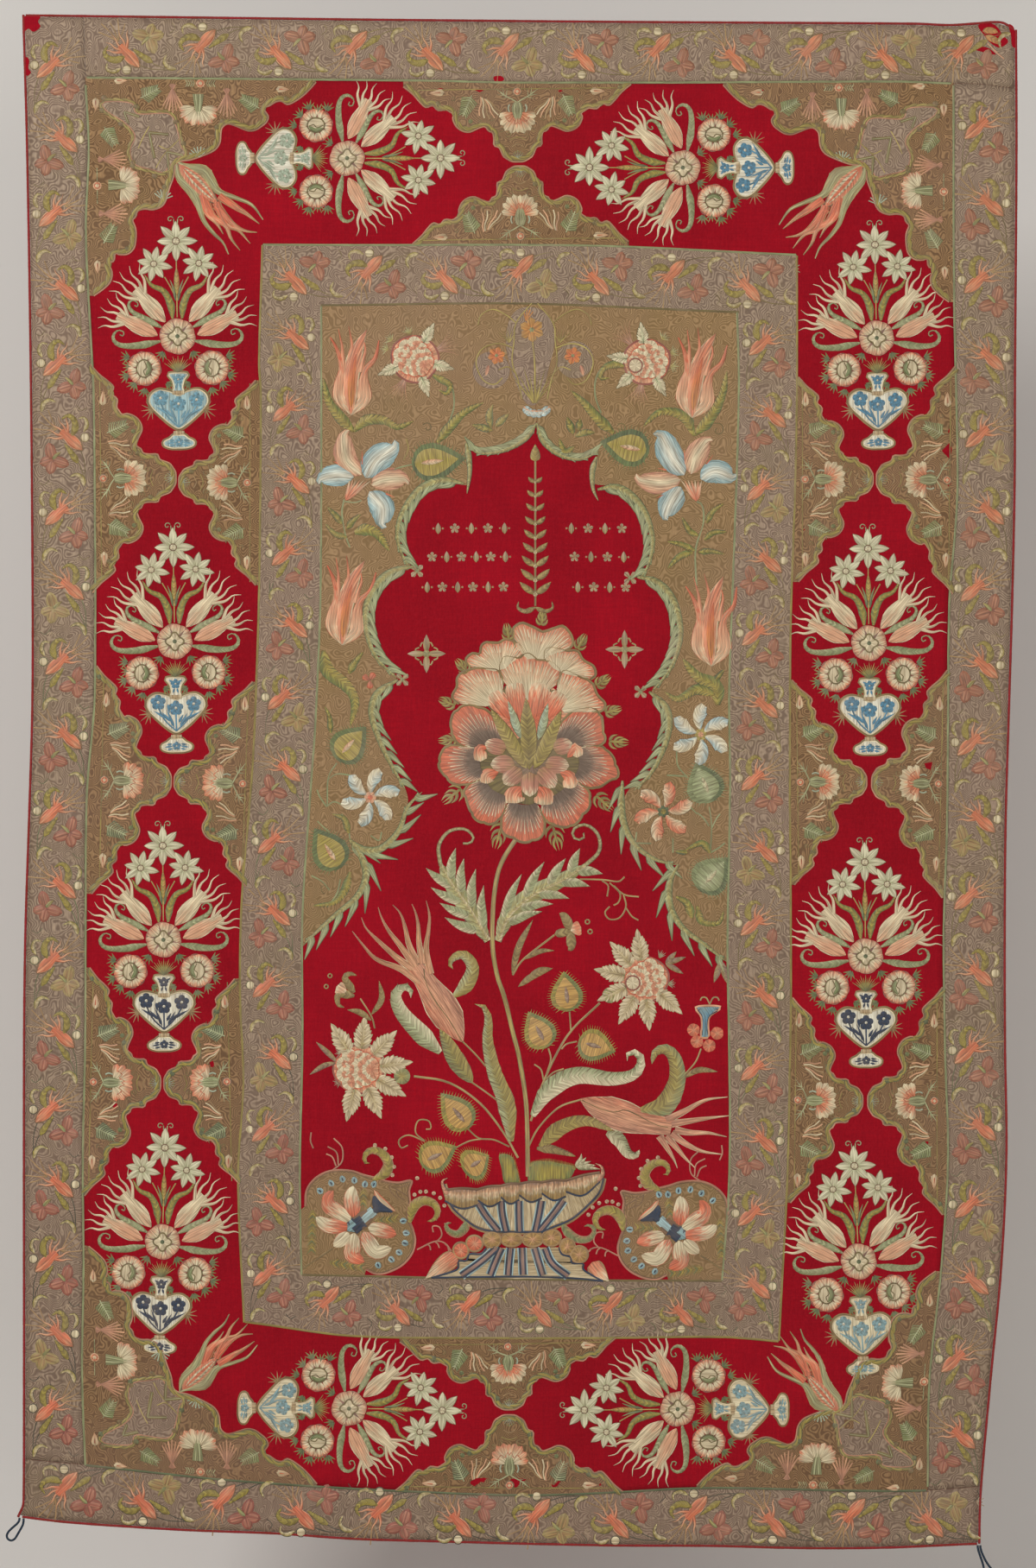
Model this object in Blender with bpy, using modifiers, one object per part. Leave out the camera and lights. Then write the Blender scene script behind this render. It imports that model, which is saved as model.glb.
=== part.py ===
"""Embroidered curtain, hung by its top edge.

A broad middle panel of red wool cloth and four border strips are joined edge to edge,
the rim is bound all round with a narrow cord-like binding, and a loop of cord is sewn
to each lower corner. The cloth hangs in the XZ plane and its worked side faces -Y.
The origin is the middle of the top edge.
"""
import bpy

MM = 0.001

CLOTH_THICK = 2.0
JOIN_GAP = 0.3
BINDING_WIDE = 4.0
BINDING_TRIM = 1.2
LOOP_CORD_THICK = 3.4
LOOP_STEP = 4.5
ROUTE_FINENESS = 16

PANEL_COLUMNS = 26
PANEL_ROWS = 43
STRIP_CELLS_ACROSS = 2
CORD_RESOLUTION = 2
SETTLING_ROUNDS = 6
SAME_SHARE = 0.002

# Every outline and seam is a smooth line through (along, across) points in millimetres:
# side lines run down the cloth and give x, cross lines run along it and give z.
LEFT_EDGE = ((20, -749), (-188, -743), (-527, -737), (-866, -734), (-1035, -734.5), (-1205, -739.5),
             (-1374, -745), (-1544, -747), (-2052, -747), (-2222, -747.5), (-2240, -749), (-2254, -755))
RIGHT_EDGE = ((0, 746), (-188, 747), (-527, 745), (-696, 744.5), (-866, 741), (-1035, 736), (-1205, 731),
              (-1374, 729.5), (-1544, 730), (-1713, 732), (-1883, 724), (-2052, 708), (-2222, 693),
              (-2296, 691))
TOP_EDGE = ((-750, 8.5), (-4, 0), (596, -4), (648, -6), (688, -3.5), (712, -1.5), (730, -3), (746, -15))
BOTTOM_EDGE = ((-757, -2253), (-688, -2260.5), (-578, -2268), (-386, -2279), (-237, -2290), (-4, -2294),
               (346, -2300), (518, -2300), (691, -2296))
SEAM_LEFT = ((9, -660), (-85, -657), (-190, -652), (-315, -656), (-465, -649), (-558, -644), (-805, -641.5),
             (-957, -641.5), (-1035, -643), (-1165, -654), (-1365, -656), (-1545, -656.5), (-1713, -660),
             (-1885, -659), (-2042, -661), (-2175, -656))
SEAM_RIGHT = ((-92, 654), (-265, 654), (-430, 655), (-560, 658), (-696, 660), (-760, 657), (-866, 648),
              (-1035, 645.5), (-1205, 644), (-1375, 639), (-1545, 641), (-1720, 645.5), (-1883, 635),
              (-2052, 617), (-2216, 614))
SEAM_TOP = ((-660, -83.5), (-163, -87.5), (-4, -91), (570, -89.5), (648, -92), (700, -93), (726, -97),
            (747, -99))
SEAM_BOTTOM = ((-748, -2168.5), (-656, -2176), (-317, -2211.5), (-4, -2223), (267, -2214), (614, -2215.5),
               (699, -2211.5))

# Main folds of the hung cloth: where each crest begins and ends, the half width of its
# swell and how far it stands towards the worked side (minus: away from it).
FOLD_FIELDS = ("from_x", "from_z", "to_x", "to_z", "half_width", "rise")
FOLDS = (
    (-690, 200, -700, -3000, 70, 6),
    (-540, 100, -590, -3000, 110, 9),
    (-270, 200, -310, -3000, 130, -8),
    (10, 100, -30, -3000, 120, 7),
    (290, 150, 330, -3000, 125, -9),
    (560, 100, 540, -3000, 105, 9),
    (710, 200, 680, -3000, 70, -7),
    (-450, -1500, -500, -2900, 85, 8),
    (-130, -1650, -150, -2900, 90, -7),
    (150, -1600, 170, -2900, 80, 6),
    (420, -1550, 400, -2900, 85, 8),
    (-390, -1900, -700, -2260, 60, 5),
    (370, -1930, 660, -2280, 60, 5),
    (-660, -690, -400, -690, 70, 4),
    (-660, -1146, -400, -1146, 70, -4),
    (-680, -1600, -400, -1600, 75, 5),
    (400, -690, 680, -690, 70, -4),
    (390, -1146, 670, -1146, 70, 4),
    (380, -1625, 670, -1625, 75, -5),
    (-120, -300, 420, -560, 90, 3),
    (300, -1250, -200, -1700, 110, -4),
)
FOLD_FADE = 0.3

# Routes of the two corner loops, (x, z) in millimetres from one sewn end to the other.
LEFT_LOOP = ((-756.4, -2257.8), (-756.9, -2261.8), (-759.6, -2266.0), (-763.8, -2269.8), (-769.0, -2274.4),
             (-773.4, -2279.2), (-775.6, -2284.6), (-773.6, -2289.8), (-768.6, -2291.8), (-763.8, -2289.4),
             (-760.4, -2284.6), (-757.2, -2279.0), (-753.8, -2273.0), (-751.2, -2267.6), (-750.3, -2262.6),
             (-750.2, -2258.6))
RIGHT_LOOP = ((690.9, -2300.8), (691.2, -2304.6), (692.8, -2311.0), (695.2, -2318.0), (697.6, -2325.0),
              (699.6, -2332.0), (700.6, -2339.0), (700.9, -2346.0), (702.6, -2352.6), (706.8, -2357.6),
              (713.0, -2359.0), (718.2, -2355.8), (719.8, -2349.8), (717.4, -2343.4), (712.6, -2337.4),
              (707.8, -2331.4), (703.6, -2325.0), (700.0, -2318.0), (697.0, -2311.0), (695.2, -2304.8),
              (694.9, -2300.8))

# Flat colours of the pieces: red, green, blue, roughness.
FINISHES = {
    "red_wool": (0.31, 0.010, 0.018, 0.9),
    "couched_ground": (0.32, 0.25, 0.18, 0.7),
    "binding": (0.27, 0.028, 0.015, 0.85),
    "loop_cord": (0.012, 0.032, 0.055, 0.8),
}


def clear_scene():
    """Start from an empty scene."""
    for old in list(bpy.data.objects):
        bpy.data.objects.remove(old, do_unlink=True)


def material(name):
    """Principled material of one finish."""
    red, green, blue, roughness = FINISHES[name]
    made = bpy.data.materials.new(name)
    made.use_nodes = True
    shader = made.node_tree.nodes["Principled BSDF"]
    shader.inputs["Base Color"].default_value = (red, green, blue, 1.0)
    shader.inputs["Roughness"].default_value = roughness
    made.diffuse_color = (red, green, blue, 1.0)
    return made


def smooth_step(t):
    """Ease from 0 to 1 as t goes from 0 to 1."""
    t = min(max(t, 0.0), 1.0)
    return t * t * (3.0 - 2.0 * t)


def line_at(line, along):
    """Value of a smooth line through (along, across) points, straight past its ends."""
    rising = sorted(line)
    places = [point[0] for point in rising]
    values = [point[1] for point in rising]
    last = len(rising) - 1
    slopes = []
    for i in range(last + 1):
        low, high = max(i - 1, 0), min(i + 1, last)
        slopes.append((values[high] - values[low]) / (places[high] - places[low]))
    if along <= places[0]:
        return values[0] + slopes[0] * (along - places[0])
    if along >= places[last]:
        return values[last] + slopes[last] * (along - places[last])
    i = max(k for k in range(last) if places[k] <= along)
    span = places[i + 1] - places[i]
    t = (along - places[i]) / span
    ease = smooth_step(t)
    leave = t * (1.0 - t) ** 2 * span * slopes[i]
    arrive = t * t * (t - 1.0) * span * slopes[i + 1]
    return values[i] * (1.0 - ease) + values[i + 1] * ease + leave + arrive


def rise_at(x, z):
    """How far the hung cloth stands towards its worked side at (x, z), in millimetres."""
    rise = 0.0
    for row in FOLDS:
        fold = dict(zip(FOLD_FIELDS, row))
        run_x = fold["to_x"] - fold["from_x"]
        run_z = fold["to_z"] - fold["from_z"]
        length = (run_x ** 2 + run_z ** 2) ** 0.5
        off_x, off_z = x - fold["from_x"], z - fold["from_z"]
        along = (off_x * run_x + off_z * run_z) / length ** 2
        aside = (off_x * run_z - off_z * run_x) / length
        fade = smooth_step(along / FOLD_FADE) * smooth_step((1.0 - along) / FOLD_FADE)
        rise += fold["rise"] * fade * 2.0 ** (-(aside / fold["half_width"]) ** 2)
    return rise


def on_cloth(x, z):
    """Point in metres of the cloth's middle surface."""
    return (x * MM, -rise_at(x, z) * MM, z * MM)


def even_shares(cells):
    """Shares from 0 to 1 in equal steps."""
    return [step / cells for step in range(cells + 1)]


def shares_of(places):
    """Shares from 0 to 1 that fall on the given places, doubled places taken once."""
    first, last = places[0], places[-1]
    shares = [0.0]
    for place in places[1:]:
        share = (place - first) / (last - first)
        if share - shares[-1] > SAME_SHARE:
            shares.append(share)
    return shares


class Panel:
    """A cut piece of cloth between two side lines and two cross lines.

    Neighbours share the places of their points along a seam, so that it closes evenly.
    """

    def __init__(self, left, right, top, bottom, across, down):
        self.sides = (left, right)
        self.crosses = (top, bottom)
        self.across = across
        self.down = down

    def place(self, across, down):
        """(x, z) of the point at these shares of the way across and down the piece."""
        x = z = 0.0
        for _ in range(SETTLING_ROUNDS):
            low, high = (line_at(line, z) + shift for line, shift in self.sides)
            x = low + (high - low) * across
            upper, lower = (line_at(line, x) + shift for line, shift in self.crosses)
            z = upper + (lower - upper) * down
        return x, z

    def side(self, across):
        """Points down one side, top first."""
        return [self.place(across, down) for down in self.down]

    def cross(self, down):
        """Points along one cross edge, left first."""
        return [self.place(across, down) for across in self.across]


def cloth_panel(name, panel, finish, home):
    """One panel: a grid laid on the hung surface and thickened."""
    columns, rows = len(panel.across) - 1, len(panel.down) - 1
    bpy.ops.mesh.primitive_grid_add(x_subdivisions=columns, y_subdivisions=rows, size=1.0)
    piece = bpy.context.object
    piece.name = name
    for vertex in piece.data.vertices:
        across = panel.across[round((vertex.co.x + 0.5) * columns)]
        down = panel.down[round((0.5 - vertex.co.y) * rows)]
        vertex.co = on_cloth(*panel.place(across, down))
    piece.data.shade_smooth()
    wall = piece.modifiers.new("cloth", "SOLIDIFY")
    wall.thickness = CLOTH_THICK * MM
    wall.offset = 0.0
    settle(piece, finish, home)
    return piece


def settle(piece, finish, home):
    """Give a piece its finish and move it to the curtain's collection."""
    piece.data.materials.clear()
    piece.data.materials.append(finish)
    for collection in list(piece.users_collection):
        collection.objects.unlink(piece)
    home.objects.link(piece)


def outward(points, distance):
    """The points moved sideways, to the left of their direction of travel."""
    moved = []
    last = len(points) - 1
    for i, (x, z) in enumerate(points):
        before, after = points[max(i - 1, 0)], points[min(i + 1, last)]
        run_x, run_z = after[0] - before[0], after[1] - before[1]
        length = (run_x ** 2 + run_z ** 2) ** 0.5
        moved.append((x - run_z / length * distance, z + run_x / length * distance))
    return moved


def cord(name, points, thick, finish, home):
    """A round cord through points in metres, with filled ends."""
    route = bpy.data.curves.new(name, "CURVE")
    route.dimensions = "3D"
    route.bevel_depth = thick / 2.0 * MM
    route.bevel_resolution = CORD_RESOLUTION
    route.use_fill_caps = True
    spline = route.splines.new("POLY")
    spline.points.add(len(points) - 1)
    for slot, point in zip(spline.points, points):
        slot.co = (*point, 1.0)
    piece = bpy.data.objects.new(name, route)
    bpy.context.scene.collection.objects.link(piece)
    settle(piece, finish, home)
    return piece


def binding(name, edge, finish, home):
    """The binding along one edge of the cloth, lying against it."""
    route = outward(edge, JOIN_GAP + BINDING_WIDE / 2.0)
    points = [(x * MM, -rise_at(*held) * MM, z * MM) for (x, z), held in zip(route, edge)]
    return cord(name, points, BINDING_WIDE, finish, home)


def smooth_route(route, step):
    """Points every step millimetres on a smooth curve through the route."""
    ends = [tuple(2 * a - b for a, b in zip(route[0], route[1]))]
    ends += list(route)
    ends += [tuple(2 * a - b for a, b in zip(route[-1], route[-2]))]
    dense = []
    for i in range(1, len(ends) - 2):
        p, q, r, s = ends[i - 1:i + 3]
        for k in range(ROUTE_FINENESS):
            t = k / ROUTE_FINENESS
            dense.append(tuple(0.5 * (2 * b + (c - a) * t + (2 * a - 5 * b + 4 * c - d) * t ** 2
                                      + (3 * b - a - 3 * c + d) * t ** 3)
                               for a, b, c, d in zip(p, q, r, s)))
    dense.append(route[-1])
    lengths = [0.0]
    for here, there in zip(dense, dense[1:]):
        lengths.append(lengths[-1] + ((there[0] - here[0]) ** 2 + (there[1] - here[1]) ** 2) ** 0.5)
    count = round(lengths[-1] / step)
    picked = []
    for k in range(count + 1):
        wanted = lengths[-1] * k / count
        picked.append(dense[min(range(len(dense)), key=lambda j: abs(lengths[j] - wanted))])
    return picked


def corner_loop(name, route, finish, home):
    """A loop of cord sewn to a lower corner, hanging in the plane of the cloth there."""
    hang = -rise_at(*route[0]) * MM
    points = [(x * MM, hang, z * MM) for x, z in smooth_route(route, LOOP_STEP)]
    return cord(name, points, LOOP_CORD_THICK, finish, home)


def lengthened(points, extra):
    """A line of points with both of its ends carried on by extra millimetres."""
    longer = list(points)
    for end, inner in ((0, 1), (-1, -2)):
        run = [a - b for a, b in zip(points[end], points[inner])]
        length = (run[0] ** 2 + run[1] ** 2) ** 0.5
        longer[end] = tuple(a + r / length * extra for a, r in zip(points[end], run))
    return longer


def build():
    """Model the whole curtain."""
    clear_scene()
    home = bpy.data.collections.new("embroidered_curtain")
    bpy.context.scene.collection.children.link(home)
    finishes = {name: material(name) for name in FINISHES}
    half = JOIN_GAP / 2.0
    strip = even_shares(STRIP_CELLS_ACROSS)

    middle = Panel((SEAM_LEFT, half), (SEAM_RIGHT, -half), (SEAM_TOP, -half), (SEAM_BOTTOM, half),
                   even_shares(PANEL_COLUMNS), even_shares(PANEL_ROWS))
    right = Panel((SEAM_RIGHT, half), (RIGHT_EDGE, 0.0), (SEAM_TOP, -half), (SEAM_BOTTOM, half),
                  strip, even_shares(PANEL_ROWS))
    right.down = shares_of([z for x, z in middle.side(1.0)])
    top = Panel((SEAM_LEFT, half), (RIGHT_EDGE, 0.0), (TOP_EDGE, 0.0), (SEAM_TOP, half), strip, strip)
    top.across = shares_of([x for x, z in middle.cross(0.0) + right.cross(0.0)])
    left = Panel((LEFT_EDGE, 0.0), (SEAM_LEFT, -half), (TOP_EDGE, 0.0), (SEAM_BOTTOM, half), strip, strip)
    left.down = shares_of([z for x, z in top.side(0.0) + middle.side(0.0)])
    bottom = Panel((LEFT_EDGE, 0.0), (RIGHT_EDGE, 0.0), (SEAM_BOTTOM, -half), (BOTTOM_EDGE, 0.0),
                   strip, strip)
    bottom.across = shares_of([x for x, z in left.cross(1.0) + middle.cross(1.0) + right.cross(1.0)])

    cloth_panel("middle_panel", middle, finishes["red_wool"], home)
    for name, panel in (("border_left", left), ("border_right", right),
                        ("border_top", top), ("border_bottom", bottom)):
        cloth_panel(name, panel, finishes["couched_ground"], home)

    bound = finishes["binding"]
    past_corner = BINDING_WIDE + JOIN_GAP
    left_side = left.side(0.0) + bottom.side(0.0)[1:]
    right_side = top.side(1.0) + right.side(1.0)[1:] + bottom.side(1.0)[1:]
    top_side = left.cross(0.0) + top.cross(0.0)[1:]
    binding("binding_left", lengthened(left_side, past_corner)[::-1], bound, home)
    binding("binding_right", lengthened(right_side, past_corner), bound, home)
    binding("binding_top", lengthened(top_side, -BINDING_TRIM), bound, home)
    binding("binding_bottom", lengthened(bottom.cross(1.0), -BINDING_TRIM)[::-1], bound, home)

    corner_loop("corner_loop_left", LEFT_LOOP, finishes["loop_cord"], home)
    corner_loop("corner_loop_right", RIGHT_LOOP, finishes["loop_cord"], home)


build()
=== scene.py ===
"""Embroidered liturgical curtain of red wool cloth, worked with silk flowers on couched grounds.

The cloth hangs in the XZ plane, its worked side facing -Y, with the origin at the middle of the
top edge. Layout points are steps of 1.304 mm, counted right and down from a corner outside the
upper left of the cloth; every other length is in millimetres until the mesh is made.
"""

import math

import bmesh
import bpy
import numpy as np
from bpy.props import FloatProperty, FloatVectorProperty, PointerProperty
from bpy.types import Operator, Panel, PropertyGroup
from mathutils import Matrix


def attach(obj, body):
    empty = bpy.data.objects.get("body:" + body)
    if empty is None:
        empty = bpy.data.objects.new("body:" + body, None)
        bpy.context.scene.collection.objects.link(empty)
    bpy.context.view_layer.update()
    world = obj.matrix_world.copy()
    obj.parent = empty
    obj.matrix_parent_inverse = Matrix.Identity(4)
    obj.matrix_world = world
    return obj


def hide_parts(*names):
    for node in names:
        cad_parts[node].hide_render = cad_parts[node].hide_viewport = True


bl_info = {
    "name": "Embroidered Curtain",
    "version": (1, 0, 0),
    "blender": (4, 5, 0),
    "location": "View3D > Sidebar > Curtain",
    "description": "Builds a hung wool curtain with silk and couched embroidery",
    "category": "Add Mesh",
}

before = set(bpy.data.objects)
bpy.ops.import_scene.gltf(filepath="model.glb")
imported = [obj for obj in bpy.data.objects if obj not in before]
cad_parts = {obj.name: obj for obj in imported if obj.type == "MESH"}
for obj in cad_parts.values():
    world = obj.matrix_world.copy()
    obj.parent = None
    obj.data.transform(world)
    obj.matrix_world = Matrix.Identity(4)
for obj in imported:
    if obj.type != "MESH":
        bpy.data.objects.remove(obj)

MM = 0.001
STEP = 1.304
LAYOUT_ORIGIN = (603.0, 26.0)

# Outlines and seams of the cloth, smooth lines through (along, across) points in millimetres.
LEFT_EDGE = ((20, -749), (-188, -743), (-527, -737), (-866, -734), (-1035, -734.5), (-1205, -739.5),
             (-1374, -745), (-1544, -747), (-2052, -747), (-2222, -747.5), (-2240, -749), (-2254, -755))
RIGHT_EDGE = ((0, 746), (-188, 747), (-527, 745), (-696, 744.5), (-866, 741), (-1035, 736), (-1205, 731),
              (-1374, 729.5), (-1544, 730), (-1713, 732), (-1883, 724), (-2052, 708), (-2222, 693),
              (-2296, 691))
TOP_EDGE = ((-750, 8.5), (-4, 0), (596, -4), (648, -6), (688, -3.5), (712, -1.5), (730, -3), (746, -15))
BOTTOM_EDGE = ((-757, -2253), (-688, -2260.5), (-578, -2268), (-386, -2279), (-237, -2290), (-4, -2294),
               (346, -2300), (518, -2300), (691, -2296))
SEAM_LEFT = ((9, -660), (-85, -657), (-190, -652), (-315, -656), (-465, -649), (-558, -644), (-805, -641.5),
             (-957, -641.5), (-1035, -643), (-1165, -654), (-1365, -656), (-1545, -656.5), (-1713, -660),
             (-1885, -659), (-2042, -661), (-2175, -656))
SEAM_RIGHT = ((-92, 654), (-265, 654), (-430, 655), (-560, 658), (-696, 660), (-760, 657), (-866, 648),
              (-1035, 645.5), (-1205, 644), (-1375, 639), (-1545, 641), (-1720, 645.5), (-1883, 635),
              (-2052, 617), (-2216, 614))
SEAM_TOP = ((-660, -83.5), (-163, -87.5), (-4, -91), (570, -89.5), (648, -92), (700, -93), (726, -97),
            (747, -99))
SEAM_BOTTOM = ((-748, -2168.5), (-656, -2176), (-317, -2211.5), (-4, -2223), (267, -2214), (614, -2215.5),
               (699, -2211.5))
JOIN_GAP = 0.3

# Folds of the hung cloth: crest line, half width of the swell, and how far it stands forward.
FOLD_FIELDS = ("from_x", "from_z", "to_x", "to_z", "half_width", "rise")
FOLDS = (
    (-690, 200, -700, -3000, 70, 6),
    (-540, 100, -590, -3000, 110, 9),
    (-270, 200, -310, -3000, 130, -8),
    (10, 100, -30, -3000, 120, 7),
    (290, 150, 330, -3000, 125, -9),
    (560, 100, 540, -3000, 105, 9),
    (710, 200, 680, -3000, 70, -7),
    (-450, -1500, -500, -2900, 85, 8),
    (-130, -1650, -150, -2900, 90, -7),
    (150, -1600, 170, -2900, 80, 6),
    (420, -1550, 400, -2900, 85, 8),
    (-390, -1900, -700, -2260, 60, 5),
    (370, -1930, 660, -2280, 60, 5),
    (-660, -690, -400, -690, 70, 4),
    (-660, -1146, -400, -1146, 70, -4),
    (-680, -1600, -400, -1600, 75, 5),
    (400, -690, 680, -690, 70, -4),
    (390, -1146, 670, -1146, 70, 4),
    (380, -1625, 670, -1625, 75, -5),
    (-120, -300, 420, -560, 90, 3),
    (300, -1250, -200, -1700, 110, -4),
)
FOLD_FADE = 0.3
# Drawn-in ridges that the stitching pulls up, in the same columns as the folds.
PUCKERS = (
    (-655, -330, -640, -700, 14, 0.9),
    (-640, -980, -655, -1500, 16, -0.9),
    (640, -420, 655, -900, 15, 0.9),
    (640, -1400, 640, -1900, 16, -0.8),
    (-395, -420, -400, -1150, 14, 0.8),
    (415, -420, 400, -1150, 14, -0.8),
    (-395, -1250, -415, -1950, 16, -0.9),
    (-350, -2000, 390, -2020, 18, 1.0),
    (-330, -345, 400, -350, 16, -0.8),
    (-650, -95, 640, -100, 12, 0.8),
    (-640, -2190, 600, -2215, 14, 0.9),
    (-300, -1330, 280, -1420, 40, 1.6),
    (-330, -1850, 330, -1760, 36, -1.4),
)
RIPPLE_LENGTH = (61.0, 47.0)
RIPPLE_RISE = 0.22

LEFT_LOOP = ((-756.4, -2257.8), (-756.9, -2261.8), (-759.6, -2266.0), (-763.8, -2269.8), (-769.0, -2274.4),
             (-773.4, -2279.2), (-775.6, -2284.6), (-773.6, -2289.8), (-768.6, -2291.8), (-763.8, -2289.4),
             (-760.4, -2284.6), (-757.2, -2279.0), (-753.8, -2273.0), (-751.2, -2267.6), (-750.3, -2262.6),
             (-750.2, -2258.6))
RIGHT_LOOP = ((690.9, -2300.8), (691.2, -2304.6), (692.8, -2311.0), (695.2, -2318.0), (697.6, -2325.0),
              (699.6, -2332.0), (700.6, -2339.0), (700.9, -2346.0), (702.6, -2352.6), (706.8, -2357.6),
              (713.0, -2359.0), (718.2, -2355.8), (719.8, -2349.8), (717.4, -2343.4), (712.6, -2337.4),
              (707.8, -2331.4), (703.6, -2325.0), (700.0, -2318.0), (697.0, -2311.0), (695.2, -2304.8),
              (694.9, -2300.8))

# Threads and cloths by name: sRGB hex and where the colour is used.
COLOURS = {
    "wool_red": ("9E0A1C", "Fulled wool cloth"),
    "wool_deep": ("840815", "Shaded nap of the wool"),
    "coral": ("D9714F", "Coral silk of the outer petals"),
    "deep_coral": ("B4502F", "Darker coral of veins and cups"),
    "peach": ("E3A882", "Peach silk of the inner petals"),
    "ivory": ("DDCBA6", "Ivory silk of petal rims"),
    "cream": ("E4D6B2", "Cream silk of stars and bells"),
    "sage": ("8F9669", "Sage silk of leaves"),
    "moss": ("6E7C48", "Moss green silk of leaf edges"),
    "yellow_olive": ("A6953F", "Yellow-olive silk of leaf middles"),
    "dark_sage": ("5E6A48", "Dark sage of outlines"),
    "olive": ("94843F", "Olive silk of stems and leaves"),
    "straw": ("B39F58", "Straw silk of spiky leaves"),
    "brown": ("7C5C42", "Brown silk of outlines"),
    "dusk": ("96766A", "Brown-pink silk of shaded petals"),
    "dusk_rose": ("BC8068", "Faded rose silk"),
    "tan_rose": ("A88558", "Faded ochre silk"),
    "khaki": ("A8935F", "Khaki silk of edgings"),
    "star": ("D8D2B0", "Pale sage silk of the star flowers"),
    "pale_sage": ("B0B488", "Pale sage silk"),
    "pale_blue_sage": ("A9B8A0", "Pale blue-green silk"),
    "olive_brown": ("75663A", "Olive brown silk of stems"),
    "ink_green": ("34392F", "Nearly black green silk"),
    "water_blue": ("86A7AC", "Faded blue silk"),
    "blue": ("4F86A2", "Blue silk"),
    "pale_blue": ("A3C0C2", "Pale blue silk"),
    "navy": ("22354F", "Navy silk"),
    "mauve_light": ("B29A80", "Raised thread of the grey ground"),
    "mauve_dark": ("6C584A", "Grey ground between its threads"),
    "tan_light": ("A4835A", "Raised thread of the tan ground"),
    "tan_dark": ("7F6440", "Tan ground between its threads"),
    "white": ("E4DEC9", "Worn white silk"),
    "orange": ("D08A44", "Orange silk of the small crest flower"),
    "ochre": ("B08A4E", "Ochre silk of beads and rims"),
    "smoke": ("8F7A68", "Smoky brown silk inside the large petals"),
    "pale_green": ("B5BB90", "Pale green silk of leaf highlights"),
    "brown_khaki": ("8E7648", "Dull gold-brown silk"),
    "coral_rose": ("CB7A5C", "Rose coral silk"),
    "ochre_rose": ("BE8C62", "Ochre rose silk"),
    "sky": ("86A8AC", "Sky blue silk of the lilies' rims"),
    "soft_blue": ("6B9DB0", "Faded blue silk of the first vase"),
    "trefoil_rose": ("B0705C", "Faded rose silk of the trefoils"),
    "trefoil_edge": ("9A5446", "Darker rose round the trefoils"),
    "ochre_gold": ("CBA057", "Gold-ochre silk of the fringed leaves"),
    "sand": ("BBA47A", "Sand-coloured silk of the bowl"),
    "brown_light": ("9E7A50", "Raised thread of the brown ground"),
    "brown_dark": ("6A4E33", "Brown ground between its threads"),
    "binding_red": ("8E2418", "Wool binding"),
    "loop_blue": ("1E3348", "Cord of the corner loops"),
    "stage_pale": ("D9D6D0", "Floor and backdrop"),
}


def linear(code):
    """Linear red, green and blue of an sRGB hex code."""
    parts = [int(code[i:i + 2], 16) / 255.0 for i in (0, 2, 4)]
    return tuple(p / 12.92 if p <= 0.04045 else ((p + 0.055) / 1.055) ** 2.4 for p in parts)


class ClothSizes(PropertyGroup):
    """Sizes of the cloth and of its relief."""

    thickness: FloatProperty(name="Cloth thickness", description="Thickness of the wool cloth",
                             default=0.002, min=0.001, max=0.003, unit="LENGTH")
    ground_relief: FloatProperty(name="Ground relief", description="How far the couched grounds stand up",
                                 default=0.0005, min=0.0, max=0.001, unit="LENGTH")
    silk_relief: FloatProperty(name="Silk relief", description="How far the padded silk stands up",
                               default=0.0011, min=0.0, max=0.003, unit="LENGTH")
    binding_width: FloatProperty(name="Binding width", description="Width of the bound rim",
                                 default=0.004, min=0.002, max=0.008, unit="LENGTH")
    loop_cord: FloatProperty(name="Loop cord", description="Thickness of the corner loops' cord",
                             default=0.0034, min=0.002, max=0.005, unit="LENGTH")


class ThreadColours(PropertyGroup):
    """Colours of the cloth and the threads."""

    __annotations__ = {name: FloatVectorProperty(name=name.replace("_", " ").capitalize(), description=use,
                                                 default=linear(code), min=0.0, max=1.0, subtype="COLOR")
                       for name, (code, use) in COLOURS.items()}


def cloth_sizes():
    """The cloth's sizes in millimetres, by name."""
    sizes = bpy.context.scene.curtain_sizes
    return {name: getattr(sizes, name) / MM for name in ClothSizes.__annotations__}


def colour(name):
    """Linear colour of a thread, as its user set it."""
    return tuple(getattr(bpy.context.scene.curtain_colours, name))


def smooth_step(t):
    t = np.clip(t, 0.0, 1.0)
    return t * t * (3.0 - 2.0 * t)


class SmoothLine:
    """Smooth line through (along, across) points, straight past its ends."""

    def __init__(self, points):
        rising = np.array(sorted(points), float)
        self.places, self.values = rising[:, 0], rising[:, 1]
        low, high = np.r_[0, 0:len(rising) - 1], np.r_[1:len(rising), len(rising) - 1]
        self.slopes = (self.values[high] - self.values[low]) / (self.places[high] - self.places[low])

    def __call__(self, along):
        along = np.asarray(along, float)
        held = np.clip(along, self.places[0], self.places[-1])
        i = np.clip(np.searchsorted(self.places, held, "right") - 1, 0, len(self.places) - 2)
        span = self.places[i + 1] - self.places[i]
        t = (held - self.places[i]) / span
        ease = smooth_step(t)
        bend = t * (1.0 - t) ** 2 * span * self.slopes[i] + t * t * (t - 1.0) * span * self.slopes[i + 1]
        past = np.where(along < held, self.slopes[0], self.slopes[-1]) * (along - held)
        return self.values[i] * (1.0 - ease) + self.values[i + 1] * ease + bend + past


EDGES = {name: SmoothLine(points) for name, points in (("left_edge", LEFT_EDGE), ("right_edge", RIGHT_EDGE),
                                                       ("top_edge", TOP_EDGE), ("bottom_edge", BOTTOM_EDGE),
                                                       ("seam_left", SEAM_LEFT), ("seam_right", SEAM_RIGHT),
                                                       ("seam_top", SEAM_TOP), ("seam_bottom", SEAM_BOTTOM))}


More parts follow.
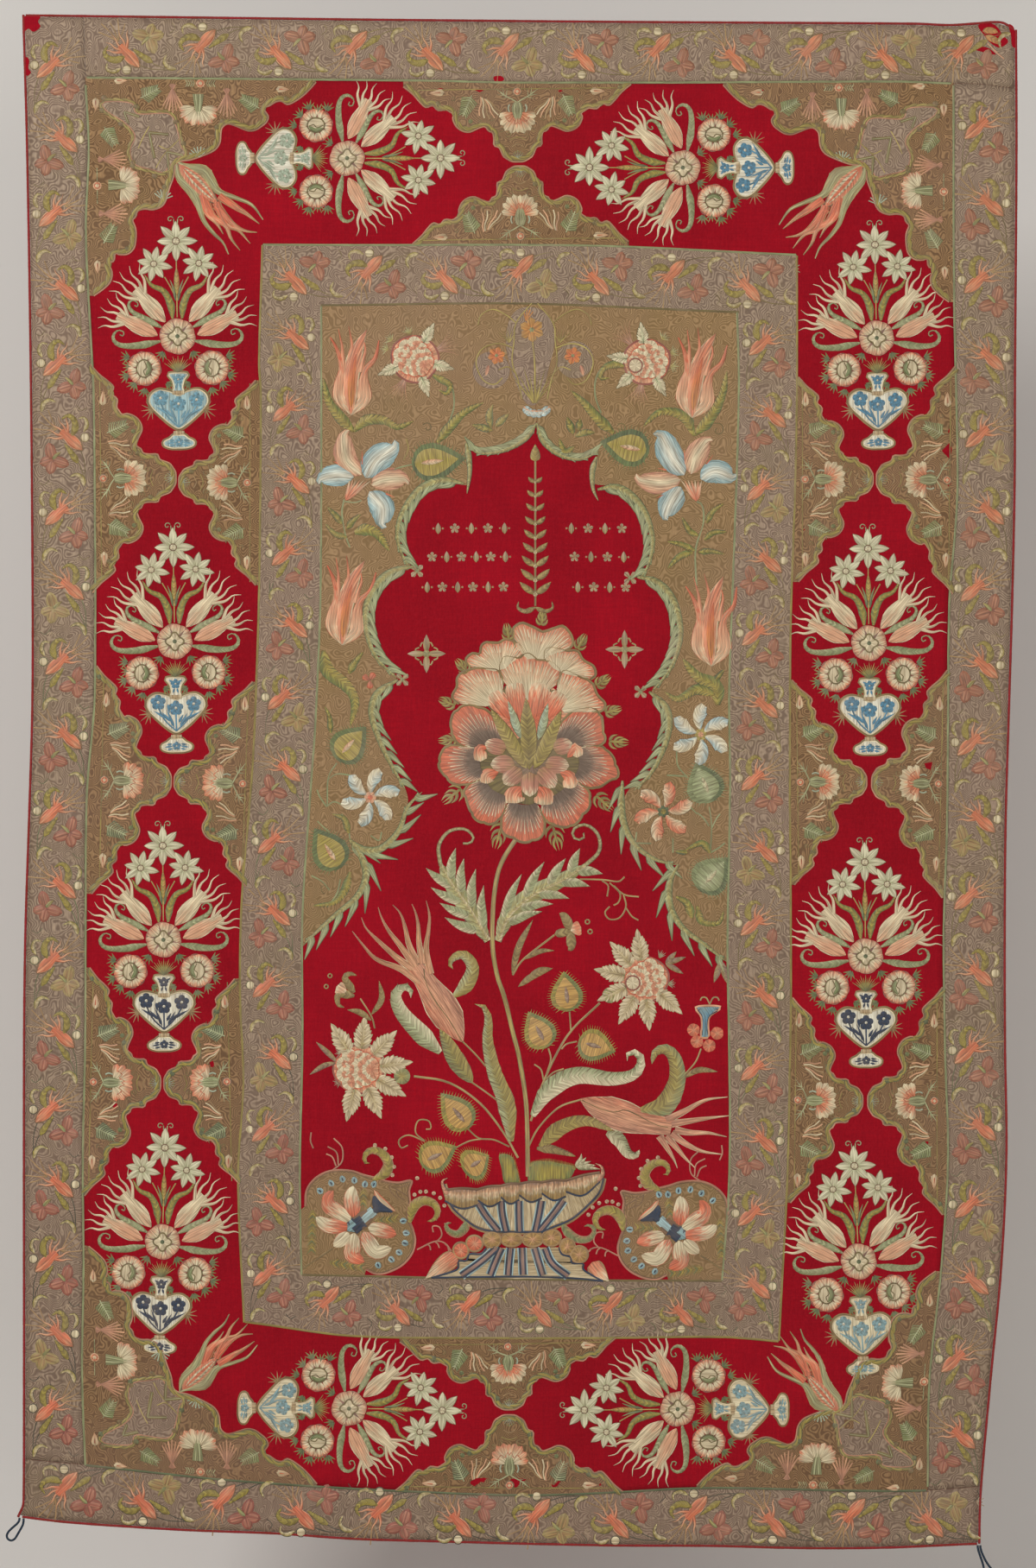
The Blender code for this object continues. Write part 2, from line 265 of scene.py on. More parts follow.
def rise_at(x, z, fine=True):
    """How far the hung cloth stands towards its worked side, in millimetres."""
    rise = np.zeros(np.shape(x))
    for row in FOLDS + (PUCKERS if fine else ()):
        fold = dict(zip(FOLD_FIELDS, row))
        run_x, run_z = fold["to_x"] - fold["from_x"], fold["to_z"] - fold["from_z"]
        length = math.hypot(run_x, run_z)
        off_x, off_z = x - fold["from_x"], z - fold["from_z"]
        along = (off_x * run_x + off_z * run_z) / length ** 2
        aside = (off_x * run_z - off_z * run_x) / length
        fade = smooth_step(along / FOLD_FADE) * smooth_step((1.0 - along) / FOLD_FADE)
        rise += fold["rise"] * fade * 2.0 ** (-(aside / fold["half_width"]) ** 2)
    if fine:
        long_x, long_z = RIPPLE_LENGTH
        rise += RIPPLE_RISE * np.sin(x / long_x * 6.28 + 1.7 * np.sin(z / 90.0)) * np.sin(z / long_z * 6.28)
    return rise


def on_cloth(flat, height=0.0):
    """Points in metres that lie height millimetres in front of the cloth's middle surface."""
    x, z = np.real(flat), np.imag(flat)
    return np.stack([x, -(rise_at(x, z) + height), z], axis=-1) * MM


def spot(x, y):
    """Layout point as a complex number of millimetres, x to the right and z upwards."""
    return complex((x - LAYOUT_ORIGIN[0]) * STEP, (LAYOUT_ORIGIN[1] - y) * STEP)


def spots(*pairs):
    return np.array([spot(x, y) for x, y in pairs])


# Lines of the inner frame, by name, whether they run down, and their layout points.
FRAME_LINES = (("frame_left", True, ((304, 283), (300, 421), (302, 454), (300, 684), (295, 837), (291, 908),
                                     (280, 1042), (278, 1153), (282, 1252), (276, 1362), (283, 1530))),
               ("field_left", True, ((372, 353), (371, 684), (365, 837), (360, 908), (350, 1061), (350, 1206),
                                     (347, 1362), (349, 1477))), ("field_right", True,
                                                                  ((854, 361), (856, 454), (851, 626),
                                                                   (845, 798), (846, 908), (843, 1099),
                                                                   (845, 1214), (845, 1362), (836.5, 1484))),
               ("frame_right", True, ((923, 295), (923, 454), (921, 569), (916, 722), (915, 908), (916, 1042),
                                      (916, 1176), (912, 1362), (906, 1477), (902, 1553))),
               ("frame_top", False, ((304, 283), (600, 284), (736, 286), (923, 295))),
               ("field_top", False, ((302, 354), (372, 353), (600, 352), (854, 361), (923, 362))),
               ("field_bottom", False, ((349, 1477), (497, 1480), (600, 1481), (753, 1483), (836, 1484))),
               ("frame_bottom", False, ((283, 1530), (409, 1548), (600, 1549), (837, 1549), (902, 1553))), )
for _name, _down, _points in FRAME_LINES:
    _flat = [spot(*_point) for _point in _points]
    EDGES[_name] = SmoothLine([(p.imag, p.real) if _down else (p.real, p.imag) for p in _flat])


def adopt(piece, materials):
    """Give a finished piece its materials and the body that it hangs on."""
    piece.data.materials.clear()
    for material in materials:
        piece.data.materials.append(material)
    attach(piece, "root")
    return piece


def linked(name, mesh):
    piece = bpy.data.objects.new(name, mesh)
    bpy.context.scene.collection.objects.link(piece)
    return piece


def apply_modifiers(piece):
    bpy.ops.object.select_all(action="DESELECT")
    bpy.context.view_layer.objects.active = piece
    piece.select_set(True)
    for modifier in list(piece.modifiers):
        bpy.ops.object.modifier_apply(modifier=modifier.name)


def map_uv(mesh, name, of_vertex):
    """Store a UV map given for each vertex."""
    layer = mesh.uv_layers.new(name=name)
    index = np.zeros(len(mesh.loops), np.int32)
    mesh.loops.foreach_get("vertex_index", index)
    layer.data.foreach_set("uv", np.asarray(of_vertex, np.float32)[index].ravel())


def add_node(tree, kind, settings=None, **inputs):
    """Add a node, with its settings and its inputs as values or as outputs to link."""
    node = tree.nodes.new(kind)
    for key, value in (settings or {}).items():
        setattr(node, key, value)
    for key, value in inputs.items():
        socket = node.inputs[int(key[1:])] if key[0] == "i" and key[1:].isdigit() else node.inputs[
            key.replace("_", " ")]
        if isinstance(value, bpy.types.NodeSocket):
            tree.links.new(value, socket)
        else:
            socket.default_value = value
    return node


def new_material(name):
    """Empty Principled material and its tree, shader and object coordinates."""
    material = bpy.data.materials.new(name)
    material.use_nodes = True
    tree = material.node_tree
    shader = tree.nodes["Principled BSDF"]
    place = tree.nodes.new("ShaderNodeTexCoord").outputs["Object"]
    return material, tree, shader, place


def rgba(name):
    return (*colour(name), 1.0)


def mixed(tree, factor, first, second, blend="MIX"):
    """Colour output of a mix of two colours."""
    node = add_node(tree, "ShaderNodeMix", {"data_type": "RGBA", "blend_type": blend}, i0=factor)
    for index, value in ((6, first), (7, second)):
        if isinstance(value, bpy.types.NodeSocket):
            tree.links.new(value, node.inputs[index])
        else:
            node.inputs[index].default_value = value
    return node.outputs[2]


def noise(tree, vector, scale, detail=2.0, roughness=0.5, stretch=(1.0, 1.0, 1.0)):
    """Factor of a noise whose grain is 1 / scale metres, drawn out by stretch."""
    placed = add_node(tree, "ShaderNodeMapping", None, Vector=vector, Scale=stretch).outputs[0]
    return add_node(tree, "ShaderNodeTexNoise", None, Vector=placed, Scale=scale, Detail=detail,
                    Roughness=roughness).outputs["Fac"]


def ranged(tree, value, low, high, to_low=0.0, to_high=1.0):
    """Output of a value taken from one range to another and held there."""
    return add_node(tree, "ShaderNodeMapRange", {"clamp": True}, i0=value, i1=low, i2=high, i3=to_low,
                    i4=to_high).outputs[0]


def bumped(tree, shader, height, distance, strength=1.0):
    bump = add_node(tree, "ShaderNodeBump", None, Height=height, Strength=strength, Distance=distance)
    tree.links.new(bump.outputs[0], shader.inputs["Normal"])


def wool_cloth():
    """Fulled wool cloth: a matt nap hides the weave, worn paler in clouds and stained in places."""
    material, tree, shader, place = new_material("fulled_red_wool_cloth")
    cloud = noise(tree, place, 5.0, 4.0, 0.6)
    nap = noise(tree, place, 420.0, 3.0, 0.65, (1.0, 1.0, 0.55))
    # The threads under the nap are 0.9 mm apart; they are drawn 2.2 mm apart, to show from a step away.
    warp = noise(tree, place, 450.0, 1.0, 0.5, (1.0, 1.0, 0.06))
    weft = noise(tree, place, 450.0, 1.0, 0.5, (0.06, 1.0, 1.0))
    base = mixed(tree, ranged(tree, cloud, 0.35, 0.68), rgba("wool_deep"), rgba("wool_red"))
    base = mixed(tree, ranged(tree, nap, 0.3, 0.75, 0.0, 0.5), base, (0.40, 0.010, 0.020, 1.0))
    base = mixed(tree, ranged(tree, warp, 0.35, 0.7, 0.22, 0.0), base, (0.16, 0.003, 0.010, 1.0))
    base = mixed(tree, ranged(tree, weft, 0.35, 0.7, 0.22, 0.0), base, (0.16, 0.003, 0.010, 1.0))
    tree.links.new(base, shader.inputs["Base Color"])
    shader.inputs["Roughness"].default_value = 0.95
    shader.inputs["Specular IOR Level"].default_value = 0.1
    shader.inputs["Sheen Weight"].default_value = 0.05
    shader.inputs["Sheen Roughness"].default_value = 0.5
    shader.inputs["Sheen Tint"].default_value = (0.9, 0.3, 0.3, 1.0)
    height = add_node(tree, "ShaderNodeMath", {"operation": "ADD"}, i0=nap, i1=warp).outputs[0]
    height = add_node(tree, "ShaderNodeMath", {"operation": "ADD"}, i0=height, i1=weft).outputs[0]
    bumped(tree, shader, height, 0.0004, 0.5)
    return material


def couched_ground(name, light, dark, winds, depth):
    """Gilt-silk thread couched in close lines: pale ridges over a dark bed, dulled by age and handling, darker towards
    the bottom.
    """
    material, tree, shader, place = new_material(name)
    # The couched thread is about 1 mm thick; its lines are drawn several times coarser, to show from afar.
    winding = noise(tree, place, 30.0, 1.2, 0.5)
    lines = add_node(tree, "ShaderNodeMath", {"operation": "MULTIPLY"}, i0=winding, i1=winds).outputs[0]
    lines = add_node(tree, "ShaderNodeMath", {"operation": "SINE"}, i0=lines).outputs[0]
    thread = noise(tree, place, 430.0, 2.0, 0.6, (1.0, 1.0, 0.1))
    grain = noise(tree, place, 330.0, 2.0, 0.7, (1.0, 1.0, 0.3))
    cloud = noise(tree, place, 9.0, 4.0, 0.65)
    patch = noise(tree, place, 3.1, 3.0, 0.6)
    ridge = ranged(tree, lines, -0.8, 0.8)
    base = mixed(tree, ranged(tree, ridge, 0.0, 1.0, 0.5 - depth, 0.5 + depth), rgba(dark), rgba(light))
    base = mixed(tree, ranged(tree, thread, 0.35, 0.62, 0.4, 0.0), base, rgba(dark))
    base = mixed(tree, ranged(tree, grain, 0.3, 0.62, 0.35, 0.0), base, rgba(dark))
    base = mixed(tree, ranged(tree, cloud, 0.5, 0.8, 0.0, 0.3), base, rgba("olive_brown"))
    base = mixed(tree, ranged(tree, patch, 0.45, 0.75, 0.0, 0.25), base, rgba("dusk"))
    # Darker towards the bottom of the cloth, set by height alone.
    height = add_node(tree, "ShaderNodeSeparateXYZ", None, i0=place).outputs[2]
    base = mixed(tree, ranged(tree, height, -2.3, -0.3, 0.2, 0.0), base, (0.09, 0.045, 0.03, 1.0))
    tree.links.new(base, shader.inputs["Base Color"])
    tree.links.new(ranged(tree, ridge, 0.0, 1.0, 0.8, 0.55), shader.inputs["Roughness"])
    shader.inputs["Specular IOR Level"].default_value = 0.3
    bumped(tree, shader, add_node(tree, "ShaderNodeMath", {"operation": "MULTIPLY_ADD"}, i0=thread, i1=1.2,
                                  i2=ridge).outputs[0], 0.0005, 0.5)
    return material


def silk():
    """Floss silk in long and short stitches: soft gloss along the threads, two shades that interlock."""
    material, tree, shader, place = new_material("floss_silk_stitches")
    near = add_node(tree, "ShaderNodeAttribute", {"attribute_name": "near"}).outputs["Color"]
    far = add_node(tree, "ShaderNodeAttribute", {"attribute_name": "far"}).outputs["Color"]
    lay = add_node(tree, "ShaderNodeUVMap", {"uv_map": "stitches"}).outputs[0]
    # Single stitches are 0.5 mm wide; bundles of them are drawn 2 to 3 mm wide, to show from a step away.
    bundle = noise(tree, lay, 0.42, 1.5, 0.6, (1.0, 0.05, 1.0))
    strand = noise(tree, lay, 1.15, 1.0, 0.5, (1.0, 0.04, 1.0))
    reach = noise(tree, lay, 0.55, 1.0, 0.5, (1.0, 0.16, 1.0))
    fade = noise(tree, place, 14.0, 3.0, 0.6)
    base = mixed(tree, ranged(tree, reach, 0.38, 0.62), near, far)
    shade = mixed(tree, ranged(tree, bundle, 0.32, 0.66), (0.52, 0.47, 0.42, 1.0), (1.12, 1.12, 1.1, 1.0))
    base = mixed(tree, 1.0, base, shade, "MULTIPLY")
    base = mixed(tree, ranged(tree, strand, 0.35, 0.6, 0.4, 0.0), base, (0.10, 0.07, 0.045, 1.0))
    base = mixed(tree, ranged(tree, fade, 0.5, 0.75, 0.0, 0.22), base, rgba("mauve_light"))
    tree.links.new(base, shader.inputs["Base Color"])
    shader.inputs["Roughness"].default_value = 0.5
    shader.inputs["Specular IOR Level"].default_value = 0.4
    shader.inputs["Sheen Weight"].default_value = 0.1
    height = add_node(tree, "ShaderNodeMath", {"operation": "ADD"}, i0=bundle, i1=strand).outputs[0]
    bumped(tree, shader, height, 0.0005, 0.6)
    return material


def wool_binding():
    """Folded wool tape sewn round the rim: matt red-brown, paler in clouds, its nap flecked darker."""
    material, tree, shader, place = new_material("sewn_wool_binding")
    nap = noise(tree, place, 260.0, 3.0, 0.65)
    cloud = noise(tree, place, 22.0, 3.0, 0.6)
    base = mixed(tree, ranged(tree, cloud, 0.35, 0.7), rgba("binding_red"), (0.33, 0.012, 0.018, 1.0))
    base = mixed(tree, ranged(tree, nap, 0.35, 0.75, 0.45, 0.0), base, (0.09, 0.012, 0.010, 1.0))
    tree.links.new(base, shader.inputs["Base Color"])
    shader.inputs["Roughness"].default_value = 0.9
    bumped(tree, shader, nap, 0.0006, 0.7)
    return material


def twisted_cord():
    """Two-ply dyed cord: matt plies that wind round each other every 6 mm, with painted shade in the grooves between
    them.
    """
    material, tree, shader, place = new_material("twisted_blue_cord")
    lay = add_node(tree, "ShaderNodeUVMap", {"uv_map": "stitches"}).outputs[0]
    parts = add_node(tree, "ShaderNodeSeparateXYZ", None, i0=lay)
    turn = add_node(tree, "ShaderNodeMath", {"operation": "MULTIPLY"}, i0=parts.outputs[1],
                    i1=1.05).outputs[0]
    turn = add_node(tree, "ShaderNodeMath", {"operation": "MULTIPLY_ADD"}, i0=parts.outputs[0], i1=12.566,
                    i2=turn).outputs[0]
    ply = add_node(tree, "ShaderNodeMath", {"operation": "SINE"}, i0=turn).outputs[0]
    grain = noise(tree, place, 900.0, 2.0, 0.6)
    # Painted shade: each ply darkens to near black towards the groove between the plies.
    base = mixed(tree, ranged(tree, ply, -0.9, 0.3), (0.006, 0.012, 0.02, 1.0), rgba("loop_blue"))
    base = mixed(tree, ranged(tree, grain, 0.5, 0.8, 0.0, 0.5), base, (0.03, 0.07, 0.09, 1.0))
    tree.links.new(base, shader.inputs["Base Color"])
    shader.inputs["Roughness"].default_value = 0.8
    bumped(tree, shader, ply, 0.0008, 0.8)
    return material


def stage_paper():
    """Matt seamless paper of a studio."""
    material, tree, shader, place = new_material("matt_backdrop_paper")
    cloud = noise(tree, place, 1.2, 2.0, 0.5)
    base = mixed(tree, ranged(tree, cloud, 0.3, 0.7, 0.0, 0.04), rgba("stage_pale"), (0.6, 0.58, 0.55, 1.0))
    tree.links.new(base, shader.inputs["Base Color"])
    shader.inputs["Roughness"].default_value = 0.95
    return material


MAKERS = {
    "wool": wool_cloth,
    "mauve": lambda: couched_ground("couched_grey_ground", "mauve_light", "mauve_dark", 150.0, 0.36),
    "tan": lambda: couched_ground("couched_tan_ground", "tan_light", "tan_dark", 150.0, 0.75),
    "brown": lambda: couched_ground("couched_brown_ground", "brown_light", "brown_dark", 170.0, 0.75),
    "silk": silk,
    "binding": wool_binding,
    "cord": twisted_cord,
    "stage": stage_paper,
}
_made = {}


def finish_of(name):
    """The material of a finish, made once."""
    if name not in _made:
        _made[name] = MAKERS[name]()
    return _made[name]


class Place:
    """Where a motif's own millimetres go: origin, turn in degrees and size, mirrored or along two ways."""

    def __init__(self, origin=0j, turn=0.0, size=1.0, mirrored=False, ways=None):
        spin = size * np.exp(1j * math.radians(turn))
        self.origin = origin
        self.across, self.up = ways or (-spin if mirrored else spin, 1j * spin)

    def carried(self, step):
        return self.across * step.real + self.up * step.imag

    def __call__(self, flat):
        return self.origin + self.carried(np.asarray(flat, complex))

    def inner(self, origin=0j, turn=0.0, size=1.0, mirrored=False):
        """Place of a smaller motif that is set within this one."""
        small = Place(0j, turn, size, mirrored)
        return Place(self(origin), ways=(self.carried(small.across), self.carried(small.up)))


def smooth_path(points, rows, closed=False):
    """Even points on a smooth curve through the given ones."""
    points = np.asarray(points, complex)
    if len(points) == 2:
        return points[0] + (points[1] - points[0]) * np.linspace(0.0, 1.0, rows)
    if closed:
        ends = np.r_[points[-1], points, points[:2]]
    else:
        ends = np.r_[2 * points[0] - points[1], points, 2 * points[-1] - points[-2]]
    t = np.linspace(0.0, 1.0, 12, endpoint=False)[None, :]
    a, b, c, d = (ends[i:len(ends) - 3 + i, None] for i in range(4))
    dense = 0.5 * (2 * b + (c - a) * t + (2 * a - 5 * b + 4 * c - d) * t ** 2
                   + (3 * b - a - 3 * c + d) * t ** 3)
    dense = np.r_[dense.ravel(), ends[-2]]
    run = np.r_[0.0, np.cumsum(np.abs(np.diff(dense)))]
    even = np.linspace(0.0, run[-1], rows)
    return np.interp(even, run, dense.real) + 1j * np.interp(even, run, dense.imag)


def lens(rise, fall):
    """Width of a leaf-like shape along its way: the powers shape its start and its end."""
    peak = rise / (rise + fall)
    top = peak ** rise * (1.0 - peak) ** fall
    return lambda s: np.maximum(s, 0.0) ** rise * np.maximum(1.0 - s, 0.0) ** fall / top


WIDTHS = {"leaf": lens(0.7, 0.9), "broad": lens(0.5, 0.6), "petal": lens(0.9, 0.35), "drop": lens(0.4, 1.0),
          "spike": lambda s: 1.0 - 0.92 * s, "cord": lambda s: np.ones_like(s),
          "stem": lambda s: 1.0 - 0.45 * s, "horn": lambda s: np.minimum(1.0,
                                                                         3.5 * s + 0.25) * (1.0 - s) ** 0.55,
          "egg": lambda s: np.interp(s, (0.0, 0.06, 0.2, 0.42, 0.65, 0.85, 1.0),
                                     (0.15, 0.58, 0.93, 1.0, 0.74, 0.34, 0.02)),
          "gourd": lambda s: np.interp(s, (0.0, 0.1, 0.3, 0.5, 0.75, 1.0),
                                       (0.08, 0.45, 0.95, 1.0, 0.68, 0.5)),
          "sheath": lambda s: np.interp(s, (0.0, 0.1, 0.28, 0.42, 0.55, 0.8, 1.0),
                                        (0.06, 0.45, 1.0, 0.76, 0.4, 0.26, 0.08)),
          "vial": lambda s: np.interp(s, (0.0, 0.12, 0.3, 0.45, 0.6, 0.8, 1.0),
                                      (0.35, 0.85, 1.0, 0.85, 0.55, 0.6, 1.0)),
          "bell": lambda s: (0.16 + np.sin(np.pi * np.clip(s, 0, 1) ** 0.8) ** 0.9) * (1.0 - 0.45 * s ** 3), }
ACROSS = {2: ((-1.0, 1.0), (0.0, 0.0)), 3: ((-1.0, 0.0, 1.0), (-0.25, 1.0, -0.25)),
          5: ((-1.0, -0.72, 0.0, 0.72, 1.0), (-0.25, 0.7, 1.0, 0.7, -0.25))}
VEINED = (-0.25, 1.0, 0.45, 1.0, -0.25)
TOOTH = (0.0, 0.45, 0.85, 0.98)
SHELF_GAP = 1.6


def ramp(stops, t):
    """Colours at t from 0 to 1 along evenly spaced stops."""
    table = np.array([colour(stop) if isinstance(stop, str) else stop for stop in stops], float)
    if len(table) == 1:
        table = np.repeat(table, 2, 0)
    places = np.linspace(0.0, 1.0, len(table))
    t = np.clip(t, 0.0, 1.0)
    return np.stack([np.interp(t, places, table[:, k]) for k in range(3)], axis=-1)


class Needlework:
    """Stitched shapes gathered into one piece, which lie on cloth or on a ground."""

    def __init__(self, bed=0.0):
        sizes = cloth_sizes()
        self.bed = sizes["thickness"] / 2.0 + bed
        self.relief = sizes["silk_relief"]
        self.place = Place()
        self.faded = (None, 0.0)
        self.points, self.heights, self.lays, self.nears, self.fars, self.faces = [], [], [], [], [], []
        self.boxes = []
        self.count = 0

    def on(self, place):
        self.place = place
        return self

    def lay(self, grid, height, stitches, stops, t, spread=0.13):
        """Add one grid of points, its heights above the bed, stitch coordinates and colours."""
        rows, columns = grid.shape
        flat = self.place(grid)
        size = abs(self.place.across)
        quad = self.count + np.arange(rows * columns).reshape(rows, columns)
        corners = [quad[:-1, :-1], quad[:-1, 1:], quad[1:, 1:], quad[1:, :-1]]
        ahead, aside = np.diff(flat, axis=0)[:, :-1], np.diff(flat, axis=1)[:-1]
        if np.sum((np.conj(aside) * ahead).imag) < 0:
            corners.reverse()
        self.faces.append(np.stack([c.ravel() for c in corners], axis=1))
        shift = (self.count * 0.731) % 97.0
        lay = np.stack([stitches[0] * size + shift, stitches[1] * size + 1.7 * shift], axis=-1)
        near, far = ramp(stops, t - spread), ramp(stops, t + spread)
        fade_to, amount = self.faded
        if fade_to:
            dull = np.array(colour(fade_to))
            near, far = (shade * (1.0 - amount) + dull * amount for shade in (near, far))
        wide = np.abs(np.diff(flat, axis=1)).sum(1).max()
        long = np.abs(np.diff(flat, axis=0)).sum(0).max()
        u, v = np.meshgrid(np.linspace(0, 1, columns), np.linspace(0, 1, rows))
        self.boxes.append((max(wide, 0.8), max(long, 0.8), u.ravel(), v.ravel()))
        self.points.append(flat.ravel())
        self.heights.append(np.broadcast_to(height, grid.shape).ravel() + self.bed)
        self.lays.append(lay.reshape(-1, 2))
        self.nears.append(near.reshape(-1, 3))
        self.fars.append(far.reshape(-1, 3))
        self.count += rows * columns

    def blade(self, points, width, shape="leaf", stops=("sage",), lift=0.0, rows=9, columns=5, grain="along",
              blend="along", teeth=0, bite=0.35, lean=0.6, vein=False, closed=False, relief=1.0, toothed=0):
        """A leaf, petal, stem or cord along a smooth path; width is its half width, toothed its cut side."""
        if teeth:
            s = np.r_[np.add.outer(np.arange(teeth), TOOTH).ravel() / teeth, 1.0]
            saw = np.r_[np.tile(TOOTH, teeth), 0.0]
            rows = len(s)
        else:
            s = np.linspace(0.0, 1.0, rows)
        fine = smooth_path(points, max(4 * rows, 24), closed)
        even = np.linspace(0.0, 1.0, len(fine))
        spine = np.interp(s, even, fine.real) + 1j * np.interp(s, even, fine.imag)
        heading = np.gradient(fine) if not closed else np.roll(fine[:-1], -1)[
            np.r_[0:len(fine) - 1, 0]] - np.roll(fine[:-1], 1)[np.r_[0:len(fine) - 1, 0]]
        heading = np.interp(s, even, heading.real) + 1j * np.interp(s, even, heading.imag)
        heading /= np.maximum(np.abs(heading), 1e-9)
        half = np.maximum(width * WIDTHS[shape](s), 0.12)
        shares, crown = (np.array(part) for part in ACROSS[columns])
        if vein and columns == 5:
            crown = np.array(VEINED)
        reach = half[:, None] * shares[None, :]
        push = np.zeros_like(reach)
        if teeth:
            edge = (shares == toothed if toothed else np.abs(shares) == 1.0)[None, :]
            reach = np.where(edge, reach * (1.0 - bite * (1.0 - saw[:, None])), reach)
            push = np.where(edge, lean * saw[:, None] * half[:, None] * bite * 2.0, 0.0)
        grid = spine[:, None] + 1j * heading[:, None] * reach + heading[:, None] * push
        long = np.abs(np.diff(fine)).sum()
        away, apart = s[:, None] * long, np.abs(shares)[None, :] * half[:, None]
        if grain == "along":
            stitches = (reach, away + 0.0 * reach)
        elif grain == "across":
            stitches = (away + 0.0 * reach, reach)
        else:
            stitches = ((away - apart) * 0.7, (away + apart) * 0.7)
        t = {"along": s[:, None] + 0.0 * reach, "aside": np.abs(shares)[None, :] + 0.0 * reach,
             "sides": (shares[None, :] + 1.0) / 2.0 + 0.0 * reach,
             "outward": 0.75 * s[:, None] + 0.35 * np.abs(shares)[None, :]}[blend]
        swell = np.minimum(half / 2.2, 1.0)[:, None] * self.relief * relief
        self.lay(grid, lift + crown[None, :] * swell, stitches, stops, t)

    def line(self, points, width, stop, lift=0.0, rows=None, shape="cord", closed=False, relief=0.8):
        """A laid cord of thread, width wide."""
        points = np.asarray(points, complex)
        rows = rows or max(4, 3 * len(points))
        self.blade(points, width / 2.0, shape, (stop,) if isinstance(stop, str) else stop, lift, rows, 3,
                   "along", "along", closed=closed, relief=relief)

    def ring(self, centre, inner, outer, stops, lift=0.0, lobes=0, dip=0.12, turn=0.0, rows=4, columns=None,
             squash=1.0, relief=1.0, sweep=360.0):
        """A round of radial stitches with a scalloped rim, or a sector of one."""
        columns = columns or (6 * lobes + 1 if lobes else 19)
        angle = np.linspace(0.0, math.radians(sweep), columns)
        wave = np.abs(np.sin(angle * lobes * 180.0 / sweep)) if sweep < 360 else np.abs(
            np.sin(angle * lobes / 2.0))
        rim = 1.0 - dip * (1.0 - wave ** 0.6) if lobes else np.ones_like(angle)
        s = np.linspace(0.0, 1.0, rows)
        radius = inner + (outer * rim[None, :] - inner) * s[:, None]
        turned = np.exp(1j * (angle + math.radians(turn)))[None, :]
        grid = centre + radius * (turned.real * squash + 1j * turned.imag)
        crown = np.sin(np.pi * np.clip(0.12 + 0.88 * s, 0, 1)) ** 0.6 * 1.25 - 0.25
        fold = (0.45 + 0.55 * wave ** 0.5)[None, :] if lobes else 1.0
        stitches = (angle[None, :] * (inner + outer) / 2.0 + 0.0 * radius, radius)
        self.lay(grid, lift + crown[:, None] * fold * self.relief * relief, stitches, stops,
                 s[:, None] + 0.0 * radius)

    def filled(self, outline, centre, stops, lift=0.0, rows=5, points=28, grain="out", relief=1.0, flat=0.75):
        """A shape filled from its centre out to a smooth closed outline."""
        rim = smooth_path(outline, points + 1, True)
        s = np.linspace(0.0, 1.0, rows)
        s = 1.0 - (1.0 - s) ** 1.4
        grid = centre + (rim - centre)[None, :] * s[:, None]
        crown = np.minimum(1.0, (1.0 - s) / (1.0 - flat)) ** 0.6 * 1.25 - 0.25
        if grain == "out":
            around = np.r_[0.0, np.cumsum(np.abs(np.diff(rim)))]
            stitches = (around[None, :] * 0.6 + 0.0 * s[:, None], np.abs(grid - centre))
        else:
            stitches = (grid.real, grid.imag) if grain == "up" else (grid.imag, grid.real)
        self.lay(grid, lift + crown[:, None] * self.relief * relief, stitches, stops,
                 s[:, None] + 0.0 * grid.real)

    def between(self, left, right, stops, lift=0.0, rows=8, columns=5, grain="along", relief=1.0,
                blend="along"):
        """A shape filled between two side lines."""
        low, high = smooth_path(left, rows), smooth_path(right, rows)
        shares, crown = (np.array(part) for part in ACROSS[columns])
        half = (shares + 1.0) / 2.0
        grid = low[:, None] * (1.0 - half)[None, :] + high[:, None] * half[None, :]
        s = np.linspace(0.0, 1.0, rows)
        long, wide = np.abs(np.diff(low)).sum(), np.abs(high - low)[:, None]
        lays = (half[None, :] * wide, s[:, None] * long + 0.0 * wide * half)
        t = s[:, None] + 0.0 * half if blend == "along" else np.abs(shares)[None, :] + 0.0 * s[:, None]
        self.lay(grid, lift + crown[None, :] * self.relief * relief, lays if grain == "along" else lays[::-1],
                 stops, t)

    def packed(self):
        """Place every shape's own rectangle on shelves in a unit square."""
        order = sorted(range(len(self.boxes)), key=lambda i: -self.boxes[i][1])
        total = sum((b[0] + SHELF_GAP) * (b[1] + SHELF_GAP) for b in self.boxes)
        side = max(math.sqrt(total) * 1.06, max(max(b[0], b[1]) for b in self.boxes) + SHELF_GAP)
        placed, x, y, shelf = {}, 0.0, 0.0, 0.0
        for i in order:
            wide, long = self.boxes[i][:2]
            if x + wide + SHELF_GAP > side:
                x, y, shelf = 0.0, y + shelf, 0.0
            placed[i] = (x + SHELF_GAP / 2, y + SHELF_GAP / 2)
            x += wide + SHELF_GAP
            shelf = max(shelf, long + SHELF_GAP)
        full = max(side, y + shelf)
        parts = []
        for i, (wide, long, u, v) in enumerate(self.boxes):
            left, low = placed[i]
            parts.append(np.stack([(left + u * wide) / full, (low + v * long) / full], axis=1))
        return np.concatenate(parts)

    def finish(self, name, slot="couched_ground"):
        """Make the piece from all that was laid."""
        mesh = bpy.data.meshes.new(name)
        mesh.from_pydata(on_cloth(np.concatenate(self.points), np.concatenate(self.heights)).tolist(), [],
                         np.concatenate(self.faces).tolist())
        for key, parts in (("near", self.nears), ("far", self.fars)):
            shades = np.concatenate(parts)
            layer = mesh.color_attributes.new(key, "FLOAT_COLOR", "POINT")
            layer.data.foreach_set("color", np.c_[shades, np.ones(len(shades))].astype(np.float32).ravel())
        map_uv(mesh, "OFBake", self.packed())
        map_uv(mesh, "stitches", np.concatenate(self.lays))
        mesh.shade_smooth()
        return adopt(linked(name, mesh), [finish_of("silk")])


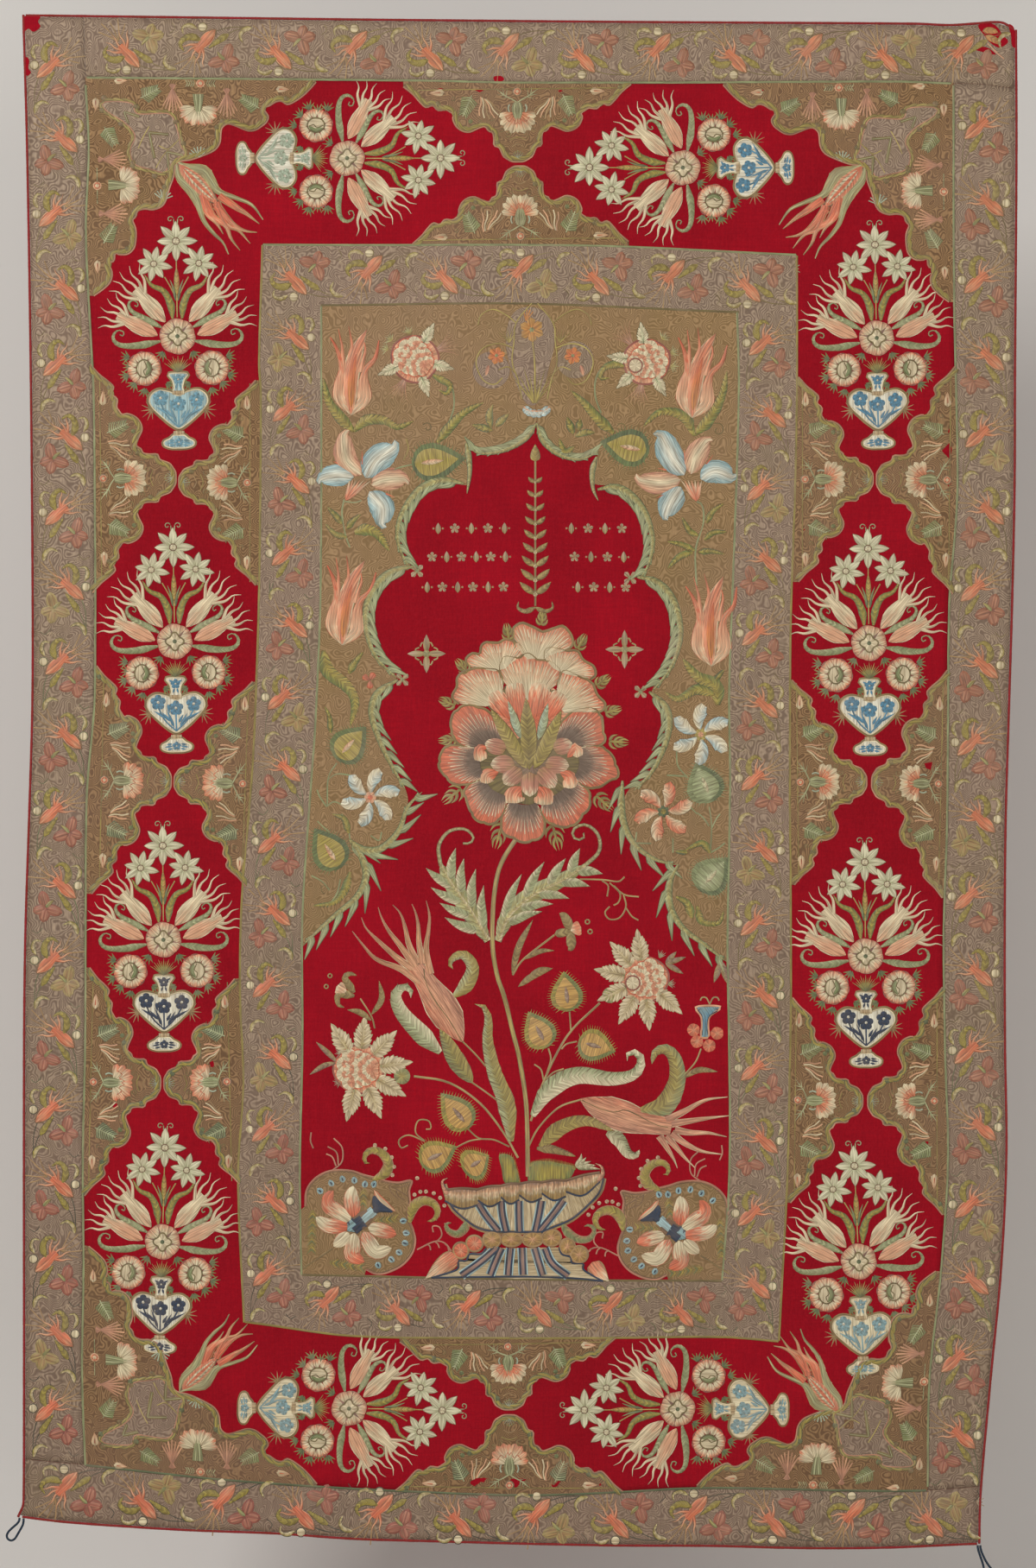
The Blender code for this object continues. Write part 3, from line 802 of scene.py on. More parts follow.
class CutPanel:
    """A cut piece of cloth between two side lines and two cross lines."""

    def __init__(self, left, right, top, bottom):
        half = JOIN_GAP / 2.0
        seam = {"seam_left": half, "seam_right": -half, "seam_top": -half, "seam_bottom": half}
        self.lines = [(EDGES[name], side * abs(seam.get(name, 0.0))) for name, side in (
            (left, 1), (right, -1), (top, -1), (bottom, 1))]

    def place(self, across, down):
        """Flat point at these shares of the way across and down the piece."""
        (left, to_left), (right, to_right), (top, to_top), (bottom, to_bottom) = self.lines
        x = z = np.zeros(np.broadcast(across, down).shape)
        for _ in range(6):
            low, high = left(z) + to_left, right(z) + to_right
            x = low + (high - low) * across
            upper, lower = top(x) + to_top, bottom(x) + to_bottom
            z = upper + (lower - upper) * down
        return x + 1j * z


PANELS = {
    "middle_panel": (CutPanel("seam_left", "seam_right", "seam_top", "seam_bottom"), 108, 176),
    "border_left": (CutPanel("left_edge", "seam_left", "top_edge", "seam_bottom"), 8, 180),
    "border_right": (CutPanel("seam_right", "right_edge", "seam_top", "seam_bottom"), 8, 176),
    "border_top": (CutPanel("seam_left", "right_edge", "top_edge", "seam_top"), 112, 8),
    "border_bottom": (CutPanel("left_edge", "right_edge", "seam_bottom", "bottom_edge"), 120, 8),
}


def cloth_sheet(name):
    """One cut piece of cloth: a grid laid on the hung surface and thickened."""
    panel, columns, rows = PANELS[name]
    bpy.ops.object.select_all(action="DESELECT")
    bpy.ops.mesh.primitive_grid_add(x_subdivisions=columns, y_subdivisions=rows, size=1.0)
    piece = bpy.context.object
    piece.name = piece.data.name = name + "_cloth"
    mesh = piece.data
    co = np.zeros(len(mesh.vertices) * 3)
    mesh.vertices.foreach_get("co", co)
    co = co.reshape(-1, 3)
    across, down = co[:, 0] + 0.5, 0.5 - co[:, 1]
    flat = panel.place(across, down)
    mesh.vertices.foreach_set("co", on_cloth(flat).ravel())
    while mesh.uv_layers:
        mesh.uv_layers.remove(mesh.uv_layers[0])
    mesh.shade_smooth()
    wall = piece.modifiers.new("cloth", "SOLIDIFY")
    wall.thickness = cloth_sizes()["thickness"] * MM
    wall.offset = 0.0
    apply_modifiers(piece)
    fronts = [finish_of("wool")] if name == "middle_panel" else [finish_of("mauve"), finish_of("wool")]
    adopt(piece, fronts)
    normals = np.zeros(len(mesh.polygons) * 3)
    mesh.polygons.foreach_get("normal", normals)
    behind = normals.reshape(-1, 3)[:, 1] > -0.5
    if len(fronts) > 1:
        mesh.polygons.foreach_set("material_index", behind.astype(np.int32))
    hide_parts(name)
    sides = [np.abs(np.diff(panel.place(np.full(60, share), np.linspace(0, 1, 60)))).sum()
             for share in (0, 1)]
    crosses = [np.abs(np.diff(panel.place(np.linspace(0, 1, 60), np.full(60, share)))).sum()
               for share in (0, 1)]
    return piece


def outward(points, distance):
    """The points moved sideways, to the left of their direction of travel."""
    heading = np.gradient(points)
    return points + 1j * heading / np.abs(heading) * distance


def tube(name, centre, radius, sides):
    """A closed round tube through points in metres, with a UV map round and along it."""
    ahead = np.gradient(centre, axis=0)
    ahead /= np.linalg.norm(ahead, axis=1)[:, None]
    front = np.array([0.0, -1.0, 0.0])
    aside = np.cross(ahead, front)
    aside /= np.linalg.norm(aside, axis=1)[:, None]
    up = np.cross(aside, ahead)
    angle = np.linspace(0.0, 2.0 * np.pi, sides, endpoint=False)
    around = (np.cos(angle)[None, :, None] * aside[:, None] + np.sin(angle)[None, :, None] * up[:, None])
    rows = len(centre)
    verts = (centre[:, None] + np.asarray(radius).reshape(-1, 1, 1) * around).reshape(-1, 3)
    index = np.arange(rows * sides).reshape(rows, sides)
    after = np.roll(index, -1, axis=1)
    faces = np.stack([index[:-1], after[:-1], after[1:], index[1:]], axis=-1).reshape(-1, 4).tolist()
    faces += [list(index[0][::-1]), list(index[-1])]
    mesh = bpy.data.meshes.new(name)
    mesh.from_pydata(verts.tolist(), [], faces)
    run = np.r_[0.0, np.cumsum(np.linalg.norm(np.diff(centre, axis=0), axis=1))] / MM
    lay = np.stack(np.broadcast_arrays(angle[None, :] / (2.0 * np.pi), run[:, None]), axis=-1)
    map_uv(mesh, "stitches", lay.reshape(-1, 2))
    shell = bmesh.new()
    shell.from_mesh(mesh)
    bmesh.ops.recalc_face_normals(shell, faces=shell.faces)
    shell.to_mesh(mesh)
    shell.free()
    mesh.shade_smooth()
    return linked(name, mesh)


def bound_edge(name, edge):
    """The binding along one edge: a narrow folded tape whose overcast stitches pinch it."""
    width = cloth_sizes()["binding_width"]
    route = outward(edge, JOIN_GAP + width / 2.0)
    held = on_cloth(edge)
    centre = np.stack([route.real * MM, held[:, 1], route.imag * MM], axis=-1)
    along = np.arange(len(route))
    pinch = 1.0 - 0.07 * (along % 2) + 0.05 * np.sin(along * 0.61) * np.sin(along * 0.173)
    piece = tube(name + "_tape", centre, width / 2.0 * MM * pinch, 8)
    adopt(piece, [finish_of("binding")])
    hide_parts(name)
    return piece


def loop_route(route, rows=64):
    """Even points in metres along a corner loop."""
    points = smooth_path([complex(*pair) for pair in route], rows)
    hang = -float(rise_at(np.array(route[0][0]), np.array(route[0][1]), False)) * MM
    return np.stack([points.real * MM, np.full(rows, hang), points.imag * MM], axis=-1)


def corner_loop(name, route):
    """A loop of twisted cord sewn to a lower corner."""
    width = cloth_sizes()["loop_cord"]
    path = loop_route(route)
    piece = tube(name + "_cord", path, width / 2.0 * MM, 12)
    adopt(piece, [finish_of("cord")])
    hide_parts(name)
    return piece


def ground_patch(name, outline, finish, lift=0.0, cell=30.0, keep=None):
    """A flat field of couching inside a closed outline, or the part of it between two heights."""
    outline = np.asarray(outline, complex)
    sizes = cloth_sizes()
    shell = bmesh.new()
    face = shell.faces.new([shell.verts.new((p.real, p.imag, 0.0)) for p in outline])
    shell.normal_update()
    if face.normal.z < 0:
        bmesh.ops.reverse_faces(shell, faces=[face])
    for height, up in zip(keep or (), (-1.0, 1.0)):
        bmesh.ops.bisect_plane(shell, geom=shell.verts[:] + shell.edges[:] + shell.faces[:], clear_outer=True,
                               plane_co=(0.0, height, 0.0), plane_no=(0.0, up, 0.0), dist=1e-4)
    for axis, low, high in ((0, outline.real.min(), outline.real.max()),
                            (1, outline.imag.min(), outline.imag.max())):
        for cut in np.arange(math.floor(low / cell) + 1, math.ceil(high / cell)) * cell:
            where, normal = [0.0, 0.0, 0.0], [0.0, 0.0, 0.0]
            where[axis], normal[axis] = float(cut), 1.0
            bmesh.ops.bisect_plane(shell, geom=shell.verts[:] + shell.edges[:] + shell.faces[:],
                                   plane_co=where, plane_no=normal, dist=1e-4)
    bmesh.ops.triangulate(shell, faces=[f for f in shell.faces if len(f.verts) > 4])
    rim = [e for e in shell.edges if e.is_boundary]
    walls = bmesh.ops.extrude_edge_only(shell, edges=rim)["geom"]
    low = {v for v in walls if isinstance(v, bmesh.types.BMVert)}
    flat = np.array([complex(v.co.x, v.co.y) for v in shell.verts])
    raised = sizes["thickness"] / 2.0 + sizes["ground_relief"] + lift
    heights = np.array([sizes["thickness"] / 2.0 - 0.3 if v in low else raised for v in shell.verts])
    for vertex, co in zip(shell.verts, on_cloth(flat, heights)):
        vertex.co = co
    bmesh.ops.recalc_face_normals(shell, faces=shell.faces)
    shell.normal_update()
    if sum(f.normal.y * f.calc_area() for f in shell.faces) > 0:
        bmesh.ops.reverse_faces(shell, faces=shell.faces)
    mesh = bpy.data.meshes.new(name)
    shell.to_mesh(mesh)
    shell.free()
    return adopt(linked(name, mesh), [finish_of(finish)])


def tulip(work, base, mouth, width, spread, fingers, stops, reach=0.5, wave=0.06, lift=0.3, rows=12):
    """A long-fingered tulip: a padded body from base to mouth, then fingers that fan out."""
    base, mouth = complex(base), complex(mouth)
    ahead = mouth - base
    long = abs(ahead)
    body, finger, vein = stops
    for k in range(fingers):
        turn = (k / (fingers - 1) - 0.5) * spread if fingers > 1 else 0.0
        way = ahead / long * np.exp(1j * math.radians(turn))
        side = 1j * way * (1 if turn > 0 else -1)
        tip = long * reach * (1.0 - 0.12 * abs(turn) / max(spread, 1.0))
        start = mouth - 0.22 * ahead + 0.5 * width * 1j * (ahead / long) * (turn / max(spread, 1.0)) * 2
        points = [start, start + way * tip * 0.5 + side * tip * wave,
                  start + way * tip * 0.85 - side * tip * wave, start + way * tip * 1.15]
        work.blade(points, width * 0.25 + 0.5, "spike", (vein,), lift, 11, 3, relief=0.6)
        work.blade(points, width * 0.25, "spike", finger, lift + 0.15, 11, 3)
    way = [base, base + 0.5 * ahead, mouth]
    work.blade(way, width + 1.0, "gourd", (finger[-1],), lift + 0.1, rows, 3, relief=0.8)
    work.blade(way, width, "gourd", body, lift + 0.3, rows, 5, "along", "outward")
    for side in (-0.4, 0.0, 0.4):
        shift = 1j * ahead / long * width * side
        work.line([base + 0.12 * ahead + 0.4 * shift, base + 0.4 * ahead + shift,
                   base + 0.62 * ahead + 0.8 * shift, mouth - 0.12 * ahead + 0.9 * shift], 0.9, vein,
                  lift + 0.95, 8)


def star_flower(work, centre, radius, turn=90.0, lift=0.3, petals=8):
    """Eight pointed petals round a small ringed eye."""
    for k in range(petals):
        way = np.exp(1j * math.radians(turn + 360.0 * k / petals))
        size = radius * (1.0 + 0.07 * math.sin(2.3 * k))
        work.blade([centre + 0.1 * radius * way, centre + size * way], 0.19 * radius + 0.6, "leaf",
                   ("brown",), lift - 0.1 + 0.05 * (k % 2), 8, 3, relief=0.6)
        work.blade([centre + 0.1 * radius * way, centre + size * 0.97 * way], 0.19 * radius, "leaf",
                   ("pale_sage", "star", "star", "star"), lift + 0.1 + 0.05 * (k % 2), 8, 5, "along", "along")
    work.ring(centre, 0.0, 0.17 * radius, ("ivory", "star"), lift + 0.6, rows=3, columns=13)
    work.ring(centre, 0.15 * radius, 0.2 * radius, ("brown",), lift + 0.8, rows=3, columns=13, relief=0.4)


def tuft(work, origin, turn, length=9.0, spikes=6, spread=150.0, stops=("olive", "straw"), lift=0.2,
         wide=1.25):
    """A little brush of spikes."""
    for k in range(spikes):
        angle = turn + (k / (spikes - 1) - 0.5) * spread
        way = np.exp(1j * math.radians(angle))
        work.blade([origin, origin + length * (1.0 - 0.15 * ((k + 1) % 2)) * way], wide, "spike", stops, lift,
                   5, 3)


def small_flower(work, centre, radius, petals, stops, eye, lift=0.6, turn=90.0):
    """A little flower of round petals."""
    for k in range(petals):
        way = np.exp(1j * math.radians(turn + 360.0 * k / petals))
        work.blade([centre, centre + radius * way], 0.34 * radius, "petal", stops, lift, 5, 3)
    work.ring(centre, 0.0, 0.26 * radius, (eye,), lift + 0.5, rows=2, columns=9)


def curl(origin, turn, radius, turns=1.1, hand=1.0, points=9):
    """Points of a closing spiral that starts at origin heading along turn."""
    heading = np.exp(1j * math.radians(turn))
    centre = origin + 1j * hand * heading * radius
    angle = np.linspace(0.0, 360.0 * turns, points)
    shrink = 1.0 - 0.72 * angle / angle[-1]
    return list(centre + (origin - centre) * shrink * np.exp(1j * hand * np.radians(angle)))


def double_rose(work, centre, radius, lift=0.5):
    """The bouquet's middle flower: broad lobes round a dark wavy ring and an eye."""
    work.ring(centre, 0.0, radius, ("brown", "dusk", "dusk_rose"), lift, 6, 0.08, 12.0, 4, 61, relief=0.6)
    for k in range(6):
        way = np.exp(1j * math.radians(18.0 + 60.0 * k))
        work.blade([centre + 0.3 * radius * way, centre + 0.97 * radius * way], 0.42 * radius, "petal",
                   ("cream", "ivory", "ivory", "peach", "dusk_rose"), lift + 0.35 + 0.04 * (k % 2), 8, 5)
    wavy = [centre + 0.5 * radius * (0.86 + 0.16 * math.cos(4 * a)) * np.exp(1j * a)
            for a in np.linspace(0, 2 * np.pi, 28, endpoint=False)]
    work.filled(wavy, centre, ("cream", "ivory"), lift + 1.3, 4, 30, relief=0.4)
    work.line(wavy, 2.0, "olive_brown", lift + 1.9, 57, closed=True, relief=0.5)
    work.ring(centre, 0.0, 0.12 * radius, ("dark_sage",), lift + 2.0, rows=3, columns=11, relief=0.5)


def split_rose(work, centre, radius, side, lift=0.5):
    """The bouquet's lower flowers: pale lobes with coral rims round a ringed oval, half of it green."""
    work.ring(centre, 0.0, radius, ("brown", "trefoil_edge", "trefoil_edge"), lift, 10, 0.07, 10.0, 4, 61,
              relief=0.6)
    for k in range(10):
        way = np.exp(1j * math.radians(10.0 + 36.0 * k))
        work.blade([centre + 0.36 * radius * way, centre + 0.96 * radius * way], 0.27 * radius, "petal",
                   ("ivory", "cream", "cream", "peach", "coral"), lift + 0.35 + 0.04 * (k % 2), 8, 5)
    oval = [centre + radius * (0.42 * math.cos(a) + 0.5j * math.sin(a)) for a in
            np.linspace(0, 2 * np.pi, 14, endpoint=False)]
    work.filled(oval, centre, ("ivory", "cream", "ivory"), lift + 1.3, 4, 24, "up", 0.4)
    work.blade([centre + radius * (-0.16 * side + 0.4j), centre + radius * (-0.3 * side - 0.02j),
                centre + radius * (-0.08 * side - 0.42j)], 0.13 * radius, "broad", ("sage", "moss"),
               lift + 1.7, 9, 5, relief=0.5)
    work.line([centre + radius * (-0.02 * side + 0.42j), centre + radius * (-0.16 * side + 0.06j),
               centre + radius * (0.02 * side - 0.12j), centre + radius * (-0.06 * side - 0.4j)], 1.5,
              "olive_brown", lift + 2.0, 11, relief=0.5)
    work.line(oval, 1.9, "olive_brown", lift + 1.9, 29, closed=True, relief=0.5)


# Silks of the vases: field, flowers and rim.
VASE_SILKS = {"sky": ("pale_blue", "soft_blue", "cream"), "blue": ("white", "blue", "cream"),
              "navy": ("white", "navy", "cream"), "faint": ("cream", "water_blue", "ivory"),
              "sage": ("white", "pale_blue_sage", "cream")}
VASE = ((0, -89), (13, -83), (30, -80), (42, -87), (45, -98), (40, -108), (30, -118), (18, -129), (6, -138),
        (0, -140))


def blue_sprig(work, centre, size, silk, lift):
    """A flower of five round spots about a pale eye."""
    for k in range(5):
        way = np.exp(1j * math.radians(90 + 72 * k))
        work.ring(centre + 0.55 * size * way, 0.0, 0.42 * size, (silk,), lift, rows=2, columns=11)
    work.ring(centre, 0.0, 0.18 * size, ("white",), lift + 0.5, rows=2, columns=9)


def vase(work, kind, lift=0.4):
    """The bouquet's heart-shaped vase, with three flowers on its field, its neck and its foot."""
    field, silk, rim = VASE_SILKS[kind]
    for side in (-1, 1):
        root = complex(side * 40, -110)
        for turn, long in ((-6, 17), (24, 17), (52, 15), (-38, 19), (-66, 18), (-92, 15)):
            way = np.exp(1j * math.radians(turn if side > 0 else 180 - turn))
            work.blade([root - 4 * way, root + long * way], 2.2, "spike", ("brown_khaki", "tan_rose"),
                       lift - 0.3, 6, 3)
    heart = [complex(u, v) for u, v in VASE] + [complex(-u, v) for u, v in VASE[-2:0:-1]]
    neck = [complex(u, v) for u, v in ((-8, -86), (-6.5, -77), (-9, -66), (-14, -56), (14, -56), (9, -66),
                                       (6.5, -77), (8, -86))]
    foot = [complex(u, v) for u, v in ((0, -149), (8, -149), (14, -154), (23, -159), (22, -165), (12, -168.5),
                                       (0, -169), (-12, -168.5), (-22, -165), (-23, -159), (-14, -154),
                                       (-8, -149))]
    for outline, middle, rows in ((heart, -108j, 73), (neck, -70j, 41), (foot, -160j, 41)):
        work.line(outline, 7.0, "brown_khaki", lift - 0.25, rows, closed=True)
        work.filled(outline, middle, (field,), lift + 0.1, 6, rows - 1, "up", 0.3, 0.9)
        work.line([middle + (p - middle) * 0.97 for p in outline], 2.0, rim, lift + 0.6, rows, closed=True,
                  relief=0.5)
    for height, half in ((-85j, 9), (-146j, 8)):
        work.blade([-half + height, half + height], 3.2, "cord", ("ivory", "tan_rose", "ivory"), lift + 0.6,
                   5, 5, "across")
    for u, v, size in ((-27, -93, 12.5), (0, -102, 12.0), (27, -96, 12.0)):
        work.line([complex(0, -137), complex(u * 0.62, -121), complex(u, v - 8)], 2.2, silk, lift + 0.85, 8)
        blue_sprig(work, complex(u, v), size, silk, lift + 0.95)
    for a, b in (((-3, -132), (-14, -104)), ((6, -130), (17, -110)), ((-9, -122), (-22, -108)),
                 ((10, -124), (22, -113)), ((-14, -118), (-34, -106)), ((15, -120), (37, -108)),
                 ((4, -124), (11, -112)), ((-12, -96), (-10, -110))):
        work.blade([complex(*a), complex(*b)], 2.2, "drop", (silk,), lift + 0.9, 6, 3)
    for side in (-1, 1):
        for a, b in (((6, -160), (18, -162)), ((7, -157), (15, -158)), ((6, -164), (14, -165.5)),
                     ((3, -63), (10, -59)), ((2, -72), (4, -79))):
            work.blade([complex(side * a[0], a[1]), complex(side * b[0], b[1])], 1.5, "leaf", (silk,),
                       lift + 0.9, 5, 3)
    blue_sprig(work, -160j, 7.0, silk, lift + 0.95)
    blue_sprig(work, -65j, 8.0, silk, lift + 0.95)


def bouquet(work, kind, lift=0.25):
    """A vase of roses, tulips and star flowers, upright round its middle rose."""
    for side in (-1, 1):
        def s(*points):
            return [complex(u * side, v) for u, v in points]

        work.line(s((0, 54), (9, 74), (18, 90)), 1.8, "straw", lift, 7)
        work.blade(s((2, 54), (5, 72), (10, 86)), 2.6, "horn", ("dark_sage", "sage"), lift, 9, 5)
        outlined(work, s((7, 27), (10, 50), (20, 69), (38, 78), (48, 94)), 6.2, "horn",
                 ("moss", "yellow_olive", "yellow_olive", "moss"), lift, "dark_sage", 1.2, 16)
        outlined(work, s((24, 14), (46, 26), (66, 37), (73, 47), (70, 55), (62, 55)), 5.4, "horn",
                 ("sage", "pale_sage", "sage"), lift + 0.2, "olive_brown", 0.8, 16)
        work.line(s((64, 55), (59, 51), (60, 46), (64, 48)), 1.7, "sage", lift + 0.2, 9)
        outlined(work, s((26, -7), (60, -13), (86, -12), (97, -3), (94, 8), (86, 11)), 6.4, "horn",
                 ("pale_sage", "sage", "sage"), lift, "olive_brown", 0.8, 18)
        work.line(s((88, 11), (81, 8), (82, 2), (87, 4)), 1.8, "sage", lift + 0.2, 9)
        tulip(work, *s((18, 22), (62, 72)), 11.5, 66, 5,
              (("peach", "ivory", "ivory"), ("ivory", "cream"), "dusk_rose"), 0.66, 0.06, lift + 0.3)
        tulip(work, *s((30, 2), (90, 33)), 11.5, 74, 5,
              (("peach", "peach", "ivory"), ("ivory", "cream"), "dusk_rose"), 0.56, 0.06, lift + 0.3)
        for u, v, turn in ((79, -31, 10), (81, -58, -20), (55, -79, -75), (22, -71, -150), (27, -24, -60),
                           (70, -70, -50), (76, -45, -5)):
            tuft(work, complex(side * (u - 5), v), turn if side > 0 else 180 - turn, 14.5, 5, 112.0,
                 ("dark_sage", "moss", "olive"), lift - 0.05, 2.6)
        star_flower(work, complex(side * 34, 110), 27.5, 78.0, lift + 0.4)
        split_rose(work, complex(side * 51, -48), 26.5, side, lift + 0.3)
        work.line([side * 2 + 166j, side * 3 + 178j] + curl(side * 3 + 178j, 90 - side * 10, 5.2, 0.95,
                                                            -side), 1.5, "pale_sage", lift + 0.2, 16)
    work.line([29j, 116j], 1.6, "straw", lift + 0.1, 9)
    outlined(work, [62j, 84j, 106j], 3.4, "leaf", ("orange", "straw", "yellow_olive"), lift + 0.2,
             "olive_brown", 0.7, 11)
    star_flower(work, 144j, 31.0, 90.0, lift + 0.4)
    for k in range(13):
        angle = 34.0 + 112.0 * k / 12
        way = np.exp(1j * math.radians(angle))
        work.blade([-54j, -54j + way * (21 if k % 2 else 25)], 1.9, "spike", ("dark_sage", "olive", "straw"),
                   lift + 0.1 + 0.02 * k, 6, 3)
    vase(work, kind, lift + 0.1)
    double_rose(work, 0j, 27.5, lift + 0.4)


BOUQUETS = (
    # middle flower in layout points, turn from upright in degrees, size, vase
    (206, 390, 1.0, 1.0, "sky"), (203, 743, 1.0, 0.985, "blue"), (190, 1088, 0.5, 0.985, "navy"),
    (189, 1437, -1.5, 0.985, "navy"), (1015, 392, 1.0, 0.98, "blue"), (1006, 745, 0.6, 0.99, "blue"),
    (1002, 1107, 0.5, 0.985, "navy"), (994, 1460, 2.5, 1.0, "faint"), (402, 183, -90.0, 0.98, "sage"),
    (791, 194, 90.0, 0.98, "blue"), (404, 1632, -91.0, 0.98, "faint"), (785, 1632, 90.0, 0.98, "faint"),
)


def crown_tulip(work, base, mouth, hand):
    """The big tulip that points inwards at each corner, with wandering fingers."""
    base, mouth = complex(base), complex(mouth)
    ahead = mouth - base
    fine = abs(ahead) / 411.0

    def at(*points):
        """Points of a drawing in which the tulip runs 310 steps to the right and 270 down."""
        turned = [complex(x, -y) / complex(310, -270) for x, y in points]
        return [base + ahead * complex(q.real, q.imag * hand) for q in turned]

    for points in (((0, 0), (25, 110), (110, 190), (165, 290), (200, 400), (270, 490), (345, 560),
                    (385, 640)), ((0, 0), (80, 35), (190, 60), (240, 120), (300, 200), (430, 245), (540, 290),
                                  (620, 390))):
        outlined(work, at(*points), 46 * fine, "sheath", ("khaki", "pale_sage", "khaki"), 0.2, "ivory", 1.1,
                 24, "along")
    for points, width in ((((190, 230), (225, 350), (300, 430), (345, 500)), 30),
                          (((200, 250), (270, 380), (360, 440), (400, 530), (465, 610)), 30),
                          (((290, 280), (360, 430), (450, 470), (535, 560)), 26),
                          (((290, 300), (400, 420), (490, 470), (580, 480)), 28),
                          (((310, 230), (430, 310), (500, 350), (595, 420)), 30)):
        outlined(work, at(*points), width * fine, "spike", ("coral", "coral", "peach", "khaki"), 0.45,
                 "khaki", 1.0, 16, "along", "along")
    work.blade(at((12, 12), (140, 140), (310, 300)), 66 * fine, "leaf", ("brown",), 0.7, 14, 3, relief=0.6)
    work.blade(at((22, 20), (140, 140), (300, 290)), 58 * fine, "leaf", ("coral", "coral", "peach"), 0.85, 14,
               5, "slant", "aside")
    work.blade(at((50, 45), (150, 140), (290, 275)), 40 * fine, "leaf", ("cream", "ivory"), 1.1, 12, 5,
               "slant", "aside", 11, 0.55, vein=True)


CROWN_TULIPS = (((204, 187), (254, 233), 1), ((1002, 189), (953, 237), -1), ((209, 1610), (254, 1573), -1),
                ((973, 1637), (932, 1593), 1))


def comma_leaf(work, points, width, stops, outline="dark_sage", lift=0.3, grain="slant", ribs=0):
    """A leaf that hooks over at its tip, over its darker outline."""
    points = [complex(p) for p in points]
    work.blade(points, width + 1.0, "horn", (outline,), lift - 0.12, 12, 3, relief=0.6)
    work.blade(points, width, "horn", stops, lift + 0.1, 12, 5, grain, "sides")
    for k in range(ribs):
        share = (k + 1.0) / (ribs + 1.0)
        path = smooth_path(points, 21)
        here, ahead = path[int(20 * share)], path[min(int(20 * share) + 1, 20)] - path[int(20 * share)]
        ahead /= abs(ahead)
        work.line([here - 0.6 * width * 1j * ahead, here + 0.5 * width * (1j + 0.5) * ahead], 0.9, outline,
                  lift + 0.6, 3)


def border_unit(work, vivid, trefoil_faded):
    """One spray of the borders: a leaning tulip, hooked leaves, a bead, a trefoil and their stem."""
    rim = ("olive_brown", "dark_sage", "ink_green")[min(2, int(vivid * 3))]
    leaf = ("olive", "yellow_olive")
    work.line([32 - 72j, 33 - 58j, 32 - 35j, 26 - 15j], 1.3, rim, 0.15, 16)
    work.line([32 - 60j, 27 - 44j, 20 - 31j], 1.3, rim, 0.15, 12)
    comma_leaf(work, [22 - 36j, 13 - 22j, 1 - 6j], 5.6, leaf, rim, ribs=3)
    comma_leaf(work, [13 + 6j, 18 + 18j, 16 + 30j, 7 + 37j, -4 + 31j], 6.0, leaf, rim, ribs=3)
    comma_leaf(work, [32 - 72j, 29 - 60j, 20 - 54j, 9 - 58j], 4.2, ("yellow_olive", "ivory"), rim, ribs=3)
    comma_leaf(work, [31 + 12j, 36 + 23j, 32 + 33j, 22 + 32j], 3.6, ("yellow_olive", "ivory"), rim, ribs=2)
    work.line([-22 - 62j, -30 - 70j, -38 - 66j], 1.0, rim, 0.15, 9)
    for k in range(5):
        way = np.exp(1j * math.radians(118 + 22 * k))
        work.line([-10 + 16j, -10 + 16j + way * 16, -10 + 19j + way * (30 + 5 * (k % 2))], 1.7, "tan_rose",
                  0.1, 9)
        way = np.exp(1j * math.radians(-150 + 28 * k))
        work.line([-20 - 66j, -20 - 66j + way * (9 + 3 * (k % 2))], 1.2, "mauve_light", 0.1, 4)
    work.blade([30 - 17j, 12 + 0j, -6 + 15j], 9.0, "bell", ("brown",), 0.2, 10, 3, relief=0.6)
    tulip(work, 29 - 16j, -4 + 13j, 8.0, 92, 5, (("peach", "coral", "coral"), ("coral", "peach", "peach"),
                                                 "deep_coral"), 0.6, 0.05, 0.4, 9)
    bead = [33 + 3j + 6.2 * np.exp(1j * a) for a in np.linspace(0, 2 * np.pi, 9, endpoint=False)]
    work.ring(33 + 3j, 0.0, 7.4, (rim,), 0.2, rows=3, columns=17, relief=0.6)
    work.filled(bead, 33 + 3j, ("cream", "ivory"), 0.5, 4, 18, "up", 0.9)
    edge, heart = ("khaki", "tan_rose") if trefoil_faded else ("trefoil_edge", "trefoil_rose")
    root = -17 - 31j
    for k, (turn, long, wide) in enumerate(((104, 27, 9.0), (196, 21, 8.2), (258, 23, 8.8), (342, 27, 8.8))):
        way = np.exp(1j * math.radians(turn))
        work.blade([root, root + long * way], wide, "broad", (edge,), 0.15 + 0.04 * k, 9, 5, relief=0.8)
        work.blade([root + 2.5 * way, root + (long - 2.5) * way], wide - 2.0, "broad",
                   (heart, heart, "khaki" if trefoil_faded else "dusk_rose"), 0.4 + 0.04 * k, 8, 5, vein=True)
    work.blade([root, -11 - 24j, -4 - 19j], 3.2, "drop", ("sage", "straw"), 0.7, 7, 5)


def carnation(work, place, width, depth, stops, lift):
    """A fringed fan of petals, to stand above a striped cup."""
    work.on(place)
    for k in range(9):
        turn = -78 + 156 * k / 8
        way = np.exp(1j * math.radians(90 + turn))
        reach = complex(way.real * width, way.imag * depth)
        reach *= 1.0 + 0.16 * math.sin(math.radians(2 * abs(turn)))
        work.blade([0.18 * reach, reach], 0.2 * width, "petal", stops, lift + 0.03 * (k % 2), 8, 5)


BRACKET = ((0, 125), (9, 124.5), (16, 120.5), (22, 116), (27, 104), (30, 101), (36, 99), (36, 88), (38, 78),
           (44, 76), (49, 69), (57, 70.5), (65, 74), (72, 77), (80, 76.5), (88, 72.5), (94, 66), (98, 55),
           (96, 49), (103, 44), (108, 41), (120, 42), (128, 34), (138, 37), (147, 29), (157, 17), (172, 4))


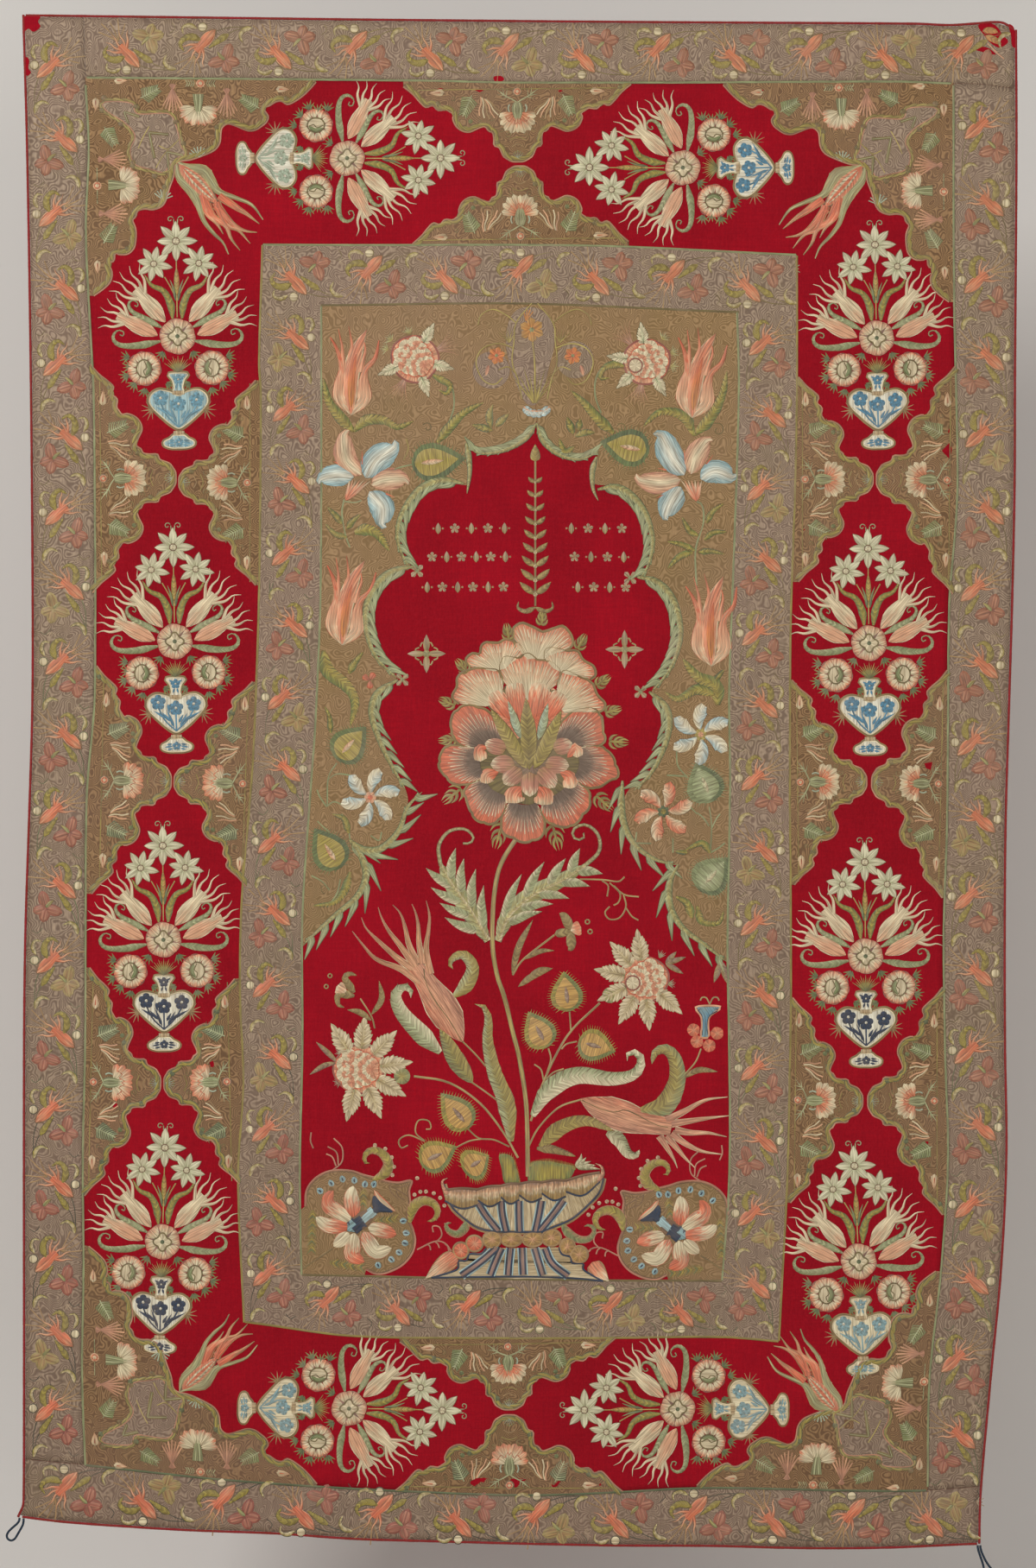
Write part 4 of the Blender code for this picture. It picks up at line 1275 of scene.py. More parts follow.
def scroll_edge(work, rim, width=7.5, stops=("olive", "yellow_olive", "khaki"), lift=0.3, step=15.0, flip=1.0,
                deep="olive_brown"):
    """A chain of scroll leaves along a rim, just inside it, and a pale cord on the rim."""
    rim = np.asarray(rim, complex)
    run = np.abs(np.diff(rim)).sum()
    count = max(2, int(run / step))
    path = smooth_path(rim, count * 4 + 1)
    heading = np.gradient(path)
    heading /= np.abs(heading)
    for k in range(count):
        i = 4 * k
        j = min(i + 6, len(path) - 1)
        m = (i + j) // 2
        inside = 1j * flip
        way = [path[i] + inside * heading[i] * width * 0.85, path[m] + inside * heading[m] * width * 0.6,
               path[j] + inside * heading[j] * width * 0.15]
        work.blade(way, width * 0.48, "leaf", (deep,), lift, 8, 3, relief=0.6)
        work.blade(way, width * 0.34, "leaf", (stops[k % 2], stops[(k + 1) % 2]), lift + 0.3, 7, 3)
        if k % 9 == 4:
            work.ring(way[0], 0.0, 4.4, (deep,), lift + 0.35, rows=3, columns=13)
    work.line(path, 2.4, "dusk_rose", lift - 0.05, len(path))
    work.line(path + 1j * flip * heading * 1.6, 1.3, deep, lift + 0.3, len(path))


def sprig(work, place, deep="moss", pale="pale_green"):
    """A feathery pale sprig over the shadow of its darker ground stitches."""
    work.on(place)
    for k in range(8):
        along = 3.3 * k - 13
        for hand in (-1, 1):
            reach = 12.0 - 0.9 * k
            work.line([complex(0, along), complex(hand * reach, along + 5)], 3.2, deep, 0.05, 3)
    for k in range(8):
        along = 3.3 * k - 13
        for hand in (-1, 1):
            reach = 12.5 - 0.9 * k
            work.line([complex(0, along), complex(hand * reach * 0.6, along + 3.4),
                       complex(hand * reach, along + 8)], 1.5, pale, 0.5, 6, "spike")
    work.line([-17j, 16j], 1.6, pale, 0.5, 4)


def bracket_ornament(work, place, depth, kind):
    """What is worked on one bracket, upright with its root on the frame line."""
    scale = depth / 125.0
    petals = (("coral", "coral", "peach", "cream", "ivory"), ("ivory", "cream", "peach", "coral"))[kind % 2]
    for side in (-1, 1):
        work.on(place)
        work.line([complex(0, 31 * scale), complex(side * 9, 24), complex(side * 17, 20),
                   complex(side * 25, 14)], 2.0, "pale_sage", 0.3, 9)
        for u, v, tip_u, tip_v in ((17, 20, 15, 9), (20, 18, 22, 7), (23, 15, 32, 9), (19, 19, 31, 17),
                                   (15, 21, 26, 24)):
            work.line([complex(side * u, v), complex(side * tip_u, tip_v)], 1.7, "pale_sage", 0.3, 4, "spike")
        for k in range(6):
            turn = 90 + side * (-4 + 10.5 * k)
            way = np.exp(1j * math.radians(turn))
            root = complex(side * (55 - 1.2 * k), 17 + 1.0 * k)
            long = (40 - 2.4 * abs(k - 2.5)) * scale
            work.line([root + 0.1 * long * way, root + 0.4 * long * way - 1.2, root + 0.7 * long * way + 1.2,
                       root + long * way], 2.0, ("peach", "ivory", "tan_rose")[k % 3], 0.3 + 0.05 * (k % 2),
                      9)
        sprig(work, place.inner(complex(side * 76, 36 * scale), -side * 24, 1.05), "dark_sage"
              if kind else "moss")
        work.on(place)
        work.ring(complex(side * 71, 60 * scale), 0.0, 3.6, ("dark_sage", "moss"), 0.3, rows=3, columns=11)
        work.line([complex(side * 11, 50 * scale), complex(side * 14, 40 * scale),
                   complex(side * 12, 34 * scale)], 2.2, "pale_blue_sage", 0.4, 7)
        work.blade([complex(side * 110, 13), complex(side * 133, 14)], 5.4, "drop", ("ivory", "peach"), 0.2,
                   7, 5)
        work.blade([complex(side * 113, 13), complex(side * 130, 14)], 2.6, "drop", ("deep_coral", "coral"),
                   0.6, 6, 3)
    work.on(place)
    work.ring(13j, 0.0, 7.4, ("brown",), 0.2, rows=3, columns=17, relief=0.6)
    work.ring(13j, 0.0, 6.4, ("ivory", "peach"), 0.35, rows=3, columns=15)
    work.ring(13j, 2.0, 5.2, ("coral",), 0.65, rows=3, columns=13)
    carnation(work, place.inner(46j * scale), 27, 33 * scale, petals, 0.35)
    work.on(place)
    for side in (-1, 1):
        work.line([complex(side * 18, 54 * scale), complex(side * 12, 62 * scale),
                   complex(side * 7, 57 * scale), complex(side * 3, 66 * scale), complex(0, 61 * scale)], 1.6,
                  "coral", 1.3, 13)
        work.line([complex(side * 150, 9), complex(0, 9)], 1.4, "olive", 0.15, 12)
        for u, v, size in ((18, 84, 5.0), (27, 76, 4.0), (42, 58, 4.5), (92, 48, 4.5), (60, 64, 4.0),
                           (100, 26, 4.0)):
            start = complex(side * u, v * scale)
            work.line([start] + curl(start, 40 * side + 90, size, 1.0, side), 1.2, "olive_brown", 0.1, 12)
    for k in range(3):
        start = complex(0, (90 + 11 * k) * scale)
        work.line([start - 12 + 3 * k, start - 4j, start + 12 - 3 * k], 1.3, ("olive", "tan_rose")[k % 2],
                  0.1, 9)
    for k in range(7):
        work.line([complex(-4.2 + 1.4 * k, 31 * scale), complex(-7.5 + 2.5 * k, 40 * scale),
                   complex(-5.4 + 1.8 * k, 52 * scale), complex(-2.1 + 0.7 * k, 62 * scale)], 2.5,
                  ("sage", "pale_sage")[k % 2], 1.0 + 0.1 * (k % 2), 8, "stem")
    for k in range(9):
        way = np.exp(1j * math.radians(270 - 72 + 18 * k))
        work.line([complex(0, 122 * scale), complex(0, 122 * scale) + way * (15 - 0.8 * abs(k - 4))], 1.7,
                  "pale_blue_sage", 0.4, 4, "spike")


def bracket_outline(depth, stretch):
    """Closed outline of one bracket and its rim alone, in its own millimetres."""
    half = [complex(s * stretch, d * depth / 125.0) for s, d in BRACKET]
    rim = half[::-1] + [complex(-p.real, p.imag) for p in half[1:]]
    path = smooth_path(rim, 150)
    back = np.linspace(path[-1].real, path[0].real, 24) - 16j
    return np.r_[path, back], path


# Brackets: root on the frame line and tip in layout points, half width shrink, colour strength.
BRACKETS = (
    ((103.5, 555), (204.5, 554), 1.0, 0.3, 0), ((299, 559), (208, 559), 0.9, 0.3, 0),
    ((107, 903), (198.5, 905), 1.0, 0.6, 1), ((291.5, 908), (202, 905), 0.9, 0.6, 1),
    ((99, 1252), (187, 1254), 1.0, 0.9, 1), ((277.5, 1252), (191, 1254), 0.9, 0.9, 1),
    ((1108, 556), (1015, 555), 1.0, 0.2, 0), ((922, 555), (1011, 555), 0.9, 0.2, 0),
    ((1097, 908), (1009, 906), 1.0, 0.4, 0), ((916, 906), (1003, 905), 0.9, 0.4, 0),
    ((1094.5, 1275), (1005, 1275), 1.0, 0.6, 0), ((914, 1274), (999, 1275), 0.9, 0.6, 0),
    ((599, 96), (600, 187.5), 1.0, 0.2, 0), ((603, 284), (602, 192.5), 0.95, 0.2, 0),
    ((590, 1730), (590, 1638), 1.0, 0.7, 1), ((588, 1549), (590, 1632), 0.95, 0.8, 0),
)

BRACKET_EDGES = 3 * (("seam_left", 1), ("frame_left", -1)) + 3 * (("seam_right", -1), ("frame_right", 1)) + (
    ("seam_top", -1), ("frame_top", 1), ("seam_bottom", 1), ("frame_bottom", -1))

# Rim of the corner ground from one frame line to the other, right and down from the corner, in mm.
CORNER_RIM = ((348, 4), (336, 17), (322, 29), (305, 38), (296, 33), (287, 34), (277, 40), (268, 44),
              (275, 56), (272, 65), (265, 71), (255, 77), (244, 78), (233, 74), (223, 70), (213, 68),
              (205, 74), (203, 83), (202, 94), (198, 103), (190, 110), (172, 118), (157, 123), (136, 128),
              (131, 148), (124, 167), (119, 184), (112, 194), (99, 199), (87, 198), (76, 201), (73, 210),
              (68, 215), (72, 226), (73, 238), (71, 254), (66, 262), (58, 267), (46, 267), (41, 265),
              (39, 277), (32, 281), (36, 295), (33, 309), (22, 320), (8, 330))


def stitched(name, bed, draw, *details):
    """One piece of needlework that draw lays out."""
    work = Needlework(bed)
    draw(work, *details)
    return work.finish(name)


def ground_bed():
    return cloth_sizes()["ground_relief"]


# Strips of the outer border: edges on both sides, whether it runs down, from where to where, sprays,
# and the side on which the first spray leans.
BORDER_RUNS = (
    ("border_left", "left_edge", "seam_left", True, -20.0, -2160.0, 19, 1),
    ("border_right", "seam_right", "right_edge", True, -110.0, -2205.0, 18, 1),
    ("border_top", "top_edge", "seam_top", False, -640.0, 735.0, 12, 1),
    ("border_bottom", "seam_bottom", "bottom_edge", False, -735.0, 690.0, 12, -1),
)


def run_of_sprays(name, first, second, down, start, end, count, lean, bed, per_piece=4):
    """The flowers of one strip, in pieces of a few sprays."""
    pitch = (end - start) / count
    made = 0
    for group in range(0, count, per_piece):
        work = Needlework(bed)
        for k in range(group, min(group + per_piece, count)):
            along = start + (k + 0.42) * pitch
            middle = float(EDGES[first](along) + EDGES[second](along)) / 2.0
            here = complex(middle, along) if down else complex(along, middle)
            vivid = float(np.clip(-here.imag / 2300.0 - (0.3 if here.real > 0 else 0.0), 0.0, 1.0))
            faded = (k * 7 + len(name)) % 5 == 0
            work.faded = ("khaki", 0.22 * (1.0 - vivid))
            mirrored = (k % 2 == 0) == (lean > 0)
            work.on(Place(here, 0.0 if down else 90.0, abs(pitch) / 115.0, mirrored))
            border_unit(work, vivid, faded)
        made += 1
        work.finish(f"{name}_sprays_{made}")


class Drawn:
    """Points drawn on a finer grid: its corner in layout points and its steps to a layout point."""

    def __init__(self, x, y, fine):
        self.x, self.y, self.fine = x, y, fine
        self.mm = STEP / fine

    def __call__(self, *pairs):
        return [spot(self.x + u / self.fine, self.y + v / self.fine) for u, v in pairs]

    def at(self, u, v):
        return spot(self.x + u / self.fine, self.y + v / self.fine)


def outlined(work, points, width, shape, stops, lift=0.3, edge="brown", rim=1.1, rows=14, grain="slant",
             blend="sides", **more):
    """A leaf or petal with a thread laid round it."""
    work.blade(points, width + rim, shape, (edge,), lift - 0.15, rows, 3, relief=0.7, **more)
    work.blade(points, width, shape, stops, lift + 0.12, rows, 5, grain, blend, **more)


def fan(work, inner, outer, stops, lift=0.3, columns=19, rows=6, edge="brown", dashes=0, span=(0.36, 0.74),
        scallops=0, dip=0.05):
    """A petal whose stitches run from an inner line out to a scalloped rim."""
    low, high = smooth_path(inner, columns), smooth_path(outer, columns)
    if scallops:
        wave = np.abs(np.sin(np.linspace(0, np.pi * scallops, columns))) ** 0.6
        high = high - (high - low) * dip * (1.0 - wave)
    s = np.linspace(0.0, 1.0, rows)
    grid = low[None, :] + (high - low)[None, :] * s[:, None]
    crown = np.sin(np.pi * np.clip(0.25 + 0.75 * s, 0, 1)) ** 0.6 * 1.25 - 0.25
    around = np.r_[0.0, np.cumsum(np.abs(np.diff(high)))] * 0.8
    away = np.abs(high - low)[None, :] * s[:, None]
    side = np.minimum(1.0, np.minimum(np.arange(columns), np.arange(columns)[::-1]) / 1.5)
    work.lay(grid, lift + crown[:, None] * (0.2 + 0.8 * side)[None, :] * work.relief,
             (around[None, :] + 0 * away, away), stops, s[:, None] + 0.0 * away, 0.1)
    if dashes:
        for k in range(dashes):
            j = (k + 0.5) / dashes * (columns - 1)
            a = np.interp(j, np.arange(columns), low.real) + 1j * np.interp(j, np.arange(columns), low.imag)
            b = np.interp(j, np.arange(columns), high.real) + 1j * np.interp(j, np.arange(columns), high.imag)
            work.line([a + (b - a) * span[0], a + (b - a) * (span[1] - 0.05 * (k % 2))], 1.7, "cream",
                      lift + 0.85, 4, "stem")
    work.line(high, 4.0, edge, lift + 0.3, columns)
    work.line(high, 1.6, "ivory" if edge == "brown_khaki" else edge, lift + 0.75, columns)


def jagged_leaf(work, root, tip, width, stops, lift=0.25, pairs=6):
    """A broad leaf of pointed blades that spread forward from a rib."""
    edge, fill, rib = stops
    ahead = tip - root
    way = ahead / abs(ahead)
    blades = [(root + 0.55 * ahead, tip)]
    for k in range(pairs):
        share = k / pairs
        reach = width * (1.2 - 0.75 * abs(share - 0.35))
        for side in (-1, 1):
            here = root + ahead * (0.03 + 0.62 * share)
            blades.append((here, here + reach * way * np.exp(1j * side * math.radians(62 - 34 * share))))
    for a, b in blades:
        work.blade([a, b], 0.25 * width + 0.7, "leaf", (edge,), lift, 7, 3, relief=0.5)
    for a, b in blades:
        work.blade([a, b - 0.05 * (b - a)], 0.25 * width, "leaf", (fill, rib, rib), lift + 0.35, 7, 3)
    work.blade([root, root + 0.8 * ahead], 0.2 * width, "leaf", (fill, rib), lift + 0.7, 8, 3)
    work.line([root, root + 0.85 * ahead], 0.9, edge, lift + 1.5, 6, "spike")


def rose_spray(work, root, tip, spread=46.0, lift=0.2):
    """A fan of hair-fine rose stitches."""
    ahead = tip - root
    for k in range(11):
        turn = spread * (k / 10.0 - 0.5)
        way = ahead * np.exp(1j * math.radians(turn)) * (1.0 - 0.12 * (k % 2))
        work.line([root + 0.1 * way, root + 0.55 * way, root + way * np.exp(0.12j * (k - 5) / 5.0)], 1.3,
                  (("dusk_rose", "peach"), ("mauve_light", "dusk_rose"))[k % 2], lift, 7, "spike")


def sun_leaf(work, centre, tip, width, slit=("dusk", "mauve_light"), heart=("ochre_gold", "ochre_gold"),
             fringe=("moss", "yellow_olive"), lift=0.3, spikes=19):
    """An egg-shaped leaf fringed all round with fine spikes, with a slit in its middle."""
    ahead = tip - centre
    way = ahead / abs(ahead)
    root = centre - 0.8 * width * way
    for k in range(spikes):
        share = 0.02 + 0.93 * k / (spikes - 1)
        half = float(WIDTHS["egg"](share)) * width
        for side in (-1, 1):
            start = root + share * (tip - root) + 0.8j * side * half * way
            aim = way * np.exp(1j * side * math.radians(125 - 85 * share))
            work.line([start, start + aim * (0.2 * half + 0.2 * width)], 1.5, fringe[1], lift + 0.1, 3,
                      "spike", relief=0.6)
    work.blade([root, centre, tip], width * 0.97, "egg", (fringe[0], fringe[1]), lift + 0.1, 15, 5, "across",
               "sides", relief=0.4)
    work.blade([root + 0.16 * width * way, centre, tip - 0.2 * ahead], width * 0.7, "egg", heart, lift + 0.9,
               14, 5, "across", "aside", relief=0.6)
    outlined(work, [centre - 0.34 * width * way, centre + 0.42 * ahead], 0.13 * width, "leaf", slit,
             lift + 1.7, "olive_brown", 0.8, 9)


def ball_peony(work, centre, radius, turn, lift=0.4, eye=False):
    """A round peony of overlapping pale scales with coral rims that open towards turn."""
    way = np.exp(1j * math.radians(turn))
    ball = [centre + radius * way * (math.cos(a) * (1.0 + 0.05 * math.cos(3 * a)) + 0.96j * math.sin(a))
            for a in np.linspace(0, 2 * np.pi, 14, endpoint=False)]
    work.line(ball, 3.4, "trefoil_edge", lift, 43, closed=True, relief=0.5)
    work.filled(ball, centre, ("coral", "coral", "peach"), lift, 5, 42, relief=0.3)
    rows = ((0.66, (-52, -18, 18, 52), 0.34), (0.44, (-84, -32, 32, 84), 0.36), (0.3, (0,), 0.38),
            (0.42, (-122, 122), 0.35), (0.16, (-100, 100), 0.37), (0.5, (-158, 158), 0.33),
            (0.38, (180,), 0.4))
    for level, (out, turns, size) in enumerate(rows):
        for aim in turns:
            aim = way * np.exp(1j * math.radians(aim))
            here = centre + out * radius * aim
            high = lift + 0.35 + 0.22 * level
            work.ring(here, 0.0, size * radius, ("coral",), high, rows=3, columns=19, relief=0.3)
            work.ring(here, 0.0, size * radius - 1.7, ("peach", "cream", "ivory", "cream"), high + 0.3,
                      rows=4, columns=19, relief=0.4)
            work.ring(here - 0.1 * radius * way, 0.0, size * radius - 4.6, ("coral_rose", "peach"),
                      high + 0.6, rows=3, columns=15, relief=0.4)
    if eye:
        here = centre - way * radius * 0.5
        work.ring(here, 0.0, radius * 0.31, ("cream", "ivory"), lift + 2.6, rows=4, columns=19, relief=0.5)
        work.ring(here, radius * 0.27, radius * 0.33, ("trefoil_edge",), lift + 2.8, rows=3, columns=19,
                  relief=0.5)


def peony_leaves(work, centre, radius, turns, sprays, length, lift=0.2,
                 stops=("dark_sage", "pale_green", "cream")):
    """Cut leaves, and rose sprays, that stand out round a peony."""
    for k, turn in enumerate(turns):
        way = np.exp(1j * math.radians(turn))
        jagged_leaf(work, centre + 0.8 * radius * way, centre + (radius + length) * way, 0.36 * length, stops,
                    lift + 0.05 * (k % 2))
    for turn in sprays:
        way = np.exp(1j * math.radians(turn))
        rose_spray(work, centre + 0.85 * radius * way, centre + (radius + length * 1.25) * way)


def flame_tulip(work, base, tip, lift=0.3):
    """The upright tulip of the tan field, with flame-like petals."""
    ahead = tip - base
    fine = abs(ahead) / 720.0

    def at(*points):
        """Points of a drawing in which the tulip stands 720 steps high on (455, 990)."""
        return [base + ahead * complex(990 - y, 455 - x) / 720.0 for x, y in points]

    for points in (((400, 600), (412, 470), (425, 400), (385, 235)), ((370, 620), (350, 480), (335, 390),
                                                                      (300, 265)),
                   ((510, 620), (530, 500), (540, 430), (520, 345))):
        outlined(work, at(*points), 24 * fine, "spike", ("peach", "coral"), lift - 0.1, "trefoil_edge", 0.7,
                 13, "along", "along")
    for points in (((455, 985), (358, 850), (345, 700), (348, 580), (300, 440), (236, 340)),
                   ((455, 985), (552, 850), (540, 700), (555, 590), (628, 490), (650, 340))):
        outlined(work, at(*points), 62 * fine, "sheath", ("ivory", "peach", "peach", "coral", "coral"),
                 lift + 0.1, "deep_coral", 0.9, 20, "along", "along")
    outlined(work, at((452, 985), (425, 740), (440, 560), (480, 400), (542, 255)), 66 * fine, "leaf",
             ("peach", "coral", "peach"), lift + 0.35, "ivory", 1.4, 18, "along", "sides")
    work.blade(at((452, 930), (440, 740), (447, 580), (465, 460)), 34 * fine, "leaf", ("orange", "coral"),
               lift + 1.3, 12, 5)


def lily(work, drawn, petals, cup, lift=0.3):
    """The blue and rose lily of the tan field, its petals hooked at their tips."""
    for kind, root, middle, tip, width in petals:
        stops = {"blue": ("white", "white", "pale_blue", "sky"), "rose": ("cream", "ivory", "peach",
                                                                          "dusk_rose")}[kind]
        rim = {"blue": "sky", "rose": "dusk_rose"}[kind]
        a, b, c = drawn(root, middle, tip)
        hook = c + (c - b) * 0.35 * np.exp(0.9j if kind == "blue" else -0.9j)
        outlined(work, [a, b, c, hook], width * 1.35 * drawn.mm, "leaf", stops, lift, rim, 1.4, 14, "along",
                 "aside")
    left, right, point = drawn(*cup)
    for k in range(7):
        share = k / 6
        work.blade([point, left + (right - left) * share], 2.6, "drop",
                   ("coral", "peach" if k % 2 else "ivory"), lift + 0.6, 7, 3)


def pinwheel(work, centre, radius, petals, eye, turn=90.0, hand=1, lift=0.4, count=6):
    """A flat flower whose petals hook over at their tips."""
    for k in range(count):
        way = np.exp(1j * math.radians(turn + 360.0 * k / count))
        side = 1j * way * hand
        points = [centre + 0.12 * radius * way, centre + radius * (0.55 * way - 0.03 * side),
                  centre + radius * (0.88 * way + 0.12 * side), centre + radius * (0.96 * way + 0.3 * side)]
        outlined(work, points, radius * 0.24, "petal", petals[k % len(petals)], lift + 0.04 * (k % 2),
                 "brown", 0.9, 10, "slant", "sides")
    work.ring(centre, 0.0, 0.22 * radius, (eye[0],), lift + 0.5, rows=3, columns=15)
    work.ring(centre, 0.0, 0.15 * radius, (eye[1],), lift + 0.9, rows=3, columns=13)


def hook_leaf(work, points, width, stops=("moss", "yellow_olive", "straw"), lift=0.3, edge="dark_sage",
              shape="horn", rows=16):
    """A two-coloured leaf with a fringe of short stitches along one side."""
    width *= 1.4
    outlined(work, points, width, shape, stops, lift, edge, 1.3, rows)
    path = smooth_path(points, 4 * rows)
    heading = np.gradient(path)
    heading /= np.abs(heading)
    for k in range(6, 4 * rows - 8, 4):
        half = width * float(WIDTHS[shape](k / (4.0 * rows)))
        here = path[k] + 1j * heading[k] * half * 0.45
        work.line([here, here + (1j + 0.8) * heading[k] * (half * 0.5 + 0.8)], 0.9, edge, lift + 1.0, 3)


def twig(work, points, width=2.0, stop="sage", lift=0.2):
    work.line(points, width, stop, lift, 4 * len(points))


# The niche's edge: each long cut leaf by its points, its half width and its cut side.
NICHE_LEAVES = (
    (((621.5, 490), (612, 505), (595, 517), (575, 524), (555, 525), (541, 517)), 6.5, 1, 7),
    (((540, 513), (543, 530), (544, 549), (541, 572)), 7.0, 0, 0),
    (((537, 560), (511, 556), (488, 565), (471, 585), (461.5, 607), (462, 632), (474, 658)), 9.5, -1, 8),
    (((479, 656), (455, 661), (436, 677), (425, 700), (424, 728), (435, 760), (459, 785)), 10.0, -1, 9),
    (((461, 787), (438, 802), (430.5, 825), (440, 858), (455, 889), (470, 915)), 9.5, -1, 7),
    (((404, 972), (421, 984), (441, 983), (462, 962), (472, 935), (489, 917)), 9.5, 1, 6),
    (((405, 973), (419, 993), (424, 1015), (413, 1039), (387, 1061), (351, 1094)), 9.5, -1, 7),
    (((621.5, 490), (629, 511), (648, 527), (672, 532), (694, 523)), 6.5, -1, 6),
    (((691, 529), (686, 546), (687, 566), (693, 580)), 7.0, 0, 0),
    (((692, 567), (714, 564), (736, 578), (750, 600), (756, 628), (751, 654), (741, 671)), 9.5, 1, 8),
    (((738, 668), (760, 673), (778, 692), (787, 719), (787, 745), (776, 775), (756, 800)), 10.0, 1, 9),
    (((752, 801), (770, 817), (775, 838), (769, 866), (754, 895), (734, 916)), 9.5, 1, 7),
    (((721, 904), (720, 942), (732, 974), (756, 994), (784, 1002)), 9.5, 1, 6),
    (((786, 1001), (776, 1022), (776, 1049), (791, 1075), (816, 1094), (842, 1114)), 9.5, 1, 6),
)
NICHE_LEFT = ((621.5, 488), (613, 503), (596, 514), (576, 520), (556, 520), (541, 516), (544, 530),
              (545, 548), (540, 562), (511, 556), (488, 565), (471, 585), (461.5, 607), (462, 632),
              (476, 658), (455, 661), (436, 677), (425, 700), (424, 728), (435, 760), (460, 785), (438, 802),
              (430.5, 825), (440, 858), (455, 889), (470, 915), (472, 935), (462, 962), (441, 983),
              (421, 984), (408, 975), (419, 993), (424, 1015), (413, 1039), (387, 1061), (351, 1096))
NICHE_RIGHT = ((621.5, 488), (629, 509), (648, 524), (672, 528), (692, 523), (686, 546), (687, 560),
               (714, 564), (736, 578), (750, 600), (756, 628), (751, 654), (740, 670), (760, 673), (778, 692),
               (787, 719), (787, 745), (776, 775), (755, 800), (770, 817), (775, 838), (769, 866), (754, 895),
               (728, 915), (720, 942), (732, 974), (756, 994), (784, 1002), (776, 1022), (776, 1049),
               (791, 1075), (816, 1094), (842, 1114))


def cut_leaf(work, points, width, cut, teeth):
    """A long leaf whose one side is cut into forward hooks."""
    path = smooth_path(points, 100)
    heading = np.gradient(path)
    heading /= np.abs(heading)
    inner = path - 1j * cut * heading * width * 0.3
    low = path[50].imag < -1130.0
    long = 1.0 if low else 0.78
    teeth = teeth if low else int(1.25 * teeth)
    for k in range(teeth):
        i = int(8 + 84 * k / max(teeth - 1, 1))
        j = min(i + 10, 99)
        reach = long * width * (2.3 - 0.7 * abs(k / max(teeth - 1, 1) - 0.45))
        tip = path[j] + 1j * cut * heading[j] * reach + heading[i] * 14.0 * long
        way = [inner[i], path[i] + 1j * cut * heading[i] * width * 0.55 + heading[i] * 3.0, tip]
        work.blade(way, 7.2, "spike", ("dark_sage",), 0.15, 11, 3, relief=0.7)
        work.blade([way[0], way[1], way[1] + (tip - way[1]) * 0.95], 5.8, "spike",
                   ("sage", "pale_sage", "sage"), 0.42, 10, 3)
    work.blade(points, width * 0.62 + 1.2, "horn", ("dark_sage",), 0.3, 26, 3, relief=0.7)
    work.blade(points, width * 0.62, "horn", ("sage", "straw", "pale_sage")
               if cut > 0 else ("pale_sage", "straw", "sage"), 0.6, 26, 5, "slant", "sides")


def spandrel_left_upper(work):
    """Upper flowers of the tan field left of the niche."""
    d = Drawn(345, 345, 4.419)
    flame_tulip(work, d.at(272, 600), d.at(300, 165))
    for points, width in ((((285, 680), (210, 600), (155, 520), (130, 410)), 24),
                          (((285, 680), (350, 625), (440, 625), (510, 660), (592, 630)), 22),
                          (((715, 740), (780, 660), (850, 590), (952, 535)), 20)):
        hook_leaf(work, d(*points), width * d.mm)
    twig(work, d((690, 390), (775, 430), (800, 520), (785, 610), (720, 740)), 2.6)
    centre = d.at(600, 312)
    peony_leaves(work, centre, 34, (62, 203, 290, 345), (22, 243), 28)
    ball_peony(work, centre, 36, 145)
    for u, v, turn in ((480, 215, 140), (570, 180, 105), (460, 260, 165)):
        tuft(work, d.at(u, v), turn, 12, 6, 120, ("straw", "pale_green"), 0.2, 1.6)
    hook_leaf(work, d((690, 395), (740, 420), (780, 450), (760, 490), (720, 470)), 14 * d.mm)
    for points in (((1000, 680), (890, 650)), ((990, 670), (980, 600), (1000, 545)),
                   ((1010, 660), (1080, 595)),):
        hook_leaf(work, d(*points), 11 * d.mm, shape="leaf", rows=8)
    sun_leaf(work, d.at(665, 842), d.at(860, 820), 102 * d.mm, ("ivory", "peach"), ("yellow_olive", "straw"),
             ("dark_sage", "moss"))
    twig(work, d((590, 850), (510, 870), (480, 890)), 2.2)
    twig(work, d((540, 830), (565, 770), (555, 720)), 2.0, "straw")
    lily(work, d, (("rose", (325, 905), (250, 830), (235, 705), 42), ("blue", (285, 915), (200, 905),
                                                                      (118, 925), 42),
                   ("blue", (345, 920), (400, 830), (492, 765), 50), ("rose", (375, 955), (450, 930),
                                                                      (545, 930), 42),
                   ("blue", (365, 990), (430, 1070), (430, 1155), 46)), ((265, 925), (372, 935), (245, 1035)))
    for a, b in (((215, 850), (180, 835)), ((330, 850), (328, 780)), ((440, 895), (485, 870)), ((450, 1000),
                 (495, 1020))):
        work.line(d(a, b), 3.0, "coral", 0.4, 4, "spike")
    twig(work, d((235, 1030), (225, 1100), (240, 1200), (265, 1275)), 2.6)
    twig(work, d((240, 1040), (290, 1045), (325, 1035)), 2.2)
    for points, width in ((((225, 1155), (190, 1110), (150, 1068)), 13), (((250, 1180), (280, 1140),
                                                                           (322, 1105)), 13),
                          (((250, 1222), (190, 1205), (140, 1155)), 13), (((290, 1200), (350, 1185),
                                                                           (410, 1210), (468, 1295)), 24)):
        hook_leaf(work, d(*points), width * d.mm)
    work.line([d.at(240, 670)] + curl(d.at(240, 670), 180, 9, 0.9, 1), 1.4, "olive_brown", 0.2, 16)
    work.line([d.at(640, 650)] + curl(d.at(640, 650), 60, 8, 0.9, -1), 1.4, "olive_brown", 0.2, 16)


